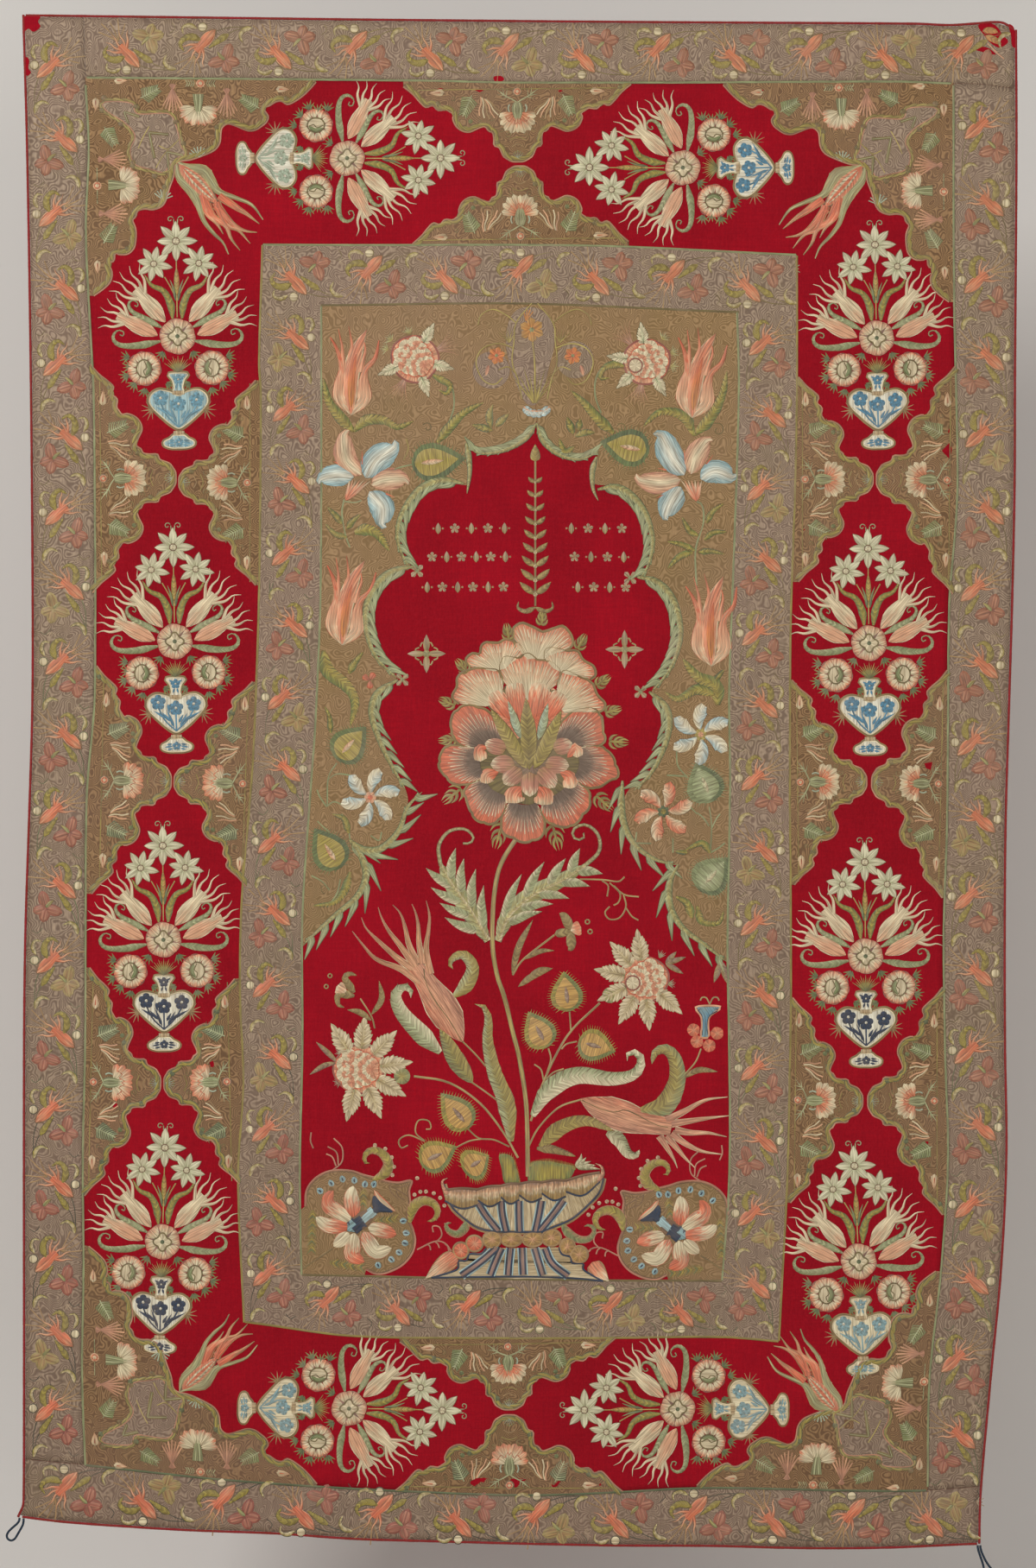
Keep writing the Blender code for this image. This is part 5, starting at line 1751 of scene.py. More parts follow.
def spandrel_left_lower(work):
    """Lower flowers of the tan field left of the niche."""
    e = Drawn(345, 690, 3.563)
    flame_tulip(work, e.at(182, 205), e.at(232, -145))
    for points, width in ((((105, 225), (125, 310), (200, 370), (235, 440), (215, 540)), 24),
                          (((210, 320), (230, 280), (270, 230)), 12), (((135, 565), (130, 500), (110, 455)),
                                                                       9),
                          (((210, 980), (190, 920), (140, 900)), 11), (((215, 1140), (195, 1210), (150, 1265),
                                                                        (60, 1280)), 13)):
        hook_leaf(work, e(*points), width * e.mm)
    for turn in (60, 150, 270):
        way = np.exp(1j * math.radians(turn))
        work.blade([e.at(297, 348), e.at(297, 348) + 13 * way], 5.0, "petal", ("dusk_rose", "coral"), 0.3, 7,
                   5)
    sun_leaf(work, e.at(200, 628), e.at(281, 540), 78 * e.mm, ("ivory", "peach"), ("yellow_olive", "straw"),
             ("dark_sage", "moss"))
    pinwheel(work, e.at(298, 832), 41, (("pale_blue", "white", "cream"), ("cream", "white", "pale_blue")),
             ("peach", "coral"), 80, -1)
    sun_leaf(work, e.at(140, 1070), e.at(68, 960), 80 * e.mm, ("ivory", "peach"), ("yellow_olive", "straw"),
             ("dark_sage", "moss"))
    for points in (((160, 690), (125, 750), (120, 870)), ((120, 760), (160, 735), (215, 740)),
                   ((118, 870), (90, 830), (78, 800)), ((118, 870), (150, 850), (195, 870)),
                   ((130, 975), (100, 950), (80, 930)), ((215, 1010), (205, 950), (180, 900)),
                   ((130, 1215), (100, 1180), (55, 1155)), ((175, 1170), (160, 1230), (120, 1285)),
                   ((345, 975), (335, 1010), (300, 990))):
        twig(work, e(*points), 2.4)
    work.line([e.at(110, 1230)] + curl(e.at(110, 1230), 170, 8, 0.8, -1), 1.6, "olive_brown", 0.2, 16)


def spandrel_right_upper(work):
    """Upper flowers of the tan field right of the niche."""
    d = Drawn(600, 345, 4.419)
    flame_tulip(work, d.at(892, 615), d.at(960, 180))
    for points, width in ((((902, 705), (860, 615), (780, 580), (710, 590), (642, 658)), 22),
                          (((902, 700), (980, 620), (1045, 500), (1070, 370)), 24),
                          (((490, 690), (410, 620), (340, 540), (270, 475)), 22)):
        hook_leaf(work, d(*points), width * d.mm)
    twig(work, d((520, 350), (440, 355), (400, 410), (395, 500), (425, 590)), 2.6)
    centre = d.at(656, 326)
    peony_leaves(work, centre, 33, (98, 172, 222, 300), (130, 258), 28)
    ball_peony(work, centre, 35, 20, eye=True)
    for u, v, turn in ((740, 210, 50), (785, 280, 15), (785, 350, -10)):
        tuft(work, d.at(u, v), turn, 12, 6, 120, ("straw", "pale_green"), 0.2, 1.6)
    hook_leaf(work, d((545, 350), (500, 340), (440, 360), (420, 410), (470, 410)), 15 * d.mm)
    for points in (((285, 700), (250, 610)), ((310, 680), (318, 620)), ((290, 710), (340, 690), (395, 690)),
                   ((290, 760), (240, 790), (210, 720))):
        hook_leaf(work, d(*points), 11 * d.mm, shape="leaf", rows=8)
    sun_leaf(work, d.at(592, 770), d.at(420, 738), 100 * d.mm, ("ivory", "peach"), ("yellow_olive", "straw"),
             ("dark_sage", "moss"))
    lily(work, d, (("blue", (852, 905), (790, 820), (735, 705), 50), ("rose", (885, 900), (910, 810),
                                                                      (965, 730), 44),
                   ("blue", (935, 925), (1010, 885), (1095, 915), 44), ("rose", (835, 930), (730, 945),
                                                                        (625, 930), 42),
                   ("blue", (835, 965), (780, 1050), (755, 1115), 46)), ((835, 930), (942, 930), (915, 1040)))
    for a, b in (((760, 880), (715, 870)), ((855, 850), (852, 770)), ((965, 850), (1000, 800)), ((760, 1000),
                 (705, 1025))):
        work.line(d(a, b), 3.0, "coral", 0.4, 4, "spike")
    twig(work, d((915, 1040), (945, 1060), (950, 1150), (910, 1290), (915, 1470)), 2.8)
    for points, width in ((((965, 1150), (1000, 1090), (1055, 1050)), 13), (((925, 1215), (880, 1190), (840, 1120)), 13),
                          (((955, 1235), (1000, 1200), (1070, 1195)), 12), (((905, 1290), (840, 1260), (765, 1245)), 13),
                          (((895, 1300), (830, 1320), (765, 1385)), 15), (((925, 1300), (990, 1295), (1060, 1310)), 11)):
        hook_leaf(work, d(*points), width * d.mm)
    work.line([d.at(505, 660)] + curl(d.at(505, 660), 80, 8, 0.9, -1), 1.4, "olive_brown", 0.2, 16)
    work.line([d.at(980, 640)] + curl(d.at(1030, 640), -10, 10, 0.9, -1), 1.4, "olive_brown", 0.2, 16)


def spandrel_right_lower(work):
    """Lower flowers of the tan field right of the niche."""
    e = Drawn(600, 690, 3.563)
    flame_tulip(work, e.at(800, 292), e.at(805, -75))
    for points, width in ((((825, 450), (815, 370), (740, 330), (680, 258)), 26),
                          (((820, 410), (740, 385), (660, 425), (605, 395)), 18),
                          (((815, 350), (830, 330), (852, 305)), 9), (((700, 1060), (650, 1055)), 8),
                          (((795, 1060), (760, 1020), (690, 1050)), 12), (((720, 1330), (700, 1270),
                                                                           (650, 1240)), 15),
                          (((740, 1280), (760, 1345), (830, 1350), (850, 1300)), 12)):
        hook_leaf(work, e(*points), width * e.mm)
    pinwheel(work, e.at(755, 572), 42, (("pale_blue", "white", "cream"), ("cream", "white", "pale_blue")),
             ("straw", "peach"), 95, -1)
    pinwheel(work, e.at(600, 890), 41, (("coral", "peach", "cream"), ("cream", "peach", "coral")),
             ("dark_sage", "olive"), 70, 1)
    sun_leaf(work, e.at(775, 790), e.at(736, 686), 82 * e.mm, ("ivory", "pale_green"), ("pale_green", "sage"),
             ("dark_sage", "sage"))
    sun_leaf(work, e.at(790, 1165), e.at(868, 1080), 82 * e.mm, ("ivory", "pale_green"),
             ("pale_green", "sage"), ("dark_sage", "sage"))
    for points in (((655, 640), (660, 700), (700, 750)), ((615, 740), (700, 745)),
                   ((790, 870), (800, 950), (795, 1060)), ((800, 960), (820, 920), (835, 900)),
                   ((790, 950), (765, 915), (740, 895)), ((795, 1060), (830, 1040), (855, 1020)),
                   ((700, 860), (740, 900)), ((490, 975), (485, 1010)), ((485, 1020), (550, 1022)),
                   ((640, 1000), (640, 1060))):
        twig(work, e(*points), 2.4)


def crest(work):
    """The small bouquet above the niche, on its own grey ground."""
    d = Drawn(600, 345, 4.419)
    axis = 85
    for side in (-1, 1):
        def s(*points):
            return d(*[(axis + side * (u - axis), v) for u, v in points])

        work.line(s((150, 520), (170, 420), (200, 330), (190, 220), (180, 130), (100, 30)), 2.0, "straw", 0.4,
                  21)
        work.line(s((180, 130), (230, 90), (300, 60), (360, 90), (375, 140)), 1.8, "straw", 0.3, 16)
        work.line(s((190, 260), (270, 235), (350, 260), (385, 330), (350, 420), (290, 445), (250, 410)), 2.0,
                  "straw", 0.4, 24)
        work.line(s((180, 390), (220, 355), (270, 370)), 1.8, "straw", 0.3, 9)
        small_flower(work, s((280, 297))[0], 13.5, 6, ("coral", "orange"), "sage", 0.3, 75.0)
        work.blade(s((320, 345), (335, 400)), 3.2, "leaf", ("dusk_rose", "peach"), 0.3, 7, 3)
        for k in range(5):
            work.line(s((215, 230), (180 + 22 * k, 165 + 6 * abs(k - 2))), 2.0, "straw", 0.3, 5, "spike")
            work.line(s((90, 540), (60 + 30 * k + 20, 400 - 12 * (k % 2) - 40 * (k == 2))), 3.2,
                      ("straw", "olive"), 0.35, 7, "spike")
    small_flower(work, d.at(70, 165), 19.0, 6, ("orange", "ochre"), "sage", 0.5, 95.0)
    twig(work, d((75, 230), (85, 330), (90, 540)), 2.4, "straw", 0.3)
    for k in range(4):
        work.line(d((40, 120), (30 + 16 * k, 60 + 8 * abs(k - 1.5))), 1.6, "orange", 0.3, 4)
    for k in range(6):
        angle = math.radians(200 + 28 * k)
        here = d.at(95, 565) + 16 * complex(math.cos(angle), 0.55 * math.sin(angle))
        work.ring(here, 0.0, 6.2, ("white", "pale_blue"), 0.3 + 0.02 * k, rows=3, columns=13)
    work.line(d((30, 560), (60, 580), (130, 580), (160, 560)), 3.0, "peach", 0.9, 9)


CREST_GROUND = ((612, 356), (628, 360), (640, 376), (642, 400), (636, 425), (630, 450), (622, 468),
                (610, 468), (600, 450), (592, 428), (586, 400), (589, 374), (598, 360))


def great_peony(work):
    """The large peony in the head of the niche."""
    d = Drawn(500, 700, 5.409)
    centre = d.at(610, 830)
    for u, v, long in ((690, 100, 24), (480, 190, 26), (930, 250, 26), (205, 400, 27), (1060, 490, 26),
                       (115, 620, 27), (1120, 670, 26), (120, 850, 28), (1150, 860, 30), (150, 1180, 36),
                       (1060, 1225, 34), (430, 1420, 40), (770, 1430, 40)):
        here = d.at(u, v)
        way = (here - centre) / abs(here - centre)
        rib = here - 0.3 * long * way
        for k in range(3):
            for side in (-1, 1):
                start = rib + 0.22 * k * long * way
                aim = way * np.exp(1j * side * math.radians(62 - 16 * k))
                points = [start, start + 0.3 * long * aim, start + 0.55 * long * aim * np.exp(-0.35j * side)]
                work.blade(points, 2.6, "drop", ("olive_brown",), 0.15, 8, 3, relief=0.6)
                work.blade(points, 1.8, "drop", ("olive", "straw"), 0.35, 8, 3)
        work.blade([rib, rib + 0.6 * long * way, rib + long * way], 2.2, "drop", ("olive", "straw"), 0.5, 9,
                   3)
    glow = ("cream", "ivory", "ivory", "peach", "coral")
    tiers = ((((600, 345), (650, 340), (700, 345)), ((520, 270), (508, 160), (555, 112), (620, 135),
                                                     (700, 165), (765, 150), (830, 133), (872, 185),
                                                     (885, 250), (850, 285)), glow, 4, 0.10),
             (((390, 420), (430, 410), (470, 400)), ((222, 385), (212, 345), (255, 305), (300, 308),
                                                     (312, 258), (350, 232), (420, 240), (470, 213),
                                                     (545, 245), (582, 300)), glow, 4, 0.2),
             (((760, 400), (800, 420), (850, 440)), ((702, 335), (712, 280), (770, 268), (850, 290),
                                                     (912, 285), (948, 345), (1010, 380), (1028, 440),
                                                     (1000, 470)), glow, 4, 0.3),
             (((520, 560), (610, 600), (700, 560)), ((435, 470), (425, 380), (450, 325), (530, 330),
                                                     (600, 303), (660, 335), (725, 352), (785, 375),
                                                     (808, 430), (790, 500)), glow, 5, 0.4),
             (((340, 640), (400, 620), (450, 590)), ((165, 622), (128, 580), (152, 520), (162, 455),
                                                     (230, 402), (330, 398), (405, 405), (440, 450),
                                                     (445, 500)), glow, 4, 0.45),
             (((760, 600), (800, 640), (830, 680)), ((800, 500), (812, 425), (860, 412), (935, 455),
                                                     (1005, 482), (1035, 560), (1088, 612), (1070, 665),
                                                     (1010, 670)), glow, 4, 0.5), )
    for inner, outer, stops, scallops, lift in tiers:
        fan(work, d(*inner), d(*outer), stops, lift, 31, 7, "brown_khaki", 22, (0.62, 0.9), scallops, 0.04)
    smoky = ("mauve_dark", "mauve_dark", "smoke", "dusk_rose", "coral", "coral")
    for u, v, wide, high, silks in ((630, 1010, 330, 245, ("dusk", "olive_brown", "olive_brown")),
                                    (618, 690, 235, 210, ("coral", "coral", "peach"))):
        heart = [d.at(u + wide * math.cos(a), v + high * math.sin(a)) for a in np.linspace(0, 2 * np.pi, 16, False)]
        work.filled(heart, d.at(u, v), silks, 0.3, 5, 40, relief=0.6)
    lowers = ((((460, 880), (400, 860), (330, 880), (270, 895)), ((452, 850), (420, 750), (350, 665),
                                                                  (250, 628), (155, 650), (122, 720),
                                                                  (118, 790), (150, 855), (200, 890)), 0.6),
              (((310, 900), (300, 960), (310, 1030), (340, 1080)), ((210, 890), (100, 882), (60, 930),
                                                                    (38, 995), (68, 1060), (105, 1105),
                                                                    (170, 1132), (240, 1122), (300, 1100)),
               0.55), (((330, 1090), (370, 1150), (420, 1180), (470, 1200)),
                       ((235, 1122), (200, 1180), (225, 1250), (255, 1325), (320, 1372), (390, 1372),
                        (440, 1330), (470, 1260)), 0.5), (((490, 1230), (550, 1250), (610, 1255),
                                                           (660, 1240)),
                                                          ((470, 1260), (438, 1340), (440, 1420), (510, 1470),
                                                           (600, 1492), (680, 1462), (712, 1395), (690, 1310),
                                                           (670, 1280)), 0.6),
              (((690, 1230), (760, 1200), (830, 1150), (880, 1090)), ((680, 1305), (735, 1370), (805, 1392),
                                                                      (880, 1392), (945, 1330), (992, 1260),
                                                                      (990, 1180), (940, 1130)), 0.5),
              (((890, 1080), (920, 1020), (920, 960), (900, 900)), ((920, 1115), (970, 1145), (1040, 1150),
                                                                    (1105, 1110), (1165, 1085), (1165, 1020),
                                                                    (1130, 945), (1070, 890), (980, 885)),
               0.55), (((890, 890), (850, 850), (800, 840), (770, 850)), ((1040, 892), (1088, 850),
                                                                          (1072, 750), (1060, 680),
                                                                          (985, 643), (900, 660), (830, 715),
                                                                          (780, 800)), 0.6), )
    for inner, outer, lift in lowers:
        fan(work, d(*inner), d(*outer), smoky, lift, 31, 8, "brown_khaki", 20, (0.4, 0.78), scallops=5,
            dip=0.05)
    small = ((((350, 900), (300, 905), (305, 985)), 8.5, 0), (((420, 1050), (350, 1075), (345, 1125)), 9, 0),
             (((560, 1140), (520, 1190), (520, 1250)), 12, 0), (((670, 1140), (705, 1190), (705, 1262)), 12,
                                                                0), (((800, 1050), (860, 1080), (872, 1160)),
                                                                     9, 0),
             (((850, 960), (905, 900), (912, 960)), 8.5, 0), (((470, 900), (400, 885), (332, 868)), 10, 1),
             (((520, 1000), (440, 1000), (368, 1002)), 10, 1), (((560, 1030), (500, 1080), (452, 1125)), 10.5,
                                                                1), (((615, 1050), (615, 1120), (615, 1205)),
                                                                     10.5, 1),
             (((670, 1030), (720, 1080), (772, 1148)), 10.5, 1), (((710, 1000), (790, 1005), (862, 1012)), 10,
                                                                  1), (((760, 900), (820, 885), (882, 868)),
                                                                       10, 1))
    for points, width, kind in small:
        outlined(work, d(*points), width * 1.35, "petal" if kind == 0 else "broad",
                 (("coral", "coral", "peach", "ivory"), ("tan_rose", "dusk_rose", "dusk_rose",
                                                         "cream"))[kind], 0.95 + 0.2 * kind, "olive_brown",
                 1.2, 10, "along", "along")
    for root, tip, width in (((510, 730), (372, 545), 15), ((552, 710), (520, 482), 16),
                             ((640, 720), (680, 482), 17), ((725, 720), (822, 548), 15)):
        outlined(work, d(root, tip), width, "petal", ("coral", "coral", "coral", "peach", "cream"), 0.95,
                 "olive_brown", 2.6, 12, "along", "along")
    for points, width, stops in ((((560, 840), (520, 730), (478, 605)), 6, ("pale_green", "pale_blue_sage")),
                                 (((668, 850), (700, 740), (730, 618)), 6, ("pale_green", "pale_blue_sage")),
                                 (((595, 1030), (500, 870), (370, 655)), 10.5, ("olive", "straw", "khaki")),
                                 (((640, 1030), (720, 880), (812, 665)), 10.5, ("straw", "olive", "straw")),
                                 (((612, 1035), (605, 820), (590, 585)), 12,
                                  ("straw", "olive_brown", "straw"))):
        outlined(work, d(*points), width, "leaf", stops, 1.6, "olive_brown", 1.0, 16)


def acanthus(work, rib, curl_end, spikes, drawn, lift=0.3):
    """A long leaf of forward spikes whose end rolls up."""
    work.blade(drawn(*rib), 15.0, "broad", ("brown",), lift - 0.2, 20, 3, relief=0.5)
    work.blade(drawn(*rib), 13.5, "broad", ("sage", "straw", "pale_sage"), lift - 0.05, 20, 5, "slant",
               "sides")
    for root, tip in spikes:
        outlined(work, drawn(root, ((root[0] * 0.45 + tip[0] * 0.55) + (tip[1] - root[1]) * 0.05,
                                    (root[1] * 0.45 + tip[1] * 0.55) - (tip[0] - root[0]) * 0.05), tip), 7.6,
                 "drop", ("pale_sage", "sage", "cream"), lift, "brown", 1.0, 11)
    outlined(work, drawn(*rib), 5.0, "stem", ("cream", "straw", "pale_sage"), lift + 0.35, "brown", 1.0, 22)
    outlined(work, drawn(rib[-1], *curl_end), 2.6, "stem", ("pale_sage", "khaki"), lift + 0.3, "brown", 0.7,
             18)


def finger(work, drawn, points, width, stops=("dusk_rose", "peach", "ivory"), lift=0.45):
    outlined(work, drawn(*points), width * 1.2, "spike", stops, lift, "ivory", 0.8, 18, "along", "along")


def plant(work):
    """Stem, leaves, tulips and small flowers that grow from the bowl."""
    a, b, c = Drawn(345, 1035, 5.059), Drawn(600, 1035, 5.059), Drawn(470, 950, 5.807)
    stem = [spot(x, y) for x, y in ((598, 971), (584, 993), (576.5, 1012), (571.5, 1046), (570.5, 1095),
                                    (576, 1130), (584, 1154), (594, 1195), (601, 1223), (608, 1265),
                                    (610.5, 1300), (611.5, 1362))]
    work.line(stem, 7.4, "brown", 0.15, 60)
    work.line(stem, 5.6, ("khaki", "straw", "khaki"), 0.5, 60)
    acanthus(work, ((552, 810), (440, 620), (300, 420), (232, 290)), ((222, 170), (290, 75), (395, 58),
                                                                      (455, 110), (435, 152), (385, 155)),
             (((330, 450), (135, 320)), ((390, 550), (168, 450)), ((440, 640), (228, 555)),
              ((490, 740), (262, 652)), ((300, 410), (337, 185)), ((370, 500), (392, 255)),
              ((440, 600), (472, 325)), ((520, 740), (525, 435))), c)
    acanthus(work, ((618, 810), (690, 640), (850, 500), (1050, 400), (1210, 300)),
             ((1300, 210), (1295, 100), (1220, 32), (1145, 45), (1120, 95), (1155, 132), (1205, 110),
              (1195, 85)), (((660, 680), (780, 360)), ((800, 540), (932, 278)), ((960, 450), (1076, 255)),
                            ((1110, 360), (1172, 188)), ((680, 690), (918, 612)), ((760, 590), (992, 562)),
                            ((880, 490), (1100, 526)), ((1030, 410), (1240, 445)),
                            ((1150, 340), (1325, 360))), c)
    for points in (((1170, 395), (1330, 400), (1430, 412), (1472, 380)), ((1320, 405), (1362, 440),
                                                                          (1355, 512)),
                   ((1370, 420), (1440, 490), (1432, 550), (1398, 572)), ((1400, 440), (1470, 500),
                                                                          (1568, 515)),
                   ((1465, 500), (1482, 580), (1440, 655), (1370, 665), (1340, 620), (1372, 580)),
                   ((1482, 590), (1520, 645), (1566, 672))):
        twig(work, c(*points), 2.4, "khaki")
    for points, width in ((((715, 1040), (760, 850), (855, 668)), 22), (((790, 935), (900, 880), (1000, 875)), 16),
                          (((830, 1045), (900, 1010), (985, 995)), 20)):
        outlined(work, c(*points), width * c.mm, "leaf", ("khaki", "brown_khaki"), 0.3, "brown", 0.7, 12)
    twig(work, c((720, 1040), (790, 935), (1000, 770)), 3.0, "khaki")
    for u, v, turn in ((1060, 640, 150), (1112, 850, 230)):
        outlined(work, [c.at(1110, 745), (c.at(1110, 745) + c.at(u, v)) / 2 + 3j, c.at(u, v),
                        c.at(u, v) + 7 * np.exp(1j * math.radians(turn))], 7.0, "broad",
                 ("khaki", "brown_khaki"), 0.3, "brown", 0.8)
    outlined(work, c((1000, 765), (1080, 750), (1110, 740)), 6.0, "broad", ("khaki",), 0.35, "brown", 0.8, 9)
    work.blade(c((1105, 740), (1180, 720)), 11.0, "petal", ("cream", "peach", "coral", "peach"), 0.6, 9, 5)
    for u, v in ((1222, 682), (1240, 748)):
        work.ring(c.at(u, v), 2.2, 4.4, ("khaki",), 0.3, rows=3, columns=15)

    rose = ("dusk_rose", "peach", "coral_rose")
    for points, width in ((((720, 520), (600, 440), (460, 385), (380, 300), (318, 220)), 4.6),
                          (((700, 460), (580, 375), (480, 285), (400, 205), (372, 140)), 4.6),
                          (((690, 430), (600, 305), (530, 215), (490, 140), (470, 80)), 4.4),
                          (((700, 410), (650, 295), (630, 205), (600, 115), (555, 65)), 4.2),
                          (((730, 410), (710, 285), (705, 185), (690, 112), (668, 60)), 4.2),
                          (((775, 470), (752, 330), (765, 220), (772, 130), (752, 40)), 4.4)):
        finger(work, a, points, width, ("peach", "ochre_rose", "dusk_rose"))
    hook_leaf(work, a((915, 600), (990, 530), (1025, 430), (975, 358), (915, 372), (890, 410), (910, 442)),
              9.5, ("olive", "straw", "pale_green"), 0.25, "brown")
    hook_leaf(work, a((835, 930), (720, 820), (610, 700), (572, 600), (615, 545), (660, 565), (662, 612)),
              12.0, ("cream", "pale_green", "sage"), 0.25, "brown")
    hook_leaf(work, a((1025, 1110), (930, 980), (880, 880), (830, 790)), 9.5, ("straw", "olive", "sage"), 0.3,
              "brown", "leaf")
    outlined(work, a((965, 865), (880, 720), (790, 580), (690, 430)), 24.0, "gourd", rose, 0.5, "ivory", 1.3,
             18, "along", "sides")
    work.line(a((960, 860), (880, 730), (800, 620), (750, 520), (738, 440)), 1.8, "olive_brown", 1.6, 18)
    twig(work, a((960, 860), (1040, 940), (1100, 1010)), 2.6, "khaki")
    twig(work, a((1020, 1105), (1100, 1160), (1185, 1222)), 2.6, "khaki")
    hook_leaf(work, a((1250, 1450), (1222, 1230), (1150, 1040), (1112, 860), (1118, 730), (1085, 655),
                      (1035, 645)), 11.0, ("straw", "olive", "pale_green"), 0.3, "brown")
    twig(work, a((680, 1070), (880, 1105), (1060, 1220), (1200, 1390), (1290, 1545)), 3.4, "khaki", 0.2)
    twig(work, a((990, 1370), (1060, 1430), (1150, 1440), (1240, 1480)), 2.4, "khaki")
    twig(work, a((905, 1500), (1000, 1450), (1080, 1435)), 2.4, "khaki")
    centre = a.at(360, 1030)
    peony_leaves(work, centre, 38, (122, 84, 46, 8, -30, -66, -104), (), 44,
                 stops=("pale_sage", "khaki", "ivory"))
    work.ring(a.at(610, 1070), 0.0, 12.5, ("straw", "sage"), 0.3, rows=4, columns=15)
    ball_peony(work, centre, 38, 180)
    tuft(work, a.at(260, 940), 140, 12, 6, 80, ("khaki", "pale_blue_sage"))
    tuft(work, a.at(250, 1100), 205, 12, 6, 80, ("khaki", "pale_blue_sage"))
    for points in (((230, 990), (170, 930), (105, 870)), ((228, 992), (150, 1010), (68, 1062))):
        outlined(work, a(*points), 4.0, "leaf", ("khaki", "dusk"), 0.25, "brown", 0.6, 9)
    twig(work, a((365, 615), (430, 720), (450, 790)), 2.4, "khaki")
    for points in (((430, 710), (490, 620), (475, 510)), ((430, 745), (360, 695), (288, 682))):
        outlined(work, a(*points), 4.6, "leaf", ("khaki", "brown_khaki"), 0.25, "brown", 0.6, 10)
    for points in (((330, 580), (275, 500), (300, 470), (345, 480)), ((330, 600), (240, 590), (235, 650),
                                                                      (272, 668))):
        outlined(work, a(*points), 7.5, "horn", ("khaki", "brown_khaki"), 0.25, "brown", 0.6, 12)
    work.blade(a((285, 580), (225, 545)), 10.0, "petal", ("cream", "peach", "cream"), 0.6, 8, 5)
    for u, v in ((187, 482), (165, 545)):
        work.ring(a.at(u, v), 2.0, 4.0, ("khaki",), 0.3, rows=3, columns=13)
    for points in (((745, 1450), (690, 1400), (705, 1330), (765, 1330), (780, 1375), (750, 1380)),
                   ((740, 1450), (650, 1415), (592, 1445), (605, 1490), (645, 1475))):
        twig(work, a(*points), 2.2, "khaki")
    for centre_at, tip_at in (((955, 1310), (838, 1168)), ((790, 1545), (930, 1480)),
                              ((1040, 1580), (1120, 1530))):
        sun_leaf(work, a.at(*centre_at), a.at(*tip_at), 26.0)

    twig(work, b((75, 1330), (150, 1100), (290, 830), (480, 640)), 3.4, "khaki", 0.2)
    for points in (((302, 690), (310, 800)), ((178, 905), (192, 970), (165, 1060)),
                   ((345, 865), (285, 880), (255, 910)), ((150, 1095), (135, 1030), (95, 998)),
                   ((165, 1085), (210, 1045), (268, 1025))):
        twig(work, b(*points), 2.4, "khaki")
    for centre_at, tip_at in (((287, 610), (268, 455)), ((135, 830), (60, 690)), ((430, 885), (572, 925))):
        sun_leaf(work, b.at(*centre_at), b.at(*tip_at), 25.5)
    centre = b.at(740, 505)
    peony_leaves(work, centre, 36, (98, 132, 168, 204, 240, 276, 318), (), 42,
                 stops=("pale_sage", "khaki", "ivory"))
    work.ring(b.at(540, 595), 0.0, 12.0, ("straw", "sage"), 0.3, rows=4, columns=15)
    ball_peony(work, centre, 36, 15, eye=True)
    for u, v, turn in ((830, 375, 60), (880, 530, 0)):
        tuft(work, b.at(u, v), turn, 12, 6, 80, ("khaki", "pale_blue_sage"))
    for tip in ((930, 340), (985, 372), (970, 470)):
        outlined(work, b((865, 410), tip), 4.0, "leaf", ("khaki", "dusk"), 0.25, "brown", 0.6, 9)
    hook_leaf(work, b((85, 1300), (180, 1150), (340, 1065), (540, 1085), (680, 1060), (725, 980), (685, 928),
                      (632, 950), (640, 982)), 12.0, ("cream", "cream", "pale_green", "sage"), 0.3, "brown",
              rows=22)
    hook_leaf(work, b((720, 1270), (860, 1240), (930, 1110), (925, 980), (870, 912), (805, 930), (785, 1000)),
              13.0, ("sage", "straw", "olive"), 0.3, "brown", rows=20)
    hook_leaf(work, b((130, 1480), (250, 1370), (400, 1330), (560, 1390)), 10.0, ("straw", "olive"), 0.25,
              "brown")
    hook_leaf(work, b((520, 1400), (590, 1440), (640, 1520), (690, 1535), (712, 1500)), 9.0,
              ("cream", "sage"), 0.25, "brown")
    hook_leaf(work, b((110, 1490), (200, 1495), (338, 1537)), 5.5, ("khaki", "brown_khaki"), 0.25, "brown")
    outlined(work, b((0, 545), (90, 480), (205, 435)), 5.0, "leaf", ("khaki", "brown_khaki"), 0.25, "brown",
             0.6, 10)
    twig(work, b((370, 1205), (240, 1250), (120, 1370), (62, 1480)), 2.8, "khaki")
    for points, width in ((((870, 1330), (980, 1275), (1100, 1212), (1230, 1193)), 4.4),
                          (((900, 1350), (1000, 1335), (1110, 1318), (1237, 1303)), 4.2),
                          (((920, 1385), (1010, 1402), (1120, 1405), (1225, 1427)), 4.2),
                          (((900, 1405), (980, 1465), (1080, 1512), (1202, 1530)), 4.2),
                          (((870, 1420), (930, 1490), (980, 1550), (1040, 1610)), 4.2),
                          (((830, 1420), (880, 1500), (915, 1560), (935, 1610)), 4.2)):
        finger(work, b, points, width)
    outlined(work, b((368, 1205), (520, 1270), (700, 1330), (900, 1370)), 23.0, "gourd", rose, 0.5, "ivory",
             1.3, 18, "along", "sides")
    work.line(b((375, 1208), (470, 1255), (560, 1280), (640, 1270), (800, 1350), (880, 1370)), 1.8,
              "olive_brown", 1.6, 18)
    for u, v in ((1030, 800), (1050, 868), (1122, 892), (1168, 820)):
        work.ring(b.at(u, v), 0.0, 9.8, ("peach", "coral", "coral"), 0.4, 5, 0.06, 0.0, 3, 21)
    funnel = b((1075, 840), (1080, 780), (1075, 720), (1045, 665)), b((1118, 840), (1115, 780), (1125, 720),
                                                                      (1190, 665))
    work.line([*funnel[0], *funnel[1][::-1]], 3.4, "peach", 0.55, 33, closed=True)
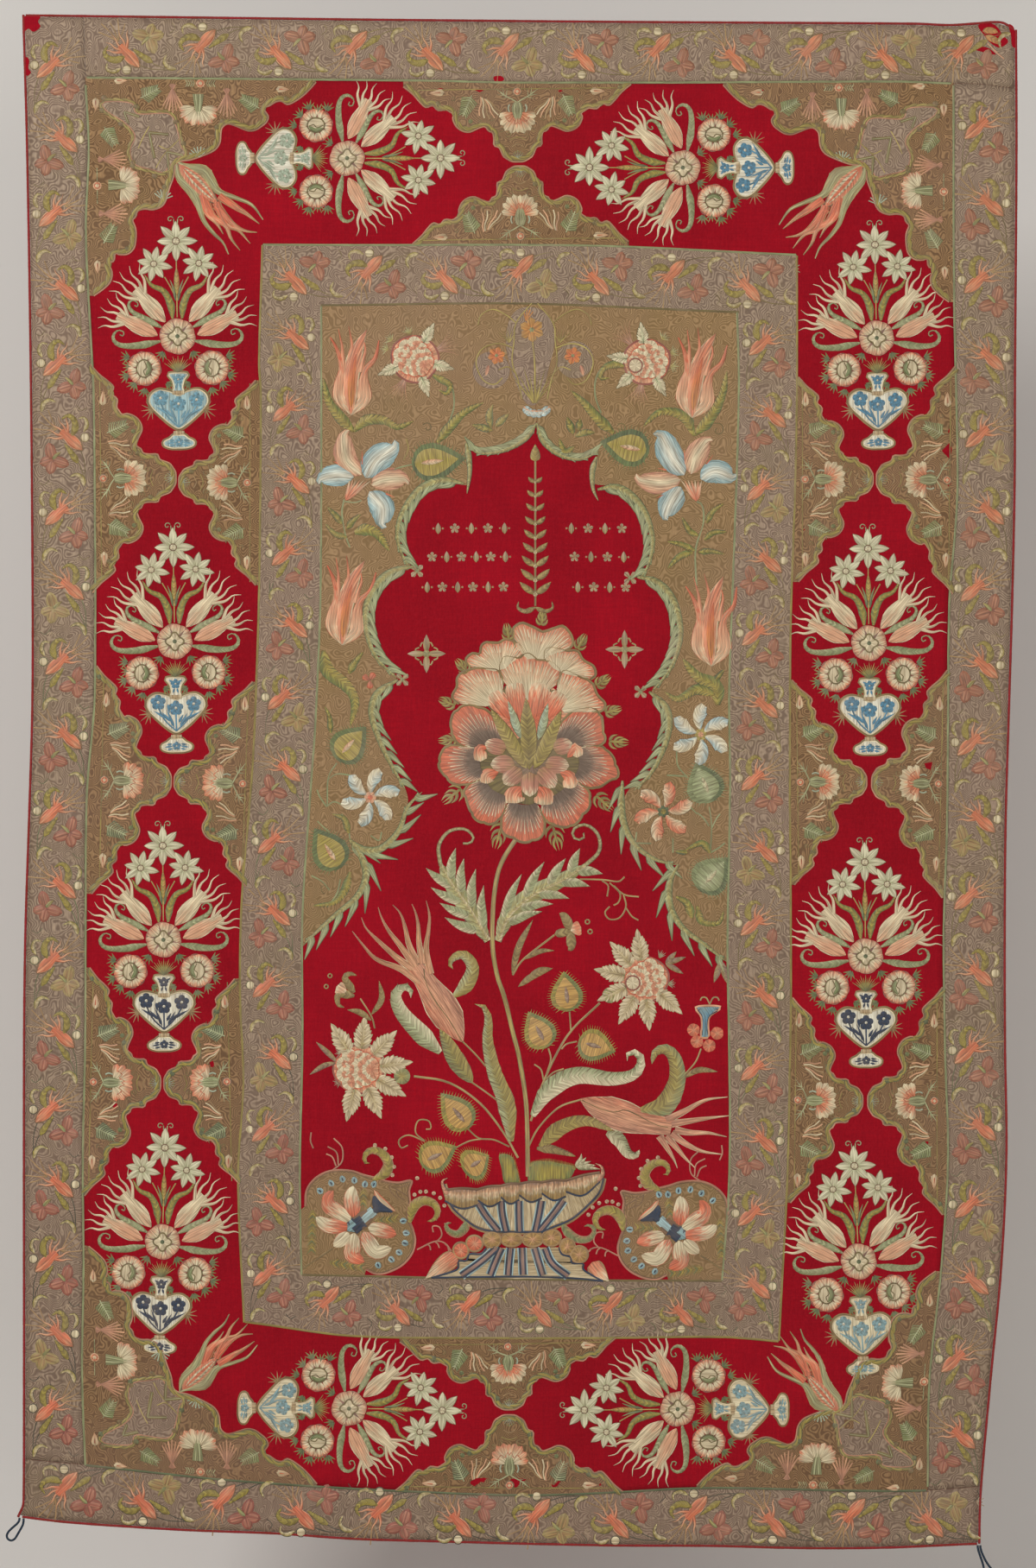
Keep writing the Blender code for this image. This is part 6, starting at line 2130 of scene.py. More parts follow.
    work.between(*funnel, ("water_blue", "blue", "water_blue"), 0.6, 9, 5)
    work.line([*b((1082, 830), (1088, 780), (1082, 720), (1060, 680)), *b((1175, 680), (1120, 720),
                                                                          (1108, 780), (1110, 830))], 1.6,
              "navy", 1.2, 33, closed=True)
    for side in (-1, 1):
        twig(work, b((1125, 650), (1125 + 20 * side, 612), (1125 + 45 * side, 610), (1125 + 55 * side, 628)),
             2.2, "khaki", 0.3)
    twig(work, b((1075, 910), (1040, 990), (968, 1072)), 2.4, "khaki")
    outlined(work, b((972, 1080), (1060, 1035), (1172, 1045)), 4.6, "leaf", ("khaki", "brown_khaki"), 0.25,
             "brown", 0.6, 10)
    for tip in ((1150, 522), (1228, 528)):
        outlined(work, b((1195, 395), tip), 5.0, "leaf", ("khaki", "dusk"), 0.25, "brown", 0.6, 8)


def barred(work, points, rows=9):
    """A brown rib between two navy lines and two pale ones."""
    path = smooth_path(points, rows)
    heading = np.gradient(path)
    heading /= np.abs(heading)
    for side in (-1, 1):
        work.line(path + 6.2j * side * heading, 1.8, "pale_blue", 1.1, rows, relief=0.5)
        work.line(path + 3.7j * side * heading, 2.8, "navy", 1.5, rows, relief=0.5)
    work.line(path, 4.6, "dusk", 1.6, rows, relief=0.5)


def bowl(work):
    """The gadrooned bowl on its ribbed foot, with the leaves that rise behind it."""
    d = Drawn(470, 1340, 5.407)
    for outline, count in ((((585, -18), (660, -10), (690, 60), (712, 160), (622, 160), (600, 70)), 6),
                           (((775, 40), (880, 22), (990, 42), (1060, 62), (1010, 150), (900, 165),
                             (775, 165)), 17)):
        points = d(*outline)
        work.filled(points, sum(points) / len(points), ("yellow_olive", "yellow_olive", "moss"), 0.1, 5, 30,
                    "up")
        for k in range(count * 3):
            here = smooth_path(points[:4], count * 3)[k]
            work.line([here - 4j, here + 4j + 1.5], 1.2, ("yellow_olive", "straw")[k % 2], 0.5, 3, "spike")
    for k in range(5):
        outlined(work, d((1065, 62), (1095 + 14 * k, 10 + 14 * k), (1100 + 30 * k, -25 + 25 * k)), 3.6,
                 "drop", ("sage", "cream"), 0.4, "brown", 0.7, 9)
    for points in (((385, 385), (372, 440), (325, 482), (268, 462), (252, 420), (285, 412)),
                   ((975, 400), (1010, 465), (1080, 512), (1150, 508), (1182, 460), (1155, 425),
                    (1115, 432))):
        hook_leaf(work, d(*points), 5.0, ("sage", "moss", "khaki"), 0.2, "dusk_rose")
    for side, x in ((1, 0), (-1, 1402)):
        for points in (((285, 590), (245, 540), (180, 530), (70, 582)), ((195, 530), (225, 490), (210, 440),
                                                                         (168, 435), (172, 472)),
                       ((245, 545), (262, 560), (270, 590)), ((185, 533), (200, 545), (210, 570)),
                       ((130, 545), (150, 560), (155, 585))):
            twig(work, d(*[(x + side * u, v + (35 if x else 0)) for u, v in points]), 2.2, "dusk_rose", 0.2)
    hull = [(240, 170), (262, 250), (300, 325), (380, 395), (450, 440), (545, 462), (700, 466), (850, 462),
            (930, 432), (1040, 385), (1140, 300), (1215, 215), (1238, 130)]
    brim = [(240, 170), (290, 255), (380, 300), (455, 272), (520, 287), (597, 264), (650, 282), (708, 264),
            (780, 282), (852, 262), (930, 277), (1000, 257), (1070, 270), (1160, 215), (1238, 130)]
    work.line(d(*hull), 9.0, "tan_rose", 0.05, 40)
    brim = [(u, v - 45 if 250 < u < 1200 else v) for u, v in brim]
    work.between(d(*brim), d(*hull), ("sand", "sand", "ivory", "sand", "sand"), 0.3, 26, 5, "across", 0.4)
    for points in (((452, 285), (510, 375), (580, 460)), ((598, 272), (606, 360), (628, 462)),
                   ((708, 272), (709, 360), (713, 464)), ((850, 270), (834, 360), (812, 462)),
                   ((988, 268), (925, 355), (838, 462))):
        barred(work, d(*points))
    work.line(d(*hull), 3.0, "navy", 1.5, 40)
    x0, y0 = 245, 205
    for x1, y1 in ((452, 200), (595, 178), (710, 165), (852, 155), (1002, 145), (1215, 95)):
        middle, high = (x0 + x1) / 2, (y0 + y1) / 2
        low = [(x0, y0 + 62), (middle, high + 112), (x1, y1 + 92 if x1 < 1200 else y1 + 50)]
        work.line(d(*[(u, v + 6) for u, v in low]), 3.4, "navy", 1.5, 11)
        fan(work, d(*low), d((x0, y0), (middle, high - 8), (x1, y1)), ("brown_khaki", "ochre", "brown_khaki",
                                                                       "ivory", "peach", "tan_rose", "dusk"),
            1.5, 15, 9, "brown")
        x0, y0 = x1, y1
    outlined(work, d((262, 232), (238, 190), (230, 150), (262, 130)), 4.0, "spike", ("dusk_rose", "peach"),
             1.2, "brown", 0.8)
    outlined(work, d((1190, 150), (1230, 110), (1226, 60), (1188, 38)), 4.6, "spike", ("dusk_rose", "peach"),
             1.2, "brown", 0.8)
    left = ((505, 568), (470, 605), (398, 606), (380, 648), (328, 650), (318, 705), (160, 757))
    right = ((960, 562), (978, 605), (1032, 622), (1042, 660), (1110, 664), (1116, 705), (1235, 772))
    work.between(d(*left), d(*right), ("sand", "sand", "ivory"), 0.3, 14, 5, "across", 0.4)
    for points in (((570, 566), (480, 645), (348, 742)), ((600, 566), (562, 650), (530, 736)),
                   ((657, 566), (648, 650), (641, 736)), ((728, 564), (732, 650), (736, 734)),
                   ((808, 566), (832, 650), (858, 736)), ((872, 566), (915, 660), (1016, 742))):
        barred(work, d(*points))
    for points in (left, right, ((160, 757), (430, 750), (735, 745), (1000, 752), (1235, 772))):
        work.line(d(*points), 3.0, "navy", 1.1, 28)
    for u, v, wide, high, shade in ((540, 515, 54, 50, "ochre"), (662, 512, 64, 42, "ochre"),
                                    (795, 512, 62, 42, "ochre"), (912, 502, 58, 50, "ochre"),
                                    (1012, 556, 44, 46, "ochre"), (1086, 606, 52, 50, "ochre"),
                                    (430, 540, 50, 48, "coral"), (345, 584, 46, 48, "coral")):
        rim = [d.at(u + wide * math.cos(t), v + high * math.sin(t)) for t in np.linspace(0, 2 * np.pi, 12, False)]
        work.line(rim, 4.4, "tan_rose", 1.0, 25, closed=True)
        work.filled(rim, d.at(u, v), ("peach", shade, shade), 1.1, 5, 20)
    for points, width in ((((322, 612), (250, 665), (122, 762)), 12.5), (((1165, 655), (1200, 705),
                                                                          (1272, 776)), 11.0)):
        outlined(work, d(*points), width, "drop", ("coral", "peach", "cream"), 0.9, "tan_rose", 1.8, 12,
                 "along", "along")


def round_spots(mirrored):
    """Places of a drawing's points in the lower left corner of the field, or mirrored in the right one."""
    if mirrored:
        return lambda *points: [spot(851.3 - u / 7.293, 1334.5 + v * 0.1296) for u, v in points]
    return lambda *points: [spot(345 + u / 7.293, 1320 + v / 7.293) for u, v in points]


ROUND_RIM = ((60, 565), (66, 450), (105, 370), (185, 300), (300, 260), (450, 265), (560, 300), (680, 328),
             (745, 350), (850, 362), (962, 345), (942, 430), (950, 545), (930, 640), (972, 760), (992, 860),
             (962, 970), (880, 1065), (760, 1125), (660, 1138), (575, 1100))
ROUND_PETALS = ((((450, 690), (350, 625), (262, 560), (255, 490), (300, 432)), 11.0,
                 ("cream", "ivory", "coral", "coral")), (((470, 660), (460, 560), (452, 480), (466, 392)),
                                                         11.5, ("coral", "coral", "cream", "cream")),
                (((430, 745), (340, 735), (240, 722), (150, 655)), 11.0,
                 ("coral", "coral", "cream", "cream")), (((430, 790), (370, 850), (300, 905)), 9.5,
                                                         ("cream", "ivory")),
                (((475, 790), (462, 900), (460, 985), (560, 1038)), 11.5,
                 ("cream", "ivory", "coral", "coral")), (((550, 780), (600, 870), (665, 950), (792, 918)),
                                                         11.5, ("coral", "cream", "cream", "ivory")),
                (((590, 745), (680, 760), (750, 782), (832, 806)), 10.5,
                 ("cream", "ivory", "coral", "coral")), )


def round_flower(work, mirrored):
    """The seven-petalled flower with a blue eye, its ring of blue drops and the curls of its ground."""
    s = round_spots(mirrored)
    centre = s((500, 730))[0]
    rim = smooth_path(s(*ROUND_RIM), 120)
    work.line(rim, 2.6, "dusk_rose", 0.2, 120)
    heading = np.gradient(rim)
    heading /= np.abs(heading)
    work.line(rim + (-2.6j if not mirrored else 2.6j) * heading, 1.2, "brown", 0.2, 120)
    for first, last in (((125, 600), (112, 960)), ((270, 1040), (570, 1088)), ((560, 420), (545, 580)),
                              ((650, 690), (840, 668))):
        a, b = s(first, last)
        way = (b - a) / abs(b - a)
        for k in range(int(abs(b - a) / 4.2)):
            here = a + way * 4.2 * k
            for hand in (-1, 1):
                work.line([here, here + way * 8 + 1j * hand * way * 7.5], 2.4,
                          ("olive", "yellow_olive", "moss")[k % 3], 0.25, 4, "spike")
    work.line(s((290, 925), (180, 1000), (45, 1090)), 2.6, "brown_khaki", 0.3, 9)
    for k, (points, width, stops) in enumerate(ROUND_PETALS):
        outlined(work, s(*points), width, "broad", stops, 0.4 + 0.03 * k, "coral_rose", 1.1, 14, "along",
                 "along")
    for points, width, shape, silk in ((((440, 760), (505, 710), (570, 660), (625, 600)), 12.6, "broad",
                                        "brown"), (((418, 775), (455, 742), (500, 712)), 11.0, "petal",
                                                   "sky"), (((455, 752), (498, 716), (548, 682)), 11.6,
                                                            "cord", "navy"),
                                       (((540, 690), (585, 650), (640, 600)), 7.6, "cord", "pale_blue")):
        work.blade(s(*points), width, shape, (silk,), 0.9 + 0.12 * (silk != "brown"), 10, 5)
    work.filled(s((622, 615), (640, 560), (642, 480), (665, 470), (740, 540), (800, 600), (790, 618),
                  (700, 612), (648, 632)), s((680, 565))[0], ("navy",), 1.2, 4, 24)
    work.blade(s((636, 478), (655, 560), (700, 590), (800, 604)), 4.6, "leaf", ("navy",), 1.5, 11, 3)
    outlined(work, s((642, 425), (690, 500), (740, 545), (825, 610)), 3.4, "leaf",
             ("peach", "ivory", "peach"), 1.3, "coral", 1.4, 11, "along", "along")
    for u, v in ((185, 435), (280, 370), (375, 335), (475, 345), (565, 378), (642, 378), (890, 688),
                 (915, 790), (905, 877), (855, 955), (790, 1015), (677, 1065)):
        here = s((u, v))[0]
        out = (here - centre) / abs(here - centre)
        work.blade([here - 5.6 * out, here + 5.6 * out], 4.6, "broad", ("pale_blue", "sky"), 0.4, 7, 3)
        work.blade([here - 4.2 * out, here + 4.0 * out], 2.8, "broad", ("navy",), 0.65, 7, 3)
    hook_leaf(work, s((630, 340), (730, 290), (765, 200), (705, 112), (615, 92), (560, 145), (578, 205),
                      (608, 200)), 6.4, ("olive", "yellow_olive", "straw"), 0.4, "dusk_rose")
    hook_leaf(work, s((945, 700), (970, 575), (1055, 515), (1148, 540), (1182, 610), (1150, 675),
                      (1092, 690)), 6.4, ("olive", "yellow_olive", "straw"), 0.4, "dusk_rose")
    for u, v in ((650, 48), (738, 78), (792, 150), (812, 230), (798, 300), (1008, 325), (985, 465),
                 (1035, 440), (1082, 438), (1148, 452), (1202, 490), (1238, 555)):
        work.ring(s((u, v))[0], 0.0, 3.1, ("dusk_rose", "ivory"), 0.3, rows=3, columns=11)
    for points in (((770, 380), (850, 430), (930, 480)), ((830, 400), (880, 400), (930, 380)),
                   ((830, 430), (850, 480), (900, 510)), ((770, 380), (790, 450), (850, 500))):
        twig(work, s(*points), 1.4, "brown", 0.2)
    for points in (((290, 262), (370, 190), (372, 70), (300, -10)), ((340, 215), (325, 110), (250, 60)),
                   ((320, 225), (290, 150), (238, 122)), ((110, -60), (105, 10), (128, 75))):
        twig(work, s(*points), 2.2, "dusk_rose", 0.2)


def four_arm(work, centre, size):
    """A small rosette of four forked arms round a green eye."""
    for k in range(4):
        way = np.exp(1j * math.radians(45.0 * 2 * k))
        work.blade([centre + 2 * way, centre + size * way], size * 0.17, "leaf", ("khaki", "mauve_light"),
                   0.3, 8, 5)
        for side in (-1, 1):
            work.line([centre + 0.45 * size * way, centre + 0.62 * size * way * np.exp(0.35j * side),
                       centre + 0.5 * size * way * np.exp(0.72j * side)], 2.4, "khaki", 0.35, 8)
    work.ring(centre, 0.0, size * 0.2, ("sage", "khaki"), 0.8, rows=3, columns=13)


def head_ornament(work):
    """A slender spray between rows of small sprigs, in the head of the niche."""
    foot, top = spot(620, 702), spot(620, 530)
    work.line([foot, top], 3.0, ("brown_khaki", "khaki"), 0.25, 24)
    ahead = top - foot
    for k in range(9):
        here = foot + ahead * (0.08 + 0.094 * k)
        size = 30.0 - 2.1 * k
        for side in (-1, 1):
            tip = here + size * np.exp(1j * math.radians(90 - side * 52))
            outlined(work, [here, (here + tip) / 2 + side * 2.0, tip], 4.4 - 0.22 * k, "leaf",
                     ("brown_khaki", "khaki", "straw"), 0.35 + 0.03 * k, "brown", 0.7, 10)
        work.ring(here, 0.0, 3.6 - 0.2 * k, ("khaki", "ivory"), 0.9, rows=3, columns=11)
    outlined(work, [top - 6j, top + 6j, top + 20j], 7.0, "drop", ("brown_khaki", "straw"), 0.6, "brown", 0.8,
             11)
    for side in (-1, 1):
        outlined(work, [foot - 2j, foot + side * 14 - 8j, foot + side * 26 - 3j, foot + side * 25 + 7j], 4.2,
                 "horn", ("brown_khaki", "khaki"), 0.3, "brown", 0.7, 12)
    rows = ((612, (498, 594), (652, 730)), (645, (492, 594), (656, 732)), (680, (486, 592), (660, 734)))
    for r, (y, *spans) in enumerate(rows):
        for low, high in spans:
            count = int(round((high - low) / 17.5))
            for k in range(count):
                here = spot(low + (high - low) * (k + 0.5) / count, y)
                if (k + r) % 2:
                    small_flower(work, here, 8.0, 5, ("khaki", "mauve_light"), "dusk_rose", 0.2)
                else:
                    work.blade([here - 8.5j, here + 8.5j], 4.2, "leaf", ("khaki", "mauve_light"), 0.25, 7, 5,
                               vein=True)
                    for side in (-1, 1):
                        work.ring(here + side * 7.0, 0.0, 1.7, ("dusk_rose", "khaki"), 0.25, rows=2,
                                  columns=9)


def fitted(outline, edges):
    """The outline held on its side of each edge: 1 right of or above the line, -1 the other side."""
    flat = np.array(outline, complex)
    for name, side in edges:
        if name.split("_")[1] in ("left", "right"):
            line = EDGES[name](flat.imag)
            flat.real = np.maximum(flat.real, line) if side > 0 else np.minimum(flat.real, line)
        else:
            line = EDGES[name](flat.real)
            flat.imag = np.maximum(flat.imag, line) if side > 0 else np.minimum(flat.imag, line)
    keep = np.abs(flat - np.roll(flat, 1)) > 1e-3
    return flat[keep]


def panel_outline(panel, across=(0.0, 1.0), down=(0.0, 1.0), rows=16):
    """Closed outline of a part of a panel."""
    s = np.linspace(0.0, 1.0, rows)[:-1]
    u, v = across[0] + (across[1] - across[0]) * s, down[0] + (down[1] - down[0]) * s
    first, last = np.full(len(s), across[0]), np.full(len(s), across[1])
    upper, lower = np.full(len(s), down[0]), np.full(len(s), down[1])
    return np.r_[panel.place(first, v), panel.place(u, lower), panel.place(last, down[1] - v + down[0]),
                 panel.place(across[1] - u + across[0], upper)]


FRAME_PANELS = (
    ("frame_left", ("frame_left", "field_left", "field_top", "frame_bottom"), True, 4),
    ("frame_right", ("field_right", "frame_right", "field_top", "frame_bottom"), True, 4),
    ("frame_top", ("frame_left", "frame_right", "frame_top", "field_top"), False, 2),
    ("frame_bottom", ("field_left", "field_right", "field_bottom", "frame_bottom"), False, 2),
)
FRAME_RUNS = (
    ("frame_left", "frame_left", "field_left", True, -432.0, -1955.0, 14, -1),
    ("frame_right", "field_right", "frame_right", True, -440.0, -1975.0, 14, 1),
    ("frame_top", "frame_top", "field_top", False, -388.0, 412.0, 7, 1),
    ("frame_bottom", "field_bottom", "frame_bottom", False, -335.0, 308.0, 6, -1),
)
# Laid cords: the edge they follow, whether it runs down, from where to where, and their thread.
CORD_RUNS = (
    ("seam_left", True, -95.0, -2176.0, "sage"), ("seam_right", True, -95.0, -2210.0, "sage"),
    ("seam_top", False, -655.0, 650.0, "sage"), ("seam_bottom", False, -655.0, 612.0, "dark_sage"),
    ("frame_left", True, -336.0, -1962.0, "olive"), ("frame_right", True, -352.0, -1990.0, "olive"),
    ("frame_top", False, -389.0, 416.0, "sage"), ("frame_bottom", False, -416.0, 389.0, "olive"),
    ("field_left", True, -428.0, -1892.0, "sage"), ("field_right", True, -436.0, -1900.0, "sage"),
    ("field_top", False, -302.0, 330.0, "olive_brown"), ("field_bottom", False, -330.0, 304.0, "olive_brown"),
)


def laid_cord(work, path, width, stop, lift=0.2, span=90.0):
    """A cord laid along a path in lengths that follow one another."""
    path = np.asarray(path, complex)
    run = np.r_[0.0, np.cumsum(np.abs(np.diff(path)))]
    count = max(1, int(math.ceil(run[-1] / span)))
    for k in range(count):
        at = np.linspace(run[-1] * k / count, run[-1] * (k + 1) / count, 9)
        at[-1] += 0.15
        work.line(np.interp(at, run, path.real) + 1j * np.interp(at, run, path.imag), width, stop, lift, 9)


def corner_ornament(work, place, deep):
    """What is worked on one corner ground, drawn for the upper left one."""
    def c(*points):
        return [complex((u / 5.407 - 8.5) * STEP, -(v / 5.407 - 5.0) * STEP) for u, v in points]

    work.on(place)
    rim = np.array([complex(u, -v) for u, v in CORNER_RIM])
    scroll_edge(work, smooth_path(rim, 240), 8.0, ("olive", "yellow_olive", "khaki"), 0.3, 15.0, -1.0, deep)
    for u, v, turn in ((262, 45, 0), (108, 190, -90), (1275, 90, 0), (105, 1210, -90)):
        here, way = c((u, v))[0], np.exp(1j * math.radians(turn))
        work.blade([here - 9 * way, here + 11 * way], 5.2, "drop", ("ivory", "peach"), 0.2, 7, 5)
        work.blade([here - 7 * way, here + 8 * way], 2.4, "drop", ("deep_coral", "coral"), 0.6, 6, 3)
    for u, v, turn in ((450, 120, -62), (1070, 175, 60), (195, 395, -150), (180, 1005, -30)):
        sprig(work, place.inner(c((u, v))[0], turn, 1.0))
    work.on(place)
    for u, v, turn in ((590, 95, -90), (930, 120, -90), (150, 540, 0), (150, 880, 0)):
        root = c((u, v))[0]
        for k in range(7):
            way = np.exp(1j * math.radians(turn + 10.0 * (k - 3)))
            work.blade([root - 8 * way, root + (36 - 2 * abs(k - 3)) * way], 1.8, "stem",
                       ("dusk_rose", "dusk_rose", "peach"), 0.2 + 0.05 * (k % 2), 6, 3)
    for u, v in ((765, 58), (110, 705)):
        here = c((u, v))[0]
        work.ring(here, 0.0, 6.6, ("ivory", "peach"), 0.3, rows=3, columns=15)
        work.ring(here, 2.4, 5.4, ("coral",), 0.6, rows=3, columns=13)
        for side in (-1, 1):
            turn = (0 if u > 400 else -90) + 90 + side * 90
            way = np.exp(1j * math.radians(turn))
            for k in range(4):
                work.line([here + (9 + 3.4 * k) * way, here + (12 + 3.4 * k) * way + 5 * (1j if v < 100 else 1) * way],
                          1.2, "pale_sage", 0.3, 3)
                work.line([here + (9 + 3.4 * k) * way, here + (12 + 3.4 * k) * way - 5 * (1j if v < 100 else 1) * way],
                          1.2, "pale_sage", 0.3, 3)
    for u, v, turn in ((750, 150, -90), (205, 700, 0)):
        way = np.exp(1j * math.radians(turn))
        here = c((u, v))[0]
        carnation(work, place.inner(here + 12 * way, turn - 90, 1.0), 28, 29,
                  ("ivory", "cream", "cream", "coral"), 0.35)
        work.on(place)
        for k in range(5):
            side = (k - 2) * 1j * way
            work.line([here - 6 * way + 3.4 * side, here + 8 * way + 2.6 * side,
                       here + 27 * way + 0.8 * side], 2.9, ("sage", "pale_sage")[k % 2], 1.0 + 0.1 * (k % 2),
                      6, "stem")
    for points in (((750, 520), (745, 470), (735, 420)), ((520, 790), (530, 715), (540, 650))):
        first, last = c(points[0], points[-1])
        for k in range(7):
            way = (last - first) / abs(last - first) * np.exp(1j * math.radians(-60 + 20 * k))
            work.line([first, first + way * 16], 1.8, "pale_blue_sage", 0.4, 4)
    for chevron in (((650, 510), (550, 490), (560, 610)), ((560, 380), (440, 370), (470, 530)),
                    ((380, 270), (285, 240), (310, 310))):
        points = c(*chevron)
        for end in (points[0], points[2]):
            work.line([points[1], end], 5.0, "olive_brown", 0.45, 5)
            work.line([points[1], end], 3.0, "pale_green", 0.75, 5)
    field = c(*CORNER_FIELD)
    scroll_edge(work, smooth_path(field, 90, True), 5.0, ("olive", "straw", "khaki"), 0.35, 12.0, 1.0, deep)
    for chevron in (((640, 395), (560, 470), (500, 450)), ((600, 430), (520, 520), (480, 590)),
                    ((440, 330), (400, 400), (370, 470))):
        work.line(c(*chevron), 1.5, "straw", 0.45, 9)
    for u, v in ((160, 155), (360, 205), (265, 315), (335, 560), (900, 295), (1300, 150), (610, 300),
                 (470, 640)):
        work.ring(c((u, v))[0], 0.0, 4.6, ("brown", "olive_brown"), 0.6, rows=3, columns=13)


CORNER_FIELD = ((165, 180), (330, 185), (370, 250), (560, 250), (610, 330), (640, 460), (670, 490),
                (600, 540), (545, 600), (530, 620), (450, 600), (350, 570), (320, 480), (350, 390),
                (290, 310), (170, 230))
# Corners of the field: seams that cross there, and which way right and down of the drawing go.
CORNERS = (("seam_left", "seam_top", 1, 1), ("seam_right", "seam_top", -1, 1),
           ("seam_left", "seam_bottom", 1, -1), ("seam_right", "seam_bottom", -1, -1))


def corner_place(upright, level, right, down):
    """Place at a corner whose two ways follow its seams."""
    x, z = float(EDGES[upright](-1000.0)), 0.0
    for _ in range(6):
        z = float(EDGES[level](x))
        x = float(EDGES[upright](z))
    across = complex(right * 350.0, float(EDGES[level](x + right * 350.0)) - z) / 350.0
    up = complex(x - float(EDGES[upright](z - down * 330.0)), down * 330.0) / 330.0
    return Place(complex(x, z), ways=(across, up))
WORN_SPOTS = (("worn_corner_left", ((27, 20), (38, 17.8), (47, 19), (44, 25), (47, 31), (39, 37), (33, 33),
                                    (27.5, 36))), ("worn_edge_left", ((30, 66), (34, 70), (33, 79), (36, 84),
                                                                      (31, 88), (29.5, 78))),
              ("worn_corner_right", ((1133, 29), (1148, 27), (1156, 32), (1161, 40), (1168, 48), (1158, 55),
                                     (1148, 50), (1141, 42))), ("worn_edge_right",
                                                                ((1168, 28), (1174, 31), (1176, 42),
                                                                 (1176, 55), (1172, 52), (1171, 40))),
              ("worn_line_right", ((1129, 57), (1137, 54), (1146, 56), (1154, 63), (1146, 62), (1138, 60))),
              ("worn_seam_top", ((572, 89), (580, 88), (584, 92), (579, 95), (573, 94))), )


class CURTAIN_OT_cloth(Operator):
    """Lay the middle panel and the four border strips on the hung surface"""

    bl_idname = "curtain.cloth"
    bl_label = "Cloth"

    def execute(self, context):
        for name in PANELS:
            cloth_sheet(name)
        return {"FINISHED"}


class CURTAIN_OT_binding(Operator):
    """Run the wool binding round the rim"""

    bl_idname = "curtain.binding"
    bl_label = "Binding"

    def execute(self, context):
        panels = {name: row[0] for name, row in PANELS.items()}
        even = np.linspace(0.0, 1.0, 260)

        def side(name, across):
            return panels[name].place(np.full(260, across), even)

        def cross(name, down):
            return panels[name].place(even, np.full(260, down))

        runs = {
            "binding_left": np.r_[side("border_left", 0.0), side("border_bottom", 0.0)][::-1],
            "binding_right": np.r_[side("border_top", 1.0), side("border_right", 1.0), side("border_bottom", 1.0)],
            "binding_top": np.r_[cross("border_left", 0.0), cross("border_top", 0.0)],
            "binding_bottom": cross("border_bottom", 1.0)[::-1],
        }
        width = cloth_sizes()["binding_width"]
        for name, run in runs.items():
            travelled = np.r_[0.0, np.cumsum(np.abs(np.diff(run)))]
            past = width + JOIN_GAP if name in ("binding_left", "binding_right") else -1.2
            at = np.arange(-past, travelled[-1] + past, 3.0)
            x, z = np.interp(at, travelled, run.real), np.interp(at, travelled, run.imag)
            edge = x + 1j * z
            for end, inner in ((0, 3), (-1, -4)):
                way = run[end] - run[inner]
                way /= abs(way)
                over = (at < 0) if end == 0 else (at > travelled[-1])
                gone = -at if end == 0 else at - travelled[-1]
                edge = np.where(over, run[end] + way * gone, edge)
            bound_edge(name, edge)
        return {"FINISHED"}


class CURTAIN_OT_loops(Operator):
    """Hang the two corner loops"""

    bl_idname = "curtain.loops"
    bl_label = "Corner Loops"

    def execute(self, context):
        corner_loop("corner_loop_left", LEFT_LOOP)
        corner_loop("corner_loop_right", RIGHT_LOOP)
        return {"FINISHED"}


class CURTAIN_OT_brackets(Operator):
    """Lay the tan brackets that meet between the bouquets and work their flowers"""

    bl_idname = "curtain.brackets"
    bl_label = "Brackets"

    def execute(self, context):
        for k, (root, tip, shrink, vivid, kind) in enumerate(BRACKETS):
            root, tip = spot(*root), spot(*tip)
            depth = abs(tip - root)
            turn = math.degrees(np.angle(tip - root)) - 90.0
            place = Place(root, turn)
            outline, rim = bracket_outline(depth, shrink)
            edge = BRACKET_EDGES[k]
            ground_patch(f"bracket_{k + 1}_ground", fitted(place(outline), [edge]), "brown")
            work = Needlework(ground_bed())
            work.faded = ("khaki", 0.3 * (1.0 - vivid))
            work.on(place)
            scroll_edge(work, rim, deep="olive_brown" if vivid < 0.5 else "dark_sage")
            line = EDGES[edge[0]]
            hem = abs(float(line(root.imag)) - root.real) if k < 12 else abs(float(line(root.real)) - root.imag)
            bracket_ornament(work, place.inner(1j * hem), depth - hem, kind)
            work.finish(f"bracket_{k + 1}_flowers")
        return {"FINISHED"}


class CURTAIN_OT_borders(Operator):
    """Work the flower sprays of the outer border"""

    bl_idname = "curtain.borders"
    bl_label = "Border Sprays"

    def execute(self, context):
        for run in BORDER_RUNS:
            run_of_sprays(*run, 0.0)
        return {"FINISHED"}


class CURTAIN_OT_bouquets(Operator):
    """Work the twelve vases of flowers and the four corner tulips"""

    bl_idname = "curtain.bouquets"
    bl_label = "Bouquets"

    def execute(self, context):
        for k, (x, y, turn, size, kind) in enumerate(BOUQUETS):
            work = Needlework()
            work.on(Place(spot(x, y), turn, size))
            bouquet(work, kind)
            work.finish(f"bouquet_{k + 1}", "red_wool")
        for k, (base, mouth, hand) in enumerate(CROWN_TULIPS):
            work = Needlework()
            crown_tulip(work, spot(*base), spot(*mouth), hand)
            work.finish(f"corner_tulip_{k + 1}", "red_wool")
        return {"FINISHED"}


class CURTAIN_OT_frame(Operator):
    """Lay the inner frame and work its flower sprays"""

    bl_idname = "curtain.frame"
    bl_label = "Inner Frame"

    def execute(self, context):
        for name, lines, down, parts in FRAME_PANELS:
            panel = CutPanel(*lines)
            for k in range(parts):
                share = (k / parts, (k + 1) / parts)
                outline = panel_outline(panel, *(((0.0, 1.0), share) if down else (share, (0.0, 1.0))))
                ground_patch(f"{name}_ground_{k + 1}", outline, "mauve")
        for run in FRAME_RUNS:
            run_of_sprays(*run, ground_bed())
        return {"FINISHED"}


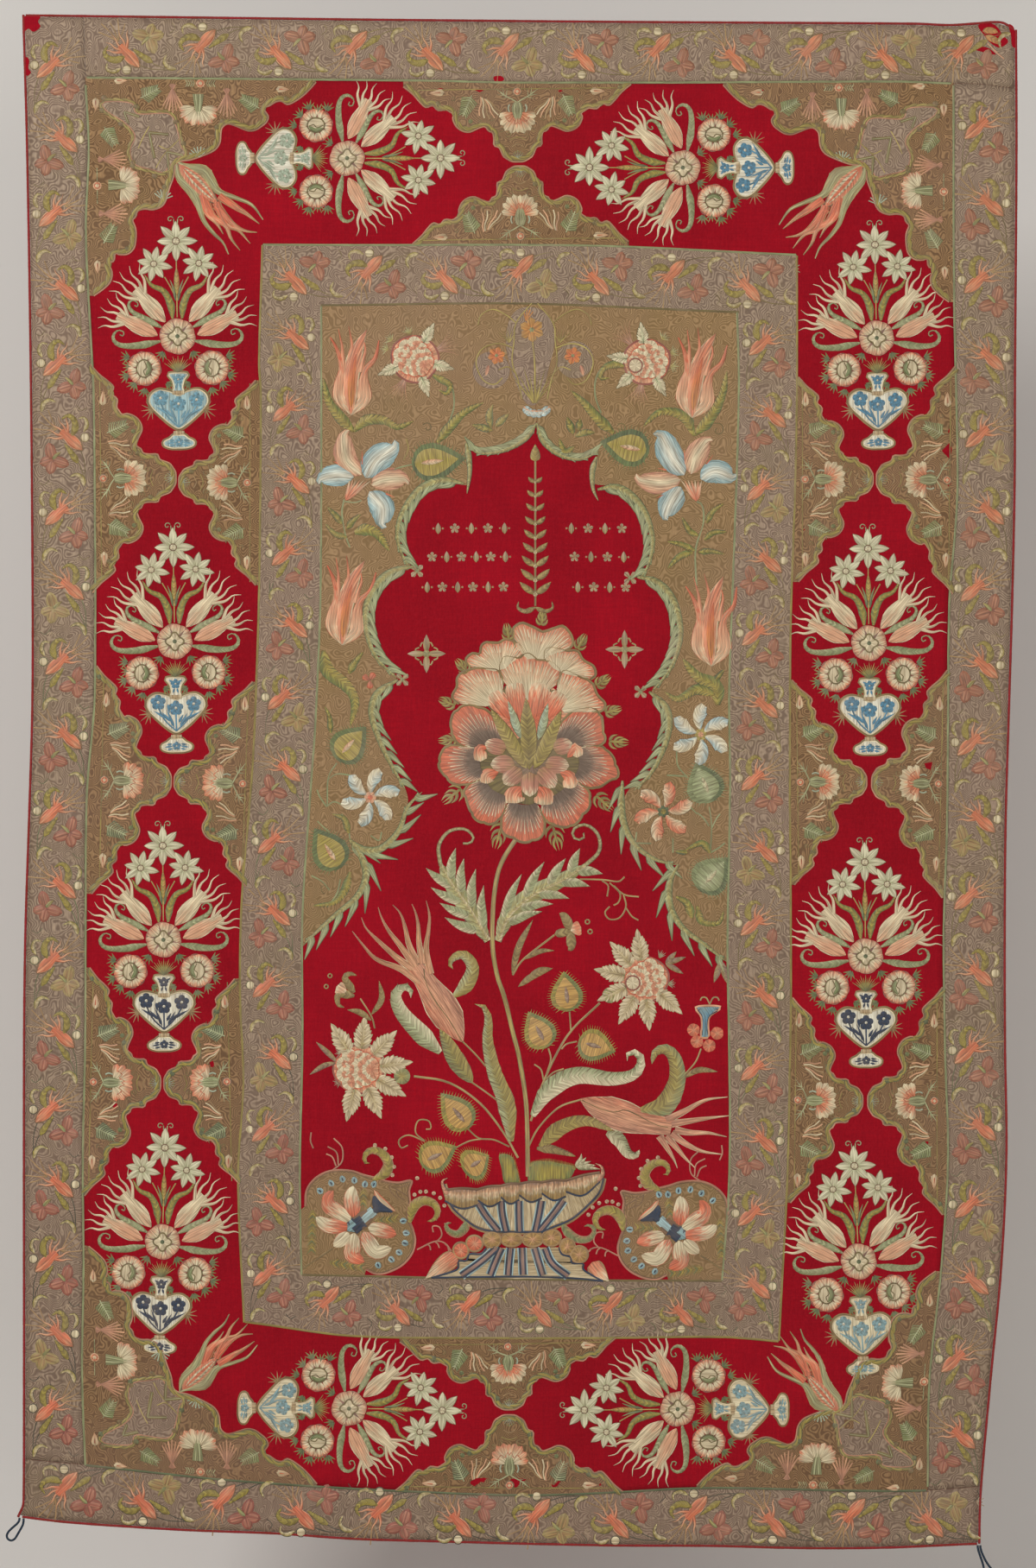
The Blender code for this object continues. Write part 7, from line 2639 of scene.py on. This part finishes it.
class CURTAIN_OT_corners(Operator):
    """Lay the four corner grounds and work their ornament"""

    bl_idname = "curtain.corners"
    bl_label = "Corners"

    def execute(self, context):
        for k, corner in enumerate(CORNERS):
            place = corner_place(*corner)
            rim = smooth_path(np.array([complex(u, -v) for u, v in CORNER_RIM]), 230)
            across = np.linspace(-16, rim[0].real, 40) + 16j
            down = -16 + 1j * np.linspace(rim[-1].imag, 16, 40)
            edges = (("seam_left", 1) if k in (0, 2) else ("seam_right", -1), ("seam_top", -1) if k < 2 else
                     ("seam_bottom", 1))
            ground_patch(f"corner_{k + 1}_ground", fitted(place(np.r_[across, rim, down]), edges), "brown")
            field = smooth_path([complex((u / 5.407 - 8.5) * STEP, -(v / 5.407 - 5.0) * STEP) for u,
                                 v in CORNER_FIELD], 70, True)[:-1]
            ground_patch(f"corner_{k + 1}_field", place(field), "mauve", lift=0.3)
            work = Needlework(ground_bed())
            work.faded = ("khaki", 0.15)
            corner_ornament(work, place, "olive_brown" if k < 2 else "dark_sage")
            work.finish(f"corner_{k + 1}_flowers")
        return {"FINISHED"}


class CURTAIN_OT_cords(Operator):
    """Lay the green cords along the seams and the frame lines"""

    bl_idname = "curtain.cords"
    bl_label = "Laid Cords"

    def execute(self, context):
        for name, down, start, end, thread in CORD_RUNS:
            along = np.linspace(start, end, max(2, int(abs(end - start) / 8)))
            path = EDGES[name](along) + 1j * along if down else along + 1j * EDGES[name](along)
            parts = int(math.ceil(abs(end - start) / 440.0))
            for k in range(parts):
                piece = path[int(k * (len(path) - 1) / parts):int((k + 1) * (len(path) - 1) / parts) + 1]
                work = Needlework(ground_bed())
                laid_cord(work, piece, 3.2, thread)
                work.finish(f"{name}_cord_{k + 1}")
        return {"FINISHED"}


class CURTAIN_OT_niche(Operator):
    """Lay the tan field round the niche, its cut leaves and the crest above it"""

    bl_idname = "curtain.niche"
    bl_label = "Niche"

    def execute(self, context):
        panel = CutPanel("field_left", "field_right", "field_top", "field_bottom")
        even = np.linspace(0.0, 1.0, 200)
        for side, edge in (("left", NICHE_LEFT), ("right", NICHE_RIGHT)):
            rim = smooth_path(spots(*edge), 170)
            across = 0.0 if side == "left" else 1.0
            outer = panel.place(np.full(200, across), even)
            outer = outer[outer.imag > rim[-1].imag]
            top = panel.place(even[even <= 0.5] if side == "left" else 1.0 - even[even <= 0.5], np.zeros(100))
            outline = np.r_[outer[::-1], top[1:], rim]
            half = spot(0, 700).imag
            ground_patch(f"niche_{side}_upper_ground", outline, "tan", keep=(half,))
            ground_patch(f"niche_{side}_lower_ground", outline, "tan", keep=(-1e6, half))
        groups = {"left_upper": NICHE_LEAVES[:4], "left_lower": NICHE_LEAVES[4:7],
                  "right_upper": NICHE_LEAVES[7:11], "right_lower": NICHE_LEAVES[11:]}
        for name, leaves in groups.items():
            work = Needlework(ground_bed())
            for points, width, cut, teeth in leaves:
                cut_leaf(work, spots(*points), width, -cut, teeth)
            work.finish(f"niche_{name}_leaves")
        ground_patch("crest_ground", smooth_path(spots(*CREST_GROUND), 60, True)[:-1], "mauve", lift=0.3)
        for k, (x, y) in enumerate(((569, 429), (666, 417))):
            angle = np.linspace(0.0, 2.0 * np.pi, 40, endpoint=False)
            ground_patch(f"crest_round_{k + 1}", spot(x, y) + 28.0 * np.exp(1j * angle), "mauve", lift=0.3)
        stitched("crest_flowers", ground_bed() + 0.3, crest)
        return {"FINISHED"}


class CURTAIN_OT_spandrels(Operator):
    """Work the tulips, peonies, lilies and wheels of the tan field"""

    bl_idname = "curtain.spandrels"
    bl_label = "Spandrel Flowers"

    def execute(self, context):
        for draw in (spandrel_left_upper, spandrel_left_lower, spandrel_right_upper, spandrel_right_lower):
            stitched(draw.__name__ + "_flowers", ground_bed(), draw)
        work = Needlework()
        for x, y in ((494, 757), (723.5, 752)):
            four_arm(work, spot(x, y), 29.0)
        for x, y in ((483, 661), (466, 787), (730, 669), (742, 801)):
            small_flower(work, spot(x, y), 12.0, 4, ("khaki", "mauve_light"), "sage", 0.2, 45.0)
        work.finish("niche_rosettes", "red_wool")
        return {"FINISHED"}


class CURTAIN_OT_centre(Operator):
    """Work the large peony, its plant, the bowl and the rounds beside it"""

    bl_idname = "curtain.centre"
    bl_label = "Centre"

    def execute(self, context):
        stitched("plant_stems", 0.0, plant)
        stitched("great_peony", 0.1, great_peony)
        for mirrored in (False, True):
            side = "right" if mirrored else "left"
            s = round_spots(mirrored)
            outline = np.r_[s((-10, 600)), smooth_path(s(*ROUND_RIM), 110), s((560, 1180), (-10, 1180))]
            edges = (("field_right", -1) if mirrored else ("field_left", 1), ("field_bottom", 1))
            ground_patch(f"round_{side}_ground", fitted(outline, edges), "tan")
            stitched(f"round_{side}_flower", ground_bed(), round_flower, mirrored)
        stitched("flower_bowl", 0.2, bowl)
        stitched("head_ornament", 0.0, head_ornament)
        return {"FINISHED"}


class CURTAIN_OT_wear(Operator):
    """Show the red cloth where the couching is worn away"""

    bl_idname = "curtain.wear"
    bl_label = "Worn Spots"

    def execute(self, context):
        for name, outline in WORN_SPOTS:
            ground_patch(name, smooth_path(spots(*outline), 30, True)[:-1], "wool", -0.2, 12.0)
        work = Needlework()
        for points in (((1138, 36), (1146, 35), (1156, 37)), ((1141, 41), (1152, 46), (1160, 51))):
            outlined(work, spots(*points), 5.4, "broad", ("orange", "ochre"), 0.1, "brown", 0.8, 8)
        work.line(spots((1144, 50), (1154, 60), (1163, 68)), 1.6, "peach", 0.1, 7)
        work.finish("worn_corner_leaf")
        return {"FINISHED"}


CAMERA_PLACE = (-0.0039, -6.0, -1.150)
CAMERA_LENS = 91.2

# The stage in metres: floor height, how far the wall stands behind the cloth, and the radius between them.
FLOOR_HEIGHT = -2.62
WALL_DEPTH = 0.9
WALL_BEND = 0.55


class CURTAIN_OT_stage(Operator):
    """Set the backdrop, the lights and the camera"""

    bl_idname = "curtain.stage"
    bl_label = "Stage"

    def execute(self, context):
        scene = context.scene
        bpy.ops.object.select_all(action="DESELECT")
        bpy.ops.mesh.primitive_plane_add(size=1.0)
        paper = context.object
        paper.name = "backdrop"
        bm = bmesh.new()
        bend = [(WALL_DEPTH - WALL_BEND + WALL_BEND * math.sin(a),
                 FLOOR_HEIGHT + WALL_BEND - WALL_BEND * math.cos(a)) for a in np.linspace(0, math.pi / 2, 12)]
        profile = [(-9.0, FLOOR_HEIGHT)] + bend + [(WALL_DEPTH, 3.2)]
        rows = [[bm.verts.new((x, y, z)) for x in (-7.0, 7.0)] for y, z in profile]
        for low, high in zip(rows, rows[1:]):
            bm.faces.new((low[0], low[1], high[1], high[0]))
        bm.to_mesh(paper.data)
        bm.free()
        paper.data.shade_smooth()
        paper.data.materials.clear()
        paper.data.materials.append(finish_of("stage"))

        world = bpy.data.worlds.new("studio")
        world.use_nodes = True
        back = world.node_tree.nodes["Background"]
        back.inputs["Color"].default_value = (1.0, 0.99, 0.97, 1.0)
        back.inputs["Strength"].default_value = 0.36
        scene.world = world
        for name, place, size, power in (("key", (-3.0, -4.5, 1.6), 1.6, 172.0),
                                         ("fill", (3.4, -4.6, -1.0), 2.6, 70.0),
                                         ("low", (-0.6, -5.0, -2.2), 2.0, 28.0)):
            light = bpy.data.lights.new(name, "AREA")
            light.size = size
            light.energy = power
            lamp = bpy.data.objects.new(name, light)
            scene.collection.objects.link(lamp)
            lamp.location = place
            aim = bpy.context.scene.cursor.location.copy()
            aim.x, aim.y, aim.z = 0.0, 0.0, -1.15
            lamp.rotation_euler = (aim - lamp.location).to_track_quat("-Z", "Y").to_euler()

        view = bpy.data.cameras.new("front")
        view.lens = CAMERA_LENS
        camera = bpy.data.objects.new("front", view)
        scene.collection.objects.link(camera)
        camera.location = CAMERA_PLACE
        camera.rotation_euler = (math.pi / 2.0, 0.0, 0.0)
        scene.camera = camera
        scene.view_settings.view_transform = "Standard"
        return {"FINISHED"}


class CURTAIN_PT_panel(Panel):
    """Operators and settings of the curtain"""

    bl_label = "Embroidered Curtain"
    bl_idname = "CURTAIN_PT_panel"
    bl_space_type = "VIEW_3D"
    bl_region_type = "UI"
    bl_category = "Curtain"

    def draw(self, context):
        for operator in OPERATORS:
            self.layout.operator(operator.bl_idname)
        for group in (context.scene.curtain_sizes, context.scene.curtain_colours):
            column = self.layout.column()
            for name in type(group).__annotations__:
                column.prop(group, name)


OPERATORS = (CURTAIN_OT_cloth, CURTAIN_OT_binding, CURTAIN_OT_loops, CURTAIN_OT_brackets, CURTAIN_OT_corners,
             CURTAIN_OT_borders, CURTAIN_OT_frame, CURTAIN_OT_niche, CURTAIN_OT_cords, CURTAIN_OT_bouquets,
             CURTAIN_OT_spandrels, CURTAIN_OT_centre, CURTAIN_OT_wear, CURTAIN_OT_stage)
CLASSES = (ClothSizes, ThreadColours) + OPERATORS + (CURTAIN_PT_panel,)


def register():
    for entry in CLASSES:
        bpy.utils.register_class(entry)
    bpy.types.Scene.curtain_sizes = PointerProperty(type=ClothSizes)
    bpy.types.Scene.curtain_colours = PointerProperty(type=ThreadColours)


def unregister():
    del bpy.types.Scene.curtain_colours
    del bpy.types.Scene.curtain_sizes
    for entry in reversed(CLASSES):
        bpy.utils.unregister_class(entry)


def main():
    """Build the curtain and its stage."""
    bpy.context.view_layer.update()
    register()
    for operator in OPERATORS:
        group, name = operator.bl_idname.split(".")
        getattr(getattr(bpy.ops, group), name)()


if __name__ == "__main__":
    main()
